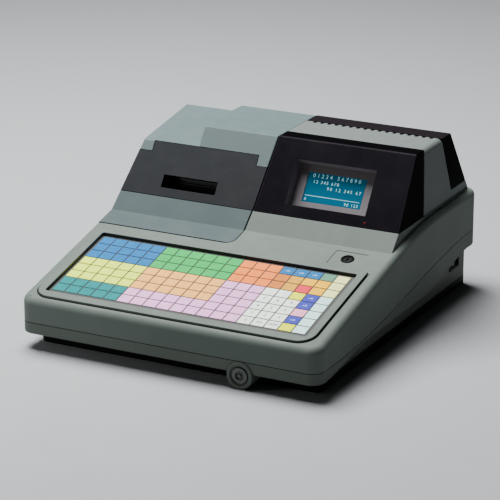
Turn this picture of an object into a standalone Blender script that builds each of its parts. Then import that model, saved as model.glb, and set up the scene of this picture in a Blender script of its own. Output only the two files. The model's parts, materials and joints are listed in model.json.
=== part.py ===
"""Electronic till with a flat membrane keyboard, a receipt printer under a lift-up cover and a display pod.

Run with: blender --background --python part.py

Metres, +X to the right of the person at the keyboard, +Y to the back, +Z up. The origin lies on the
surface that the till stands on, under the middle of its outer box. A place is written as (x, depth, z),
where depth is measured backwards from the flat front of the case.
"""

from math import acos, atan2, cos, hypot, pi, radians, sin, sqrt, tan

import bmesh
import bpy
from mathutils import Matrix, Vector

MM = 0.001

# Clearances
GAP = 0.3 * MM
SEAM = 1.0 * MM
OVERRUN = 2.0 * MM

# Upper case
CASE_WIDTH = 400.0 * MM
CASE_DEPTH = 472.0 * MM
CORNER_RADIUS = 20.0 * MM
SIDE_EDGE_RADIUS = 9.0 * MM
END_EDGE_RADIUS = 6.0 * MM
WALL = 3.0 * MM
FRONT_HEIGHT = 63.6 * MM
DECK_SLOPE = radians(12.9)
CREASE_SHARE = 0.4623
LEDGE_RISE = 15.9 * MM
RISER_RUN = 21.4 * MM
RISER_RISE = 18.7 * MM

# Line where upper and lower case meet, which rises towards the back
PARTING_SHARE = 0.535
PARTING_CLIMB = 42.0 * MM
PARTING_START = 60.0 * MM
PARTING_END_MARGIN = 12.0 * MM

# Lower case
FLANGE_FRONT = 20.0 * MM
FLANGE_FIRST_CLIMB = 14.0 * MM
FLANGE_SECOND_CLIMB = 22.0 * MM
FLANGE_FIRST_START = 20.0 * MM
FLANGE_FIRST_RUN = 120.0 * MM
FLANGE_SECOND_SHARE = 0.636
FLANGE_SECOND_RUN_SHARE = 0.318
LOWER_WALL = 2.5 * MM
WAIST_SIDE_SET_IN = 11.5 * MM
WAIST_FRONT_SET_IN = 28.0 * MM
WAIST_REAR_SET_IN = 7.0 * MM
WAIST_RADIUS = 9.0 * MM
WAIST_FOOT = 13.0 * MM

# Base pan and feet
PAN_WALL = 2.0 * MM
PAN_FLOOR = 2.5 * MM
PAN_CLEAR = 0.6 * MM
PAN_SKIRT = 1.4 * MM
PAN_LAP = 9.0 * MM
PAN_SLOT_LENGTH = 46.0 * MM
PAN_SLOT_WIDTH = 3.0 * MM
PAN_SLOT_PITCH = 9.0 * MM
PAN_SLOT_COUNT = 7
FOOT_RADIUS = 11.0 * MM
FOOT_TAPER = 2.0 * MM
FOOT_INSET = 34.0 * MM

# Raised keyboard frame and keyboard, measured in the plane of the deck
FRAME_SIDE_LEFT = 13.0 * MM
FRAME_SIDE_RIGHT = 17.0 * MM
FRAME_FRONT = 10.5 * MM
FRAME_TO_LIP = 16.6 * MM
FRAME_RISE = 2.5 * MM
FRAME_RADIUS = 21.0 * MM
FRAME_REAR_RADIUS = 4.0 * MM
FRAME_BEVEL = 0.9 * MM
RIM_LEFT = 11.4 * MM
RIM_RIGHT = 9.7 * MM
RIM_FRONT = 11.5 * MM
RIM_REAR = 8.3 * MM
KEY_MARGIN_LEFT = 3.4 * MM
KEY_MARGIN_RIGHT = 6.2 * MM
KEY_MARGIN_FRONT = 8.6 * MM
KEY_MARGIN_REAR = 3.4 * MM
KEY_COLUMNS = 19
KEY_ROWS = 8
KEY_RECESS = 2.0 * MM
KEY_WEB = 0.9 * MM
KEY_EMBOSS = 0.5 * MM
RECESS_RADIUS = 3.0 * MM
KEY_PLATE_THICKNESS = 1.2 * MM
KEY_PLATE_RIM = 5.0 * MM
KEY_BOARD_THICKNESS = 1.6 * MM

# Mode lock
LOCK_FROM_SIDE = 55.0 * MM
LOCK_SHARE = 0.48
LOCK_PLATE_WIDTH = 42.0 * MM
LOCK_PLATE_LENGTH = 31.0 * MM
LOCK_PLATE_THICKNESS = 1.2 * MM
LOCK_PLATE_SINK = 0.5 * MM
LOCK_POCKET_RADIUS = 2.5 * MM
LOCK_BODY_RADIUS = 8.2 * MM
LOCK_BARREL_RADIUS = 6.4 * MM
LOCK_LIP_RISE = 0.8 * MM
LOCK_BODY_LENGTH = 24.0 * MM
LOCK_NUT_RADIUS = 12.0 * MM
LOCK_NUT_THICKNESS = 3.5 * MM
KEYWAY_WIDTH = 1.8 * MM
KEYWAY_LENGTH = 8.0 * MM
KEYWAY_SINK = 10.0 * MM

# Touch-key reader
READER_FROM_SIDE = 101.0 * MM
READER_RADIUS = 16.8 * MM
READER_CLEAR = 0.3 * MM
READER_PROUD = 2.0 * MM
READER_LENGTH = 25.0 * MM
READER_CUP_RADIUS = 11.8 * MM
READER_CUP_SINK = 2.6 * MM
READER_BEVEL = 1.2 * MM
CONTACT_RING_OUTER = 10.0 * MM
CONTACT_RING_INNER = 5.2 * MM
CONTACT_RING_THICKNESS = 2.0 * MM
CONTACT_PIN_RADIUS = 2.0 * MM
CONTACT_PIN_LENGTH = 2.1 * MM

# Display pod
FACE_SLOPE = radians(55.5)
FACE_LENGTH = 101.8 * MM
SEAM_X = -7.0 * MM
SEAM_LEAN = 0.09
POD_SIDE_SET_IN = 8.4 * MM
POD_DRAFT = 0.04
POD_BAND = 23.7 * MM
POD_BAND_LEAN = 5.0 * MM
POD_REAR_SET_IN = 14.5 * MM
POD_REAR_LEAN = 53.0 * MM
POD_WALL = 2.5 * MM
POD_BEVEL = 1.2 * MM
REAR_COVER_LENGTH = 29.0 * MM
REAR_COVER_LEAN = 28.0 * MM
REAR_COVER_RISE = 10.7 * MM
NOTCH_PITCH = 10.0 * MM
NOTCH_WIDTH = 5.2 * MM
NOTCH_LENGTH = 6.0 * MM
NOTCH_MARGIN = 8.0 * MM
CABLE_HOLE_WIDTH = 60.0 * MM
CABLE_HOLE_LENGTH = 24.0 * MM

# Operator display, measured up the sloping face
SIGHT_FROM_SIDE = 49.6 * MM
SIGHT_WIDTH = 109.0 * MM
SIGHT_LOW = 15.6 * MM
SIGHT_LENGTH = 59.4 * MM
SIGHT_SINK = 18.0 * MM
SIGHT_WALL = 2.0 * MM
BEZEL_THICKNESS = 2.2 * MM
BEZEL_LEFT = 13.5 * MM
BEZEL_RIGHT = 16.5 * MM
BEZEL_FOOT = 11.2 * MM
BEZEL_HEAD = 9.0 * MM
GLASS_THICKNESS = 1.4 * MM
MODULE_THICKNESS = 4.0 * MM
MODULE_RIM = 1.5 * MM
MODULE_LIFT = 3.0 * MM
LAMP_FROM_SIGHT = 1.7 * MM
LAMP_UP = 6.8 * MM
LAMP_RADIUS = 1.5 * MM
LAMP_PROUD = 0.3 * MM
LAMP_LENGTH = 5.0 * MM

# Customer display, measured down the rear slope
LENS_FROM_SIDE = 43.6 * MM
LENS_WIDTH = 106.0 * MM
LENS_TOP = 14.0 * MM
LENS_LENGTH = 36.0 * MM
LENS_RADIUS = 3.0 * MM
CUSTOMER_RIM = 4.0 * MM
CUSTOMER_THICKNESS = 9.0 * MM

# Printer cover
COVER_SIDE_SET_IN = 3.0 * MM
COVER_SHOULDER_SET_IN = 14.0 * MM
COVER_CREST_SET_IN = 5.0 * MM
COVER_LIP_LENGTH = 32.9 * MM
COVER_SKIRT = 8.0 * MM
COVER_WALL = 2.5 * MM
LIP_THICKNESS = 3.0 * MM
LIP_RADIUS = 12.0 * MM
FACE_WALL = 5.2 * MM
SHOULDER_SHARE = 0.715
CREST_DROP = 11.2 * MM
BLOCK_DROP = 0.8 * MM
BLOCK_SHARE = 0.49
BLOCK_REAR_STEP = 3.0 * MM
BLOCK_FLANK_STEP = 21.0 * MM
SHELF_REACH = 6.0 * MM
SHELF_THICKNESS = 2.5 * MM
WINDOW_THICKNESS = 2.3 * MM
WINDOW_NOTCH_DROP = 14.3 * MM
WINDOW_NOTCH_LEFT_WIDTH = 15.6 * MM
WINDOW_NOTCH_RIGHT_WIDTH = 11.7 * MM
WINDOW_FOOT = 0.8 * MM
APERTURE_RIM = 6.0 * MM
SLOT_WIDTH = 76.0 * MM
SLOT_SHARE = 0.496
SLOT_LOW = 13.0 * MM
SLOT_LENGTH = 16.5 * MM

# Cover hinge
HINGE_BEHIND_FOOT = 6.5 * MM
HINGE_RISE = 5.0 * MM
KNUCKLE_RADIUS = 4.5 * MM
PIN_RADIUS = 1.5 * MM
KNUCKLE_WIDTH = 14.0 * MM
EAR_WIDTH = 5.0 * MM
HINGE_MARGIN = 24.0 * MM

# Printer
PRINTER_HALF_WIDTH = 45.0 * MM
PRINTER_PLATE = 2.0 * MM
PRINTER_BEHIND_RISER = 26.4 * MM
PRINTER_LENGTH = 76.0 * MM
PRINTER_DROP = 39.5 * MM
STAND_PLATE = 2.0 * MM
STAND_FLANGE = 12.0 * MM
STAND_OVERHANG = 10.0 * MM
PLATEN_FROM_FRONT = 24.0 * MM
PLATEN_RISE = 57.0 * MM
PLATEN_RADIUS = 8.5 * MM
PLATEN_HALF_LENGTH = 37.0 * MM
SHAFT_RADIUS = 3.0 * MM
SHAFT_END = 2.0 * MM
PLATE_CHEEK = 12.0 * MM
PLATE_BACK_HEIGHT = 30.0 * MM
GEAR_MODULE = 1.0 * MM
GEAR_ADDENDUM = 0.9 * MM
GEAR_DEDENDUM = 1.2 * MM
GEAR_WIDTH = 5.0 * MM
GEAR_BACKLASH = 0.35 * MM
GEAR_STANDOFF = 1.0 * MM
PLATEN_TEETH = 24
IDLER_TEETH = 30
PINION_TEETH = 14
PRESSURE_ANGLE = radians(20)
IDLER_BEARING = radians(-70)
PINION_BEARING = radians(-28)
IDLER_PIN_RADIUS = 2.5 * MM
IDLER_PIN_HEAD = 4.0 * MM
IDLER_PIN_HEAD_WIDTH = 1.5 * MM
MOTOR_RADIUS = 14.0 * MM
MOTOR_LENGTH = 30.0 * MM
MOTOR_SHAFT_RADIUS = 1.6 * MM
HEAD_HALF_LENGTH = 38.0 * MM
HEAD_THICKNESS = 3.0 * MM
HEAD_BELOW = 12.0 * MM
HEAD_ABOVE = 13.0 * MM
HEAD_FIN_COUNT = 5
HEAD_FIN_DEPTH = 3.0 * MM
HEAD_FIN_WIDTH = 2.5 * MM
TEAR_THICKNESS = 1.5 * MM
TEAR_HEIGHT = 7.0 * MM
TEAR_TOOTH_PITCH = 4.0 * MM
TEAR_TOOTH_HEIGHT = 1.6 * MM

# Paper roll and cradle, in the room behind the printer
ROLL_PLACE_SHARE = 0.45
ROLL_FILL_SHARE = 0.303
ROLL_HALF_WIDTH = 34.0 * MM
ROLL_CORE_RADIUS = 6.5 * MM
ROLL_DROP = 11.5 * MM
SPINDLE_RADIUS = 5.0 * MM
SPINDLE_END = 2.5 * MM
CRADLE_PLATE = 2.0 * MM
CRADLE_SHARE = 0.69
CRADLE_TOP = 10.0 * MM

# Power switch
SWITCH_FROM_REAR = 48.0 * MM
SWITCH_HEIGHT = 38.0 * MM
SWITCH_LENGTH = 30.0 * MM
SWITCH_FACE_HEIGHT = 15.0 * MM
SWITCH_RIM = 1.8 * MM
SWITCH_FLANGE = 1.2 * MM
SWITCH_BODY_DEPTH = 17.0 * MM
SWITCH_WELL = 11.0 * MM
ROCKER_TILT = radians(7)
ROCKER_PROUD = 1.0 * MM
ROCKER_BELLY = 3.0 * MM

# Rear sockets, boards and power supply
INLET_FROM_SIDE = 44.0 * MM
SOCKET_DROP = 31.5 * MM
INLET_WIDTH = 27.0 * MM
INLET_TALL = 20.0 * MM
INLET_RADIUS = 4.0 * MM
INLET_BODY = 18.0 * MM
INLET_FLANGE = 4.0 * MM
INLET_WALL = 1.8 * MM
INLET_PIN_WIDTH = 4.0 * MM
INLET_PIN_THICKNESS = 2.0 * MM
INLET_PIN_PITCH = 7.0 * MM
PORT_FROM_INLET = 50.0 * MM
PORT_PITCH = 24.0 * MM
PORT_COUNT = 4
PORT_WIDTH = 13.0 * MM
PORT_TALL = 12.0 * MM
PORT_SINK = 9.0 * MM
PORT_BODY = 14.0 * MM
PORT_WALL = 1.4 * MM
PORT_STRIP_HALF_HEIGHT = 11.0 * MM
BOARD_THICKNESS = 1.6 * MM
BOARD_STANDOFF = 6.0 * MM
BOARD_LEFT = 2.0 * MM
BOARD_FROM_SIDE = 28.0 * MM
BOARD_FRONT = 60.0 * MM
BOARD_TO_SUPPLY = 30.0 * MM
POST_RADIUS = 3.0 * MM
POST_INSET = 8.0 * MM
CHIP_SIZE = 26.0 * MM
CHIP_HEIGHT = 3.0 * MM
SUPPLY_FROM_SIDE = 32.0 * MM
SUPPLY_WIDTH = 108.0 * MM
SUPPLY_FROM_REAR = 32.0 * MM
SUPPLY_LENGTH = 110.0 * MM
SUPPLY_HEIGHT = 52.0 * MM
SUPPLY_BEVEL = 1.5 * MM
SUPPLY_WALL = 1.5 * MM
SUPPLY_VENT_WIDTH = 3.0 * MM
SUPPLY_VENT_PITCH = 9.0 * MM
SUPPLY_VENT_MARGIN = 14.0 * MM

# Smoothness of round shapes
STATION_GAP = 1.2 * MM
CORNER_STEPS = 4
EDGE_STEPS = 3
LEDGE_STEPS = 4
CURVE_STEPS = 7
FINE_SIDES = 30
ROUND_SIDES = 24
SMALL_SIDES = 16
FLANK_STEPS = 1
KNUCKLE_STEPS = 8
NUT_SIDES = 6
PARALLEL = 0.000001

FINISHES = {
    "case_grey": ((0.36, 0.38, 0.37), 0.55, 0.0),
    "lower_grey": ((0.30, 0.32, 0.31), 0.6, 0.0),
    "pod_grey": ((0.36, 0.38, 0.37), 0.55, 0.0),
    "base_black": ((0.012, 0.012, 0.012), 0.6, 0.0),
    "gloss_black": ((0.014, 0.012, 0.018), 0.25, 0.0),
    "smoked": ((0.05, 0.052, 0.055), 0.15, 0.0),
    "rubber": ((0.02, 0.02, 0.02), 0.9, 0.0),
    "bezel_grey": ((0.14, 0.13, 0.14), 0.5, 0.0),
    "display_blue": ((0.01, 0.2, 0.33), 0.15, 0.0),
    "lamp_red": ((0.5, 0.02, 0.02), 0.3, 0.0),
    "steel": ((0.55, 0.55, 0.56), 0.35, 1.0),
    "dark_steel": ((0.2, 0.2, 0.21), 0.4, 1.0),
    "aluminium": ((0.75, 0.75, 0.76), 0.35, 1.0),
    "brass": ((0.7, 0.5, 0.2), 0.35, 1.0),
    "nylon": ((0.75, 0.74, 0.68), 0.5, 0.0),
    "board_green": ((0.02, 0.14, 0.06), 0.5, 0.0),
    "paper": ((0.85, 0.85, 0.82), 0.8, 0.0),
    "film": ((0.5, 0.52, 0.5), 0.4, 0.0),
    "print_blue": ((0.05, 0.2, 0.55), 0.4, 0.0),
    "print_green": ((0.13, 0.55, 0.22), 0.4, 0.0),
    "print_orange": ((0.85, 0.26, 0.1), 0.4, 0.0),
    "print_lemon": ((0.8, 0.83, 0.35), 0.4, 0.0),
    "print_peach": ((0.85, 0.52, 0.3), 0.4, 0.0),
    "print_teal": ((0.02, 0.32, 0.32), 0.4, 0.0),
    "print_lilac": ((0.72, 0.45, 0.65), 0.4, 0.0),
    "print_white": ((0.8, 0.83, 0.8), 0.4, 0.0),
    "print_brown": ((0.6, 0.22, 0.07), 0.4, 0.0),
    "print_ochre": ((0.65, 0.38, 0.08), 0.4, 0.0),
    "print_amber": ((0.85, 0.5, 0.04), 0.4, 0.0),
    "print_red": ((0.75, 0.06, 0.09), 0.4, 0.0),
    "print_violet": ((0.1, 0.1, 0.45), 0.4, 0.0),
    "print_pink": ((0.85, 0.3, 0.42), 0.4, 0.0),
    "print_yellow": ((0.85, 0.8, 0.03), 0.4, 0.0),
    "print_moss": ((0.1, 0.25, 0.18), 0.4, 0.0),
    "print_ice": ((0.62, 0.8, 0.8), 0.4, 0.0),
    "print_cream": ((0.82, 0.82, 0.5), 0.4, 0.0),
}

# Blocks of printed cells: finish, columns counted from the left, rows counted from the front
KEY_BLOCKS = (
    ("print_blue", (1, 5), (6, 8)),
    ("print_lemon", (1, 5), (3, 5)),
    ("print_teal", (1, 5), (1, 2)),
    ("print_green", (6, 11), (6, 8)),
    ("print_peach", (6, 11), (3, 5)),
    ("print_lilac", (6, 14), (1, 2)),
    ("print_orange", (12, 14), (6, 8)),
    ("print_lilac", (12, 14), (3, 5)),
    ("print_white", (15, 17), (1, 5)),
    ("print_brown", (15, 15), (6, 7)),
    ("print_ochre", (16, 16), (6, 7)),
    ("print_amber", (17, 18), (6, 7)),
    ("print_blue", (15, 17), (8, 8)),
    ("print_moss", (18, 18), (8, 8)),
    ("print_red", (17, 17), (6, 6)),
    ("print_yellow", (17, 17), (5, 5)),
    ("print_violet", (18, 18), (4, 5)),
    ("print_pink", (18, 18), (3, 3)),
    ("print_violet", (18, 18), (2, 2)),
    ("print_yellow", (18, 18), (1, 1)),
    ("print_cream", (19, 19), (6, 8)),
    ("print_ice", (19, 19), (1, 5)),
)

# Places worked out from the sizes: heights and depths of the case
HALF_WIDTH = CASE_WIDTH / 2
FRONT_Y = (READER_PROUD - CASE_DEPTH) / 2
DECK_TAN = tan(DECK_SLOPE)
DECK_VERTICAL = 1 / cos(DECK_SLOPE)
CREASE_DEPTH = CASE_DEPTH * CREASE_SHARE
CREASE_HEIGHT = FRONT_HEIGHT + CREASE_DEPTH * DECK_TAN
LEDGE_HEIGHT = CREASE_HEIGHT + LEDGE_RISE
LEDGE_RADIUS = LEDGE_RISE / (1 - cos(DECK_SLOPE))
LEDGE_RUN = LEDGE_RADIUS * sin(DECK_SLOPE)
PARTING_FRONT = FRONT_HEIGHT * PARTING_SHARE
PARTING_REAR = PARTING_FRONT + PARTING_CLIMB
PARTING_RUN = CASE_DEPTH - PARTING_START - PARTING_END_MARGIN
RISER_TOP_DEPTH = CREASE_DEPTH + RISER_RUN
RISER_TOP_HEIGHT = CREASE_HEIGHT + RISER_RISE
PAN_TOP = PAN_CLEAR + PAN_SKIRT + PAN_FLOOR

# Display pod
FACE_TOP_DEPTH = RISER_TOP_DEPTH + FACE_LENGTH * cos(FACE_SLOPE)
POD_HEIGHT = RISER_TOP_HEIGHT + FACE_LENGTH * sin(FACE_SLOPE)
POD_FOOT = RISER_TOP_HEIGHT + GAP
POD_RIGHT = HALF_WIDTH - POD_SIDE_SET_IN
POD_FRONT_TOP = FACE_TOP_DEPTH + POD_BAND
POD_FRONT_FOOT = POD_FRONT_TOP - POD_BAND_LEAN
POD_REAR_FOOT = CASE_DEPTH - POD_REAR_SET_IN
POD_REAR_TOP = POD_REAR_FOOT - POD_REAR_LEAN
REAR_COVER_TOP = POD_REAR_TOP - REAR_COVER_LENGTH
REAR_COVER_FOOT = REAR_COVER_TOP + REAR_COVER_LEAN
REAR_COVER_HEIGHT = RISER_TOP_HEIGHT + REAR_COVER_RISE
SIGHT_RIGHT = POD_RIGHT - SIGHT_FROM_SIDE
SIGHT_LEFT = SIGHT_RIGHT - SIGHT_WIDTH
SIGHT_HIGH = SIGHT_LOW + SIGHT_LENGTH
LAMP_X = SIGHT_RIGHT + LAMP_FROM_SIGHT
LENS_RIGHT = POD_RIGHT - LENS_FROM_SIDE
LENS_LEFT = LENS_RIGHT - LENS_WIDTH

# Keyboard, lock and reader
COVER_FRONT = CREASE_DEPTH - COVER_LIP_LENGTH
FRAME_LEFT = FRAME_SIDE_LEFT - HALF_WIDTH
FRAME_RIGHT = HALF_WIDTH - FRAME_SIDE_RIGHT
FRAME_REAR = COVER_FRONT * DECK_VERTICAL - FRAME_TO_LIP
KEY_FIELD_LEFT = FRAME_LEFT + RIM_LEFT + KEY_MARGIN_LEFT
KEY_FIELD_FRONT = FRAME_FRONT + RIM_FRONT + KEY_MARGIN_FRONT
KEY_FIELD_RIGHT = FRAME_RIGHT - RIM_RIGHT - KEY_MARGIN_RIGHT
KEY_FIELD_REAR = FRAME_REAR - RIM_REAR - KEY_MARGIN_REAR
KEY_PITCH_X = (KEY_FIELD_RIGHT - KEY_FIELD_LEFT) / KEY_COLUMNS
KEY_PITCH_Y = (KEY_FIELD_REAR - KEY_FIELD_FRONT) / KEY_ROWS
LOCK_X = HALF_WIDTH - LOCK_FROM_SIDE
LOCK_DEPTH = FRAME_REAR + (CREASE_DEPTH * DECK_VERTICAL - FRAME_REAR) * LOCK_SHARE
READER_X = HALF_WIDTH - READER_FROM_SIDE
READER_HEIGHT = READER_RADIUS + READER_CLEAR

# Printer cover, printer and paper roll
COVER_LEFT = COVER_SIDE_SET_IN - HALF_WIDTH
COVER_SHOULDER_X = COVER_LEFT + COVER_SHOULDER_SET_IN
COVER_CREST_X = COVER_LEFT + COVER_CREST_SET_IN
SHOULDER_UP = FACE_LENGTH * SHOULDER_SHARE
CREST_HEIGHT = POD_HEIGHT - CREST_DROP
BLOCK_HEIGHT = POD_HEIGHT - BLOCK_DROP
BLOCK_LEFT = COVER_LEFT + (SEAM_X - COVER_LEFT) * BLOCK_SHARE
BLOCK_REAR_LEFT = BLOCK_LEFT - BLOCK_REAR_STEP
BLOCK_FLANK_FOOT = BLOCK_LEFT - BLOCK_FLANK_STEP
WINDOW_NOTCH_UP = SHOULDER_UP - WINDOW_NOTCH_DROP
WINDOW_NOTCH_LEFT = COVER_SHOULDER_X + WINDOW_NOTCH_LEFT_WIDTH
WINDOW_NOTCH_RIGHT = SEAM_X - WINDOW_NOTCH_RIGHT_WIDTH
PRINTER_X = COVER_LEFT + (SEAM_X - COVER_LEFT) * SLOT_SHARE
HINGE_DEPTH = POD_REAR_FOOT + HINGE_BEHIND_FOOT
HINGE_HEIGHT = LEDGE_HEIGHT + HINGE_RISE
PRINTER_FRONT = RISER_TOP_DEPTH + PRINTER_BEHIND_RISER
PRINTER_REAR = PRINTER_FRONT + PRINTER_LENGTH
PRINTER_BASE = LEDGE_HEIGHT - PRINTER_DROP
PLATEN_DEPTH = PRINTER_FRONT + PLATEN_FROM_FRONT
PLATEN_HEIGHT = PRINTER_BASE + PLATEN_RISE
ROLL_ROOM = POD_REAR_FOOT - PRINTER_REAR
ROLL_DEPTH = PRINTER_REAR + ROLL_ROOM * ROLL_PLACE_SHARE
ROLL_RADIUS = ROLL_ROOM * ROLL_FILL_SHARE
ROLL_HEIGHT = LEDGE_HEIGHT - ROLL_DROP
CRADLE_HALF_LENGTH = ROLL_RADIUS * CRADLE_SHARE

# Switch, sockets, board and power supply
SWITCH_DEPTH = CASE_DEPTH - SWITCH_FROM_REAR
INLET_X = HALF_WIDTH - INLET_FROM_SIDE
INLET_HEIGHT = LEDGE_HEIGHT - SOCKET_DROP
PORT_LAST_X = INLET_X - PORT_FROM_INLET
PORT_FIRST_X = PORT_LAST_X - PORT_PITCH * (PORT_COUNT - 1)
SUPPLY_RIGHT = HALF_WIDTH - SUPPLY_FROM_SIDE
SUPPLY_LEFT = SUPPLY_RIGHT - SUPPLY_WIDTH
SUPPLY_REAR = CASE_DEPTH - SUPPLY_FROM_REAR
SUPPLY_FRONT = SUPPLY_REAR - SUPPLY_LENGTH
BOARD_RIGHT = HALF_WIDTH - BOARD_FROM_SIDE
BOARD_REAR = SUPPLY_FRONT - BOARD_TO_SUPPLY


def place(x, depth, z):
    """Point of the till at a distance behind the front of the case."""
    return Vector((x, FRONT_Y + depth, z))


def smooth(share):
    """Ease from 0 to 1 with level ends."""
    share = min(max(share, 0.0), 1.0)
    return share * share * (3 - 2 * share)


def top_height(depth):
    """Height of deck and side ledges: a slope, an arc that levels out, then level."""
    if depth <= CREASE_DEPTH:
        return FRONT_HEIGHT + depth * DECK_TAN
    run = min(depth - CREASE_DEPTH, LEDGE_RUN)
    return LEDGE_HEIGHT - LEDGE_RADIUS + sqrt(LEDGE_RADIUS ** 2 - (LEDGE_RUN - run) ** 2)


def parting_height(depth):
    """Height of the line between upper and lower case."""
    return PARTING_FRONT + (PARTING_REAR - PARTING_FRONT) * smooth((depth - PARTING_START) / PARTING_RUN)


def flange_height(depth):
    """Height of the lower edge of the lower case's flange."""
    first = smooth((depth - FLANGE_FIRST_START) / FLANGE_FIRST_RUN)
    second = smooth((depth / CASE_DEPTH - FLANGE_SECOND_SHARE) / FLANGE_SECOND_RUN_SHARE)
    return FLANGE_FRONT + FLANGE_FIRST_CLIMB * first + FLANGE_SECOND_CLIMB * second


def seam_x(z):
    """Joint between printer cover and display pod, which leans to the right above the riser."""
    return SEAM_X + SEAM_LEAN * max(z - RISER_TOP_HEIGHT, 0.0)


def pod_right(z):
    """Right wall of the display pod, drawn in towards the top."""
    return POD_RIGHT - POD_DRAFT * (z - CREASE_HEIGHT)


def pod_left(z):
    """Left wall of the display pod."""
    return seam_x(z) + SEAM / 2


def cover_right(z):
    """Right wall of the printer cover."""
    return seam_x(z) - SEAM / 2


def rear_depth(z):
    """Sloping rear of pod and cover."""
    share = (z - RISER_TOP_HEIGHT) / (POD_HEIGHT - RISER_TOP_HEIGHT)
    return POD_REAR_FOOT + (POD_REAR_TOP - POD_REAR_FOOT) * share


def face_point(up):
    """Depth and height of a point of the sloping display face."""
    return RISER_TOP_DEPTH + up * cos(FACE_SLOPE), RISER_TOP_HEIGHT + up * sin(FACE_SLOPE)


def rounding(distance, radius):
    """How far a quarter-round edge has dropped at a distance from its end."""
    if distance >= radius:
        return 0.0
    return radius - sqrt(max(radius ** 2 - (radius - distance) ** 2, 0.0))


def arc_steps(radius, steps):
    """Distances from the end at which a quarter-round edge takes its points."""
    return [radius * (1 - cos(pi / 2 * step / steps)) for step in range(steps + 1)]


def turn(angle, radius, centre=(0.0, 0.0)):
    """Point on a circle."""
    return centre[0] + radius * cos(angle), centre[1] + radius * sin(angle)


def circle(radius, sides, centre=(0.0, 0.0), start=0.0):
    """Closed round outline."""
    return [turn(start + 2 * pi * side / sides, radius, centre) for side in range(sides)]


def rectangle(low_a, high_a, low_b, high_b):
    """Closed square-cornered outline."""
    return [(low_a, low_b), (high_a, low_b), (high_a, high_b), (low_a, high_b)]


def rounded_rectangle(low_a, high_a, low_b, high_b, radii, steps=CORNER_STEPS):
    """Closed outline with its own radius at each corner, from the low corner round."""
    corners = ((low_a, low_b, 1, 1), (high_a, low_b, -1, 1), (high_a, high_b, -1, -1), (low_a, high_b, 1, -1))
    points = []
    for index, (a, b, way_a, way_b) in enumerate(corners):
        radius = radii[index]
        centre = (a + way_a * radius, b + way_b * radius)
        begin = pi + index * pi / 2
        points += [turn(begin + pi / 2 * step / steps, radius, centre) for step in range(steps + 1)]
    return points


def shift_outline(points, distances):
    """Move each edge of an outline inwards by its own distance; edge i runs from point i to the next."""
    count = len(points)
    area = sum(points[i][0] * points[(i + 1) % count][1] - points[(i + 1) % count][0] * points[i][1]
               for i in range(count))
    side = 1 if area > 0 else -1
    lines = []
    for index in range(count):
        (a0, b0), (a1, b1) = points[index], points[(index + 1) % count]
        length = hypot(a1 - a0, b1 - b0)
        way = ((a1 - a0) / length, (b1 - b0) / length)
        inward = (-way[1] * side, way[0] * side)
        start = (a0 + inward[0] * distances[index], b0 + inward[1] * distances[index])
        lines.append((start, way))
    shifted = []
    for index in range(count):
        (p, u), (q, w) = lines[index - 1], lines[index]
        cross = u[0] * w[1] - u[1] * w[0]
        if abs(cross) < PARALLEL:
            shifted.append(q)
            continue
        along = ((q[0] - p[0]) * w[1] - (q[1] - p[1]) * w[0]) / cross
        shifted.append((p[0] + u[0] * along, p[1] + u[1] * along))
    return shifted


def material(name):
    """Principled material of a named finish."""
    if name in bpy.data.materials:
        return bpy.data.materials[name]
    colour, roughness, metallic = FINISHES[name]
    return paint(name, colour, roughness, metallic)


def paint(name, colour, roughness, metallic):
    """New Principled material."""
    made = bpy.data.materials.new(name)
    made.use_nodes = True
    shader = made.node_tree.nodes["Principled BSDF"]
    shader.inputs["Base Color"].default_value = (*colour, 1.0)
    shader.inputs["Roughness"].default_value = roughness
    shader.inputs["Metallic"].default_value = metallic
    made.diffuse_color = (*colour, 1.0)
    return made


def guide(name, origin, slope=0.0, parent=None):
    """Empty that carries pieces: its X runs across the till and its Y up a slope."""
    empty = bpy.data.objects.new(name, None)
    bpy.context.scene.collection.objects.link(empty)
    empty.location = origin
    empty.rotation_euler = (slope, 0.0, 0.0)
    empty.parent = parent
    return empty


def solid(name, points, faces, finish=None, parent=None):
    """Object from points and faces, outward facing. Without a finish it is a hidden cutter or filler."""
    mesh = bpy.data.meshes.new(name)
    bm = bmesh.new()
    corners = [bm.verts.new(point) for point in points]
    for face in faces:
        bm.faces.new([corners[index] for index in face])
    bmesh.ops.recalc_face_normals(bm, faces=bm.faces)
    bm.to_mesh(mesh)
    bm.free()
    made = bpy.data.objects.new(name, mesh)
    bpy.context.scene.collection.objects.link(made)
    made.parent = parent
    if finish is None:
        made.hide_render = True
        made.display_type = "WIRE"
    else:
        mesh.materials.append(material(finish))
        mesh.shade_smooth()
        mesh.set_sharp_from_angle(angle=radians(30))
    return made


def loft(name, rings, finish=None, parent=None):
    """Solid through a row of closed rings with equal counts, capped at both ends."""
    count = len(rings[0])
    points = [point for ring in rings for point in ring]
    faces = [tuple(range(count)), tuple(range(len(points) - count, len(points)))]
    for row in range(len(rings) - 1):
        for index in range(count):
            after = (index + 1) % count
            low, high = row * count, (row + 1) * count
            faces.append((low + index, low + after, high + after, high + index))
    return solid(name, points, faces, finish, parent)


def across(outline, low_x, high_x, name, finish=None):
    """Solid of a side profile (depth, z) between two X places."""
    return loft(name, [[place(x, a, b) for a, b in outline] for x in (low_x, high_x)], finish)


def upright(outline, low_z, high_z, name, finish=None):
    """Solid of a plan outline (x, depth) between two heights."""
    return loft(name, [[place(a, b, z) for a, b in outline] for z in (low_z, high_z)], finish)


def endways(outline, low_depth, high_depth, name, finish=None):
    """Solid of a front outline (x, z) between two depths."""
    return loft(name, [[place(a, depth, b) for a, b in outline] for depth in (low_depth, high_depth)], finish)


def standing(outline, low_n, high_n, name, parent, finish=None):
    """Solid of an outline drawn in a guide's plane, between two heights above the plane."""
    return loft(name, [[Vector((a, b, n)) for a, b in outline] for n in (low_n, high_n)], finish, parent)


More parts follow.
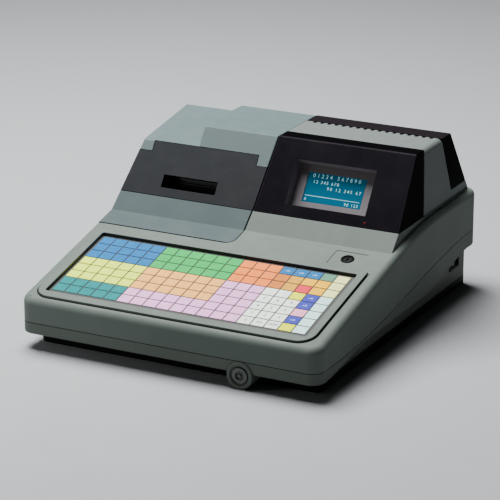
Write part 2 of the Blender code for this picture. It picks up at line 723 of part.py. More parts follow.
def split(loop, folds):
    """Cut a side polygon along fold lines, given as pairs of point numbers."""
    loops = [list(loop)]
    for first, second in folds:
        for index, candidate in enumerate(loops):
            if first in candidate and second in candidate:
                start, end = sorted((candidate.index(first), candidate.index(second)))
                loops[index:index + 1] = [candidate[start:end + 1], candidate[end:] + candidate[:start + 1]]
                break
    return loops


def slab(name, outline, left, right, finish=None, left_folds=(), right_folds=()):
    """Solid of a side profile (depth, z) whose left and right X places differ from point to point."""
    count = len(outline)
    points = [place(x, a, b) for (a, b), x in zip(outline, left)]
    points += [place(x, a, b) for (a, b), x in zip(outline, right)]
    faces = [tuple(loop) for loop in split(range(count), left_folds)]
    faces += [tuple(count + index for index in loop) for loop in split(range(count), right_folds)]
    for index in range(count):
        after = (index + 1) % count
        faces.append((index, after, count + after, count + index))
    return solid(name, points, faces, finish)


def pod_slab(name, outline, inset=0.0, finish=None):
    """Solid of a side profile between the pod's drafted walls."""
    left = [pod_left(z) + inset for _, z in outline]
    right = [pod_right(z) - inset for _, z in outline]
    return slab(name, outline, left, right, finish)


def ring_body(name, profile, sides, point, finish=None, parent=None):
    """Turned solid with a bore: a closed profile (radius, along) taken round an axis by point(angle)."""
    count = len(profile)
    turns = [2 * pi * side / sides for side in range(sides)]
    points = [point(angle, radius, along) for angle in turns for radius, along in profile]
    faces = []
    for side in range(sides):
        here, there = side * count, (side + 1) % sides * count
        for index in range(count):
            after = (index + 1) % count
            faces.append((here + index, here + after, there + after, there + index))
    return solid(name, points, faces, finish, parent)


def turned_x(centre):
    """Point rule of a shape turned about an axis that runs along X."""
    depth, height = centre

    def point(angle, radius, along):
        return place(along, depth + radius * cos(angle), height + radius * sin(angle))
    return point


def turned_y(x, z):
    """Point rule of a shape turned about an axis that runs from front to back."""
    def point(angle, radius, along):
        return place(x + radius * cos(angle), along, z + radius * sin(angle))
    return point


def turned_n(angle, radius, along):
    """Point rule of a shape turned about a guide's Z axis."""
    return Vector((radius * cos(angle), radius * sin(angle), along))


def soften(target, width, segments=2, sharper_than=radians(35)):
    """Round the edges of a finished blank."""
    bevel = target.modifiers.new("soften", "BEVEL")
    bevel.width = width
    bevel.segments = segments
    bevel.limit_method = "ANGLE"
    bevel.angle_limit = sharper_than
    return target


def combine(target, others, operation):
    """Add Boolean steps to a piece."""
    for other in others:
        step = target.modifiers.new(other.name, "BOOLEAN")
        step.operation = operation
        step.solver = "EXACT"
        step.object = other
    return target


def cut(target, *cutters):
    """Take cutters out of a piece."""
    return combine(target, cutters, "DIFFERENCE")


def fuse(target, *fillers):
    """Add fillers to a piece."""
    return combine(target, fillers, "UNION")


def hang(axis_name, origin, *pieces):
    """Parent finished pieces to an empty on their joint's axis."""
    empty = guide(axis_name, origin)
    for piece in pieces:
        piece.parent = empty
        piece.matrix_parent_inverse = Matrix.Translation(-origin)
    return empty


def thin_out(values, least):
    """Sorted values without near twins."""
    kept = []
    for value in sorted(values):
        if not kept or value - kept[-1] > least:
            kept.append(value)
    return kept


def body_stations(inset):
    """Depths at which the case's cross-sections are taken."""
    front, rear = inset, CASE_DEPTH - inset
    ends = arc_steps(CORNER_RADIUS - inset, CORNER_STEPS) + arc_steps(END_EDGE_RADIUS, EDGE_STEPS)
    marks = [front + end for end in ends] + [rear - end for end in ends]
    marks += [CREASE_DEPTH + LEDGE_RUN * step / LEDGE_STEPS for step in range(LEDGE_STEPS + 1)]
    marks += [PARTING_START + PARTING_RUN * step / CURVE_STEPS for step in range(CURVE_STEPS + 1)]
    kept = thin_out([mark for mark in marks if front <= mark <= rear], STATION_GAP)
    kept[0], kept[-1] = front, rear
    return kept


def plan_half(depth, inset):
    """Half width of the rounded plan outline at a depth."""
    near = min(depth - inset, CASE_DEPTH - inset - depth)
    return HALF_WIDTH - inset - rounding(near, CORNER_RADIUS - inset)


def case_ring(depth, inset, low):
    """Cross-section of the case: level bottom, upright walls, round top edges."""
    near = min(depth - inset, CASE_DEPTH - inset - depth)
    half = plan_half(depth, inset)
    edge = SIDE_EDGE_RADIUS - inset
    top = top_height(depth) - inset * DECK_VERTICAL - rounding(near, END_EDGE_RADIUS)
    angles = [pi / 2 * step / EDGE_STEPS for step in range(EDGE_STEPS + 1)]
    side = [(half, low)] + [(half - edge + edge * cos(a), top - edge + edge * sin(a)) for a in angles]
    return [place(x, depth, z) for x, z in side + [(-x, z) for x, z in reversed(side)]]


def case_blank():
    """Outer body of the upper case."""
    stations = body_stations(0.0)
    return loft("upper_case", [case_ring(d, 0.0, parting_height(d) + GAP / 2) for d in stations], "case_grey")


def case_cavity():
    """Room inside the upper case."""
    low = FLANGE_FRONT
    return loft("case_cavity", [case_ring(d, WALL, low) for d in body_stations(WALL)])


def plinth_outline():
    """Side profile of the raised part that carries the display pod."""
    return [
        (CREASE_DEPTH, CREASE_HEIGHT),
        (RISER_TOP_DEPTH, RISER_TOP_HEIGHT),
        (POD_REAR_FOOT, RISER_TOP_HEIGHT),
        (POD_REAR_FOOT, LEDGE_HEIGHT - WALL / 2),
        (CREASE_DEPTH + LEDGE_RUN, LEDGE_HEIGHT - WALL / 2),
        (CREASE_DEPTH, CREASE_HEIGHT - WALL / 2),
    ]


def plinth():
    """Raised part of the upper case under the display pod."""
    outline = plinth_outline()
    left = [SEAM_X - OVERRUN] * len(outline)
    return slab("plinth", outline, left, [pod_right(z) for _, z in outline])


def plinth_cavity():
    """Room inside the raised part, open to the case below."""
    crease, riser, rear = plinth_outline()[:3]
    low = CREASE_HEIGHT - WALL * 3
    corners = [crease, riser, rear, (rear[0], low), (crease[0], low)]
    outline = shift_outline(corners, [WALL, WALL, WALL, 0.0, WALL])
    left = [pod_left(z) + WALL for _, z in outline]
    return slab("plinth_cavity", outline, left, [pod_right(z) - WALL for _, z in outline])


def keyboard_frame(deck):
    """Raised frame round the keyboard."""
    radii = (FRAME_RADIUS, FRAME_RADIUS, FRAME_REAR_RADIUS, FRAME_REAR_RADIUS)
    outline = rounded_rectangle(FRAME_LEFT, FRAME_RIGHT, FRAME_FRONT, FRAME_REAR, radii)
    waist = shift_outline(outline, [FRAME_BEVEL] * len(outline))
    levels = ((outline, -WALL / 2), (outline, FRAME_RISE - FRAME_BEVEL), (waist, FRAME_RISE))
    rings = [[Vector((a, b, n)) for a, b in points] for points, n in levels]
    return loft("keyboard_frame", rings, parent=deck)


def recess_outline(clearance=0.0):
    """Opening of the keyboard frame."""
    left, right = FRAME_LEFT + RIM_LEFT, FRAME_RIGHT - RIM_RIGHT
    front, rear = FRAME_FRONT + RIM_FRONT, FRAME_REAR - RIM_REAR
    outline = rounded_rectangle(left, right, front, rear, [RECESS_RADIUS] * 4, steps=2)
    return shift_outline(outline, [clearance] * len(outline))


def lip_corner(name, right, front, radius, low, high):
    """Filler between a square corner and the round front right corner of the cover's lip."""
    centre = (right - radius, front + radius)
    arc = [turn(-pi / 2 * step / CORNER_STEPS, radius, centre) for step in range(CORNER_STEPS + 1)]
    outer = [(centre[0], front - OVERRUN), (right + OVERRUN, front - OVERRUN), (right + OVERRUN, centre[1])]
    return upright(arc + outer, low, high, name)


def cover_foot(depth):
    """Height of the printer cover's lower edge."""
    return top_height(depth) - COVER_SKIRT


def cover_foot_depths():
    """Depths of the points of the cover's lower edge, from the rear to the front."""
    arc = [CREASE_DEPTH + LEDGE_RUN * step / LEDGE_STEPS for step in range(LEDGE_STEPS, -1, -1)]
    return [POD_REAR_FOOT] + arc + [COVER_FRONT]


def bay_cutter():
    """Opening of the upper case that the printer cover closes."""
    foot = [(depth, cover_foot(depth) - SEAM) for depth in cover_foot_depths()]
    foot[0] = (POD_REAR_FOOT + SEAM, foot[0][1])
    foot[-1] = (COVER_FRONT - SEAM, cover_foot(COVER_FRONT - SEAM) - SEAM)
    high = POD_HEIGHT
    outline = foot + [(foot[-1][0], high), (foot[0][0], high)]
    cutter = across(outline, -HALF_WIDTH - OVERRUN, SEAM_X + SEAM / 2, "bay_cutter")
    corner = lip_corner("bay_corner", SEAM_X + SEAM / 2, COVER_FRONT - SEAM, LIP_RADIUS + SEAM,
                        cover_foot(0.0), high + OVERRUN)
    return cut(cutter, corner)


def lip_shelf():
    """Shelf under the front edge of the printer cover."""
    left, right = COVER_LEFT + COVER_WALL + SEAM * 3, SEAM_X - LIP_RADIUS
    front, rear = COVER_FRONT - SHELF_REACH * 2, COVER_FRONT + SHELF_REACH
    drop = LIP_THICKNESS * DECK_VERTICAL + GAP * 2
    outline = [
        (front, top_height(front) - WALL / 2),
        (COVER_FRONT - SEAM * 2, top_height(COVER_FRONT - SEAM * 2) - WALL / 2),
        (COVER_FRONT - SEAM * 2, top_height(COVER_FRONT - SEAM * 2) - drop),
        (rear, top_height(rear) - drop),
        (rear, top_height(rear) - drop - SHELF_THICKNESS),
        (front, top_height(front) - drop - SHELF_THICKNESS),
    ]
    return across(outline, left, right, "lip_shelf")


def hinge_places():
    """X middles of the two cover hinges."""
    return COVER_LEFT + HINGE_MARGIN, SEAM_X - HINGE_MARGIN


def knuckle_outline(foot_depth, foot_height):
    """Side profile of a hinge ear: a round eye on an upright foot."""
    eye = (HINGE_DEPTH, HINGE_HEIGHT)
    arc = [turn(pi * step / KNUCKLE_STEPS, KNUCKLE_RADIUS, eye) for step in range(KNUCKLE_STEPS + 1)]
    return arc + [(foot_depth, foot_height), (HINGE_DEPTH + KNUCKLE_RADIUS, foot_height)]


def hinge_ears():
    """Ears of the upper case, either side of each cover knuckle."""
    ears = []
    for side, middle in enumerate(hinge_places()):
        for way in (-1, 1):
            near = middle + way * (KNUCKLE_WIDTH / 2 + GAP)
            far = near + way * EAR_WIDTH
            outline = knuckle_outline(HINGE_DEPTH - KNUCKLE_RADIUS, LEDGE_HEIGHT - WALL / 2)
            ear = across(outline, min(near, far), max(near, far), f"hinge_ear_{side}_{way}")
            ears.append(ear)
    return ears


def hinge_bores(length):
    """Bores for the hinge pins."""
    bore = circle(PIN_RADIUS + GAP, SMALL_SIDES, (HINGE_DEPTH, HINGE_HEIGHT))
    return [
        across(bore, middle - length, middle + length, f"hinge_bore_{index}")
        for index, middle in enumerate(hinge_places())
    ]


def inlet_outline(grow=0.0):
    """Front outline of the power inlet."""
    half, tall = INLET_WIDTH / 2 + grow, INLET_TALL / 2 + grow
    return rounded_rectangle(INLET_X - half, INLET_X + half, INLET_HEIGHT - tall, INLET_HEIGHT + tall,
                             [INLET_RADIUS] * 4, steps=2)


def port_outlines(grow=0.0):
    """Front outlines of the rear ports."""
    half, tall = PORT_WIDTH / 2 + grow, PORT_TALL / 2 + grow
    middles = [PORT_FIRST_X + PORT_PITCH * index for index in range(PORT_COUNT)]
    return [rectangle(x - half, x + half, INLET_HEIGHT - tall, INLET_HEIGHT + tall) for x in middles]


def rear_wall_cutters():
    """Openings of the rear wall for inlet and ports."""
    low, high = CASE_DEPTH - WALL - OVERRUN, CASE_DEPTH + OVERRUN
    cutters = [endways(inlet_outline(GAP), low, high, "inlet_opening")]
    cutters += [endways(o, low, high, f"port_opening_{i}") for i, o in enumerate(port_outlines(GAP))]
    return cutters


def lock_pocket_outline(grow=0.0):
    """Outline of the lock plate's pocket in the deck."""
    half, length = LOCK_PLATE_WIDTH / 2 + grow, LOCK_PLATE_LENGTH / 2 + grow
    return rounded_rectangle(-half, half, -length, length, [LOCK_POCKET_RADIUS] * 4, steps=2)


def upper_case(deck, lock):
    """Upper case with all its openings."""
    case = cut(case_blank(), case_cavity())
    fuse(case, plinth())
    cut(case, plinth_cavity())
    fuse(case, keyboard_frame(deck))
    cut(case, standing(recess_outline(), -WALL * 3, FRAME_RISE + OVERRUN, "key_recess", deck))
    cut(case, bay_cutter())
    fuse(case, lip_shelf(), *hinge_ears())
    cut(case, *hinge_bores(KNUCKLE_WIDTH / 2 + EAR_WIDTH + OVERRUN))
    cut(case, standing(lock_pocket_outline(GAP), -LOCK_PLATE_THICKNESS - LOCK_PLATE_SINK - GAP, OVERRUN,
                       "lock_pocket", lock))
    cut(case, standing(circle(LOCK_BODY_RADIUS + GAP, ROUND_SIDES), -WALL * 3, OVERRUN, "lock_hole", lock))
    cut(case, *rear_wall_cutters())
    left = POD_RIGHT / 2
    cable = rectangle(left, left + CABLE_HOLE_WIDTH, POD_REAR_TOP - CABLE_HOLE_LENGTH, POD_REAR_TOP)
    return cut(case, upright(cable, LEDGE_HEIGHT - WALL, RISER_TOP_HEIGHT + OVERRUN, "cable_hole"))


def waist_outline(inset):
    """Plan outline of the set-in wall below the flange."""
    half = HALF_WIDTH - WAIST_SIDE_SET_IN - inset
    front, rear = WAIST_FRONT_SET_IN + inset, CASE_DEPTH - WAIST_REAR_SET_IN - inset
    return rounded_rectangle(-half, half, front, rear, [WAIST_RADIUS - inset] * 4)


def waist_stations(inset):
    """Depths at which the set-in wall's cross-sections are taken."""
    front, rear = WAIST_FRONT_SET_IN + inset, CASE_DEPTH - WAIST_REAR_SET_IN - inset
    ends = arc_steps(WAIST_RADIUS - inset, CORNER_STEPS)
    marks = [front + end for end in ends] + [rear - end for end in ends]
    first, last = front + WAIST_RADIUS, rear - WAIST_RADIUS
    marks += [station for station in body_stations(0.0) if first < station < last]
    return thin_out(marks, GAP)


def waist_ring(depth, inset, low, high):
    """Cross-section of the set-in wall."""
    near = min(depth - WAIST_FRONT_SET_IN, CASE_DEPTH - WAIST_REAR_SET_IN - depth) - inset
    half = HALF_WIDTH - WAIST_SIDE_SET_IN - inset - rounding(near, WAIST_RADIUS - inset)
    return [place(x, depth, z) for x, z in ((-half, low), (half, low), (half, high), (-half, high))]


def flange_ring(depth, inset, low, high):
    """Cross-section of the flange band."""
    half = plan_half(depth, inset)
    return [place(x, depth, z) for x, z in ((-half, low), (half, low), (half, high), (-half, high))]


def lower_case():
    """Lower case: a flange below the parting line on a set-in wall."""
    high = PARTING_REAR + OVERRUN
    outer = [flange_ring(d, 0.0, flange_height(d), parting_height(d) - GAP / 2) for d in body_stations(0.0)]
    stations = body_stations(LOWER_WALL)
    inner = [flange_ring(d, LOWER_WALL, flange_height(d) + LOWER_WALL, high) for d in stations]
    waist = [waist_ring(d, 0.0, WAIST_FOOT, flange_height(d) + LOWER_WALL / 2) for d in waist_stations(0.0)]
    room = [waist_ring(d, LOWER_WALL, WAIST_FOOT - OVERRUN, high) for d in waist_stations(LOWER_WALL)]
    case = cut(loft("lower_case", outer, "lower_grey"), loft("flange_cavity", inner))
    fuse(case, loft("waist", waist))
    cut(case, loft("waist_cavity", room))
    opening = switch_box(-SWITCH_BODY_DEPTH, OVERRUN + SWITCH_FLANGE, -SWITCH_RIM + GAP, "switch_opening")
    bore = endways(circle(READER_RADIUS + GAP, FINE_SIDES, (READER_X, READER_HEIGHT)), -OVERRUN,
                   READER_LENGTH + GAP, "reader_bore")
    return cut(case, opening, bore)


def base_pan():
    """Black pan that closes the till from below and carries what is inside."""
    top = WAIST_FOOT - GAP
    outer = upright(waist_outline(0.0), PAN_CLEAR, top, "base_pan", "base_black")
    lapped = upright(waist_outline(LOWER_WALL + GAP), top - OVERRUN, WAIST_FOOT + PAN_LAP, "pan_lap")
    fuse(outer, lapped)
    room = upright(waist_outline(LOWER_WALL + GAP + PAN_WALL), PAN_TOP, WAIST_FOOT + PAN_LAP + OVERRUN, "pan_room")
    under = upright(waist_outline(PAN_WALL), 0.0, PAN_CLEAR + PAN_SKIRT, "pan_underside")
    slots = []
    for index in range(PAN_SLOT_COUNT):
        low = WAIST_FRONT_SET_IN + FOOT_INSET + FOOT_RADIUS * 2 + index * PAN_SLOT_PITCH
        outline = rectangle(PRINTER_X - PAN_SLOT_LENGTH / 2, PRINTER_X + PAN_SLOT_LENGTH / 2,
                            low, low + PAN_SLOT_WIDTH)
        slots.append(upright(outline, 0.0, PAN_TOP + OVERRUN, f"pan_slot_{index}"))
    notch = endways(circle(READER_RADIUS + GAP, ROUND_SIDES, (READER_X, READER_HEIGHT)), 0.0,
                    READER_LENGTH + GAP, "pan_notch")
    return cut(outer, room, under, notch, *slots)


def feet():
    """Rubber feet stuck under the four corners of the pan."""
    side = HALF_WIDTH - WAIST_SIDE_SET_IN - FOOT_INSET
    front, rear = WAIST_FRONT_SET_IN + FOOT_INSET, CASE_DEPTH - WAIST_REAR_SET_IN - FOOT_INSET
    top = PAN_CLEAR + PAN_SKIRT - GAP
    for end, depth in (("front", front), ("rear", rear)):
        for hand, x in (("left", -side), ("right", side)):
            rings = ((0.0, FOOT_RADIUS - FOOT_TAPER), (FOOT_TAPER / 2, FOOT_RADIUS), (top, FOOT_RADIUS))
            loops = [[place(a, b, z) for a, b in circle(radius, SMALL_SIDES, (x, depth))] for z, radius in rings]
            loft(f"foot_{end}_{hand}", loops, "rubber")


def print_slots(mesh):
    """Add the printed finishes to the film and return the slot of each cell's finish."""
    names = list(dict.fromkeys(name for name, _, _ in KEY_BLOCKS))
    for name in names:
        mesh.materials.append(material(name))
    slots = {}
    for name, (first_column, last_column), (first_row, last_row) in KEY_BLOCKS:
        for column in range(first_column - 1, last_column):
            for row in range(first_row - 1, last_row):
                slots[column, row] = names.index(name) + 1
    return slots


def keyboard_overlay(deck):
    """Flat membrane: a film with an embossed, printed cell for each key."""
    low = -WALL
    base = -KEY_RECESS
    film = standing(recess_outline(GAP), low, base, "keyboard_overlay", deck, "film")
    slots = print_slots(film.data)
    bm = bmesh.new()
    bm.from_mesh(film.data)
    top = max(bm.faces, key=lambda face: face.calc_center_median().z + face.calc_area())
    grid = {}
    for row in range(KEY_ROWS + 1):
        for column in range(KEY_COLUMNS + 1):
            point = (KEY_FIELD_LEFT + column * KEY_PITCH_X, KEY_FIELD_FRONT + row * KEY_PITCH_Y, base)
            grid[column, row] = bm.verts.new(point)
    cells = {}
    for row in range(KEY_ROWS):
        for column in range(KEY_COLUMNS):
            right, behind = column + 1, row + 1
            corners = (grid[column, row], grid[right, row], grid[right, behind], grid[column, behind])
            cells[column, row] = bm.faces.new(corners)
    rim = [edge for edge in top.edges]
    bmesh.ops.delete(bm, geom=[top], context="FACES_ONLY")
    field = [edge for edge in bm.edges if len(edge.link_faces) == 1 and edge not in rim]
    bmesh.ops.bridge_loops(bm, edges=rim + field)
    bmesh.ops.inset_individual(bm, faces=list(cells.values()), thickness=KEY_WEB, depth=0.0)
    for cell, face in cells.items():
        face.material_index = slots[cell]
    lifted = bmesh.ops.extrude_discrete_faces(bm, faces=list(cells.values()))["faces"]
    raised = list({vert for face in lifted for vert in face.verts})
    bmesh.ops.translate(bm, verts=raised, vec=(0.0, 0.0, KEY_EMBOSS))
    bmesh.ops.recalc_face_normals(bm, faces=bm.faces)
    bm.to_mesh(film.data)
    bm.free()
    return film


def keyboard_stack(deck):
    """Steel plate under the deck that carries the film, and the contact board below it."""
    outline = recess_outline(-KEY_PLATE_RIM)
    top = -WALL - GAP
    low = top - KEY_PLATE_THICKNESS
    plate = standing(outline, low, top, "keyboard_plate", deck, "steel")
    board = standing(recess_outline(0.0), low - GAP - KEY_BOARD_THICKNESS, low - GAP, "keyboard_board", deck,
                     "board_green")
    return plate, board


def lock_parts(lock):
    """Mode lock: plate in the deck, lock body with a nut below, turning barrel with a keyway."""
    base = -LOCK_PLATE_SINK - LOCK_PLATE_THICKNESS
    plate = standing(lock_pocket_outline(), base, -LOCK_PLATE_SINK, "lock_plate", lock, "case_grey")
    hole = circle(LOCK_BODY_RADIUS + GAP, ROUND_SIDES)
    cut(plate, standing(hole, base - OVERRUN, OVERRUN, "plate_hole", lock))
    rim = LOCK_BARREL_RADIUS + GAP
    low = -LOCK_BODY_LENGTH
    profile = [(rim, LOCK_LIP_RISE), (LOCK_BODY_RADIUS, LOCK_LIP_RISE), (LOCK_BODY_RADIUS, low), (rim, low)]
    body = ring_body("lock_body", profile, ROUND_SIDES, turned_n, "dark_steel", lock)
    nut_top = -WALL - GAP
    nut_low = nut_top - LOCK_NUT_THICKNESS
    nut = standing(circle(LOCK_NUT_RADIUS, NUT_SIDES), nut_low, nut_top, "lock_nut", lock, "steel")
    cut(nut, standing(circle(LOCK_BODY_RADIUS + GAP, ROUND_SIDES), nut_low - OVERRUN, nut_top + OVERRUN,
                      "nut_bore", lock))
    barrel = standing(circle(LOCK_BARREL_RADIUS, ROUND_SIDES), low, 0.0, "lock_barrel", lock, "base_black")
    keyway = standing(rectangle(-KEYWAY_WIDTH / 2, KEYWAY_WIDTH / 2, -KEYWAY_LENGTH / 2, KEYWAY_LENGTH / 2),
                      -KEYWAY_SINK, OVERRUN, "keyway", lock)
    return plate, body, nut, cut(barrel, keyway)


def reader_parts():
    """Touch-key reader: boss with a cup, contact ring and centre contact."""
    point = turned_y(READER_X, READER_HEIGHT)
    front, cup = -READER_PROUD, -READER_PROUD + READER_CUP_SINK
    steps = [(front + end, READER_RADIUS - rounding(end, READER_BEVEL)) for end in arc_steps(READER_BEVEL, 2)]
    steps.append((READER_LENGTH, READER_RADIUS))
    loops = [[place(x, depth, z) for x, z in circle(radius, FINE_SIDES, (READER_X, READER_HEIGHT))]
             for depth, radius in steps]
    boss = loft("reader_boss", loops, "lower_grey")
    cut(boss, endways(circle(READER_CUP_RADIUS, FINE_SIDES, (READER_X, READER_HEIGHT)), front - OVERRUN, cup,
                      "reader_cup"))
    seat = cup - GAP
    ring_front = seat - CONTACT_RING_THICKNESS
    profile = [(CONTACT_RING_INNER, ring_front), (CONTACT_RING_OUTER, ring_front), (CONTACT_RING_OUTER, seat),
               (CONTACT_RING_INNER, seat)]
    ring = ring_body("contact_ring", profile, ROUND_SIDES, point, "steel")
    pin = endways(circle(CONTACT_PIN_RADIUS, SMALL_SIDES, (READER_X, READER_HEIGHT)), seat - CONTACT_PIN_LENGTH,
                  seat, "contact_pin", "steel")
    return boss, ring, pin


def sight_outline(grow=0.0):
    """Outline of the sunken display window, in the plane of the display face."""
    return rectangle(SIGHT_LEFT - grow, SIGHT_RIGHT + grow, SIGHT_LOW - grow, SIGHT_HIGH + grow)


def display_frame(face):
    """Black front of the display pod, with the sunken window's walls inside it."""
    outline = [
        (RISER_TOP_DEPTH, POD_FOOT),
        (FACE_TOP_DEPTH, POD_HEIGHT),
        (POD_FRONT_TOP, POD_HEIGHT),
        (POD_FRONT_FOOT, POD_FOOT),
    ]
    frame = soften(pod_slab("display_frame", outline, 0.0, "gloss_black"), POD_BEVEL)
    room = shift_outline(outline, [POD_WALL, POD_WALL, -OVERRUN, -OVERRUN])
    cut(frame, pod_slab("display_frame_room", room, POD_WALL))
    fuse(frame, standing(sight_outline(SIGHT_WALL), -SIGHT_SINK, -POD_WALL / 2, "sight_walls", face))
    cut(frame, standing(sight_outline(), -SIGHT_SINK - OVERRUN, OVERRUN, "sight_opening", face))
    lamp_hole = circle(LAMP_RADIUS + GAP, SMALL_SIDES, (LAMP_X, LAMP_UP))
    return cut(frame, standing(lamp_hole, -POD_WALL * 2, OVERRUN, "lamp_hole", face))


def operator_display(face):
    """Bezel, glass and module at the back of the sunken window, and the status lamp."""
    module_top = -SIGHT_SINK - GAP
    rim = SIGHT_WALL + MODULE_RIM
    board = rectangle(SIGHT_LEFT - rim, SIGHT_RIGHT + rim, SIGHT_LOW + MODULE_LIFT, SIGHT_HIGH + rim)
    module = standing(board, module_top - MODULE_THICKNESS, module_top, "display_module", face, "board_green")
    bezel_low = module_top + GAP
    bezel = standing(sight_outline(-GAP), bezel_low, bezel_low + BEZEL_THICKNESS, "display_bezel", face,
                     "bezel_grey")
    view = rectangle(SIGHT_LEFT + BEZEL_LEFT, SIGHT_RIGHT - BEZEL_RIGHT, SIGHT_LOW + BEZEL_FOOT,
                     SIGHT_HIGH - BEZEL_HEAD)
    cut(bezel, standing(view, bezel_low - OVERRUN, bezel_low + BEZEL_THICKNESS + OVERRUN, "bezel_view", face))
    pane = shift_outline(view, [GAP] * 4)
    glass = standing(pane, bezel_low, bezel_low + GLASS_THICKNESS, "display_glass", face, "display_blue")
    lamp = standing(circle(LAMP_RADIUS, SMALL_SIDES, (LAMP_X, LAMP_UP)), LAMP_PROUD - LAMP_LENGTH, LAMP_PROUD,
                    "status_lamp", face, "lamp_red")
    return module, bezel, glass, lamp


def notch_outlines():
    """Air notches in the rear edge of the housing's top, in plan."""
    left, right = pod_left(POD_HEIGHT) + NOTCH_MARGIN, pod_right(POD_HEIGHT) - NOTCH_MARGIN
    count = max(int((right - left) / NOTCH_PITCH), 1)
    first = (left + right - (count - 1) * NOTCH_PITCH) / 2
    outlines = []
    for index in range(count):
        x = first + index * NOTCH_PITCH
        radius = NOTCH_WIDTH / 2
        centre = (x, REAR_COVER_TOP - NOTCH_LENGTH + radius)
        arc = [turn(pi + pi * step / EDGE_STEPS, radius, centre) for step in range(EDGE_STEPS + 1)]
        outlines.append(arc + [(x + radius, REAR_COVER_TOP + OVERRUN), (x - radius, REAR_COVER_TOP + OVERRUN)])
    return outlines


def display_housing():
    """Grey middle of the display pod, open to the front frame and to the rear cover."""
    foot, top = POD_FOOT, POD_HEIGHT
    shelf = (rear_depth(REAR_COVER_HEIGHT), REAR_COVER_HEIGHT)
    outline = [
        (POD_FRONT_FOOT + GAP, foot),
        (POD_FRONT_TOP + GAP, top),
        (REAR_COVER_TOP, top),
        (REAR_COVER_FOOT, REAR_COVER_HEIGHT),
        shelf,
        (rear_depth(foot), foot),
    ]
    housing = soften(pod_slab("display_housing", outline, 0.0, "pod_grey"), POD_BEVEL)
    room = shift_outline(outline, [-OVERRUN, POD_WALL, -OVERRUN, POD_WALL, POD_WALL, -OVERRUN])
    cut(housing, pod_slab("display_housing_room", room, POD_WALL))
    for index, notch in enumerate(notch_outlines()):
        cut(housing, upright(notch, top - POD_WALL * 2, top + OVERRUN, f"notch_{index}"))
    return housing


def lens_outline(grow=0.0):
    """Outline of the customer display's lens, measured down the rear slope."""
    return rounded_rectangle(LENS_LEFT - grow, LENS_RIGHT + grow, LENS_TOP - grow, LENS_TOP + LENS_LENGTH + grow,
                             [LENS_RADIUS] * 4, steps=2)


def rear_cover(rear):
    """Black rear cover of the display pod, over its top edge, with the customer display's opening."""
    low = REAR_COVER_HEIGHT + GAP
    outline = [
        (REAR_COVER_TOP + GAP, POD_HEIGHT),
        (POD_REAR_TOP, POD_HEIGHT),
        (rear_depth(low), low),
        (REAR_COVER_FOOT + GAP, low),
    ]
    cover = soften(pod_slab("rear_cover", outline, 0.0, "gloss_black"), POD_BEVEL)
    room = shift_outline(outline, [POD_WALL, POD_WALL, POD_WALL, -OVERRUN])
    cut(cover, pod_slab("rear_cover_room", room, POD_WALL))
    return cut(cover, standing(lens_outline(GAP), -POD_WALL * 2, OVERRUN, "lens_opening", rear))


def customer_display(rear):
    """Lens in the rear cover and the display module behind it."""
    lens = standing(lens_outline(), -POD_WALL, -GAP, "customer_lens", rear, "smoked")
    module = standing(rectangle(LENS_LEFT - CUSTOMER_RIM, LENS_RIGHT + CUSTOMER_RIM, LENS_TOP - CUSTOMER_RIM,
                                LENS_TOP + LENS_LENGTH + CUSTOMER_RIM),
                      -POD_WALL - GAP - CUSTOMER_THICKNESS, -POD_WALL - GAP, "customer_module", rear, "board_green")
    return lens, module


def cover_ridge():
    """Side profile of the printer cover left of its raised block, with the left X place of each point."""
    lower_left = COVER_LEFT + POD_DRAFT * RISER_RISE
    return [
        ((COVER_FRONT, top_height(COVER_FRONT)), COVER_LEFT),
        ((CREASE_DEPTH, CREASE_HEIGHT), COVER_LEFT),
        ((RISER_TOP_DEPTH, RISER_TOP_HEIGHT), lower_left),
        (face_point(SHOULDER_UP), COVER_SHOULDER_X),
        ((rear_depth(CREST_HEIGHT), CREST_HEIGHT), COVER_CREST_X),
        ((POD_REAR_FOOT, RISER_TOP_HEIGHT), lower_left),
    ]


def block_top():
    """Side profile of the raised block's top edges, front and rear."""
    crest_up = (BLOCK_HEIGHT - RISER_TOP_HEIGHT) / sin(FACE_SLOPE)
    return [face_point(crest_up), (rear_depth(BLOCK_HEIGHT), BLOCK_HEIGHT)]


def roofed_body(name, foot, walls, inset, finish=None):
    """Body of the printer cover, shrunk by wall thicknesses: a sloping roof with a raised block on the right."""
    ridge = cover_ridge()
    lip, face, shell, skirt, front = walls
    distances = [lip, lip, face, shell, shell, skirt] + [0.0] * (len(foot) - 1) + [front]
    left = shift_outline([point for point, _ in ridge] + foot, distances)
    right = [point for point, _ in ridge[:3]] + block_top() + [ridge[5][0]] + foot
    right = shift_outline(right, distances)
    left_x = [x + inset for _, x in ridge] + [COVER_LEFT + inset] * len(foot)
    block = [(left[3], BLOCK_LEFT), (right[3], BLOCK_LEFT), (right[4], BLOCK_REAR_LEFT)]
    block.append((left[4], BLOCK_FLANK_FOOT))
    raised, other, last = len(left), len(left) + len(block), len(left) - 1
    points = [place(x, a, b) for (a, b), x in zip(left, left_x)]
    points += [place(x + inset, a, b) for (a, b), x in block]
    points += [place(cover_right(b) - inset, a, b) for a, b in right]
    faces = [
        (0, 1, other + 1, other),
        (1, 2, other + 2, other + 1),
        (2, 3, raised, raised + 1, other + 3, other + 2),
        (3, 4, raised + 3, raised),
        (raised, raised + 1, raised + 2),
        (raised, raised + 2, raised + 3),
        (raised + 1, other + 3, other + 4, raised + 2),
        (4, 5, other + 5, other + 4, raised + 2, raised + 3),
        (2, 3, 4),
        (2, 4, 5),
        (0, 1, 2, *range(5, last + 1)),
        (other + 2, other + 3, other + 4, other + 5),
        (other, other + 1, other + 2, *range(other + 5, other + last + 1)),
    ]
    for index in range(5, last + 1):
        after = index + 1 if index < last else 0
        faces.append((index, after, other + after, other + index))
    return solid(name, points, faces, finish)


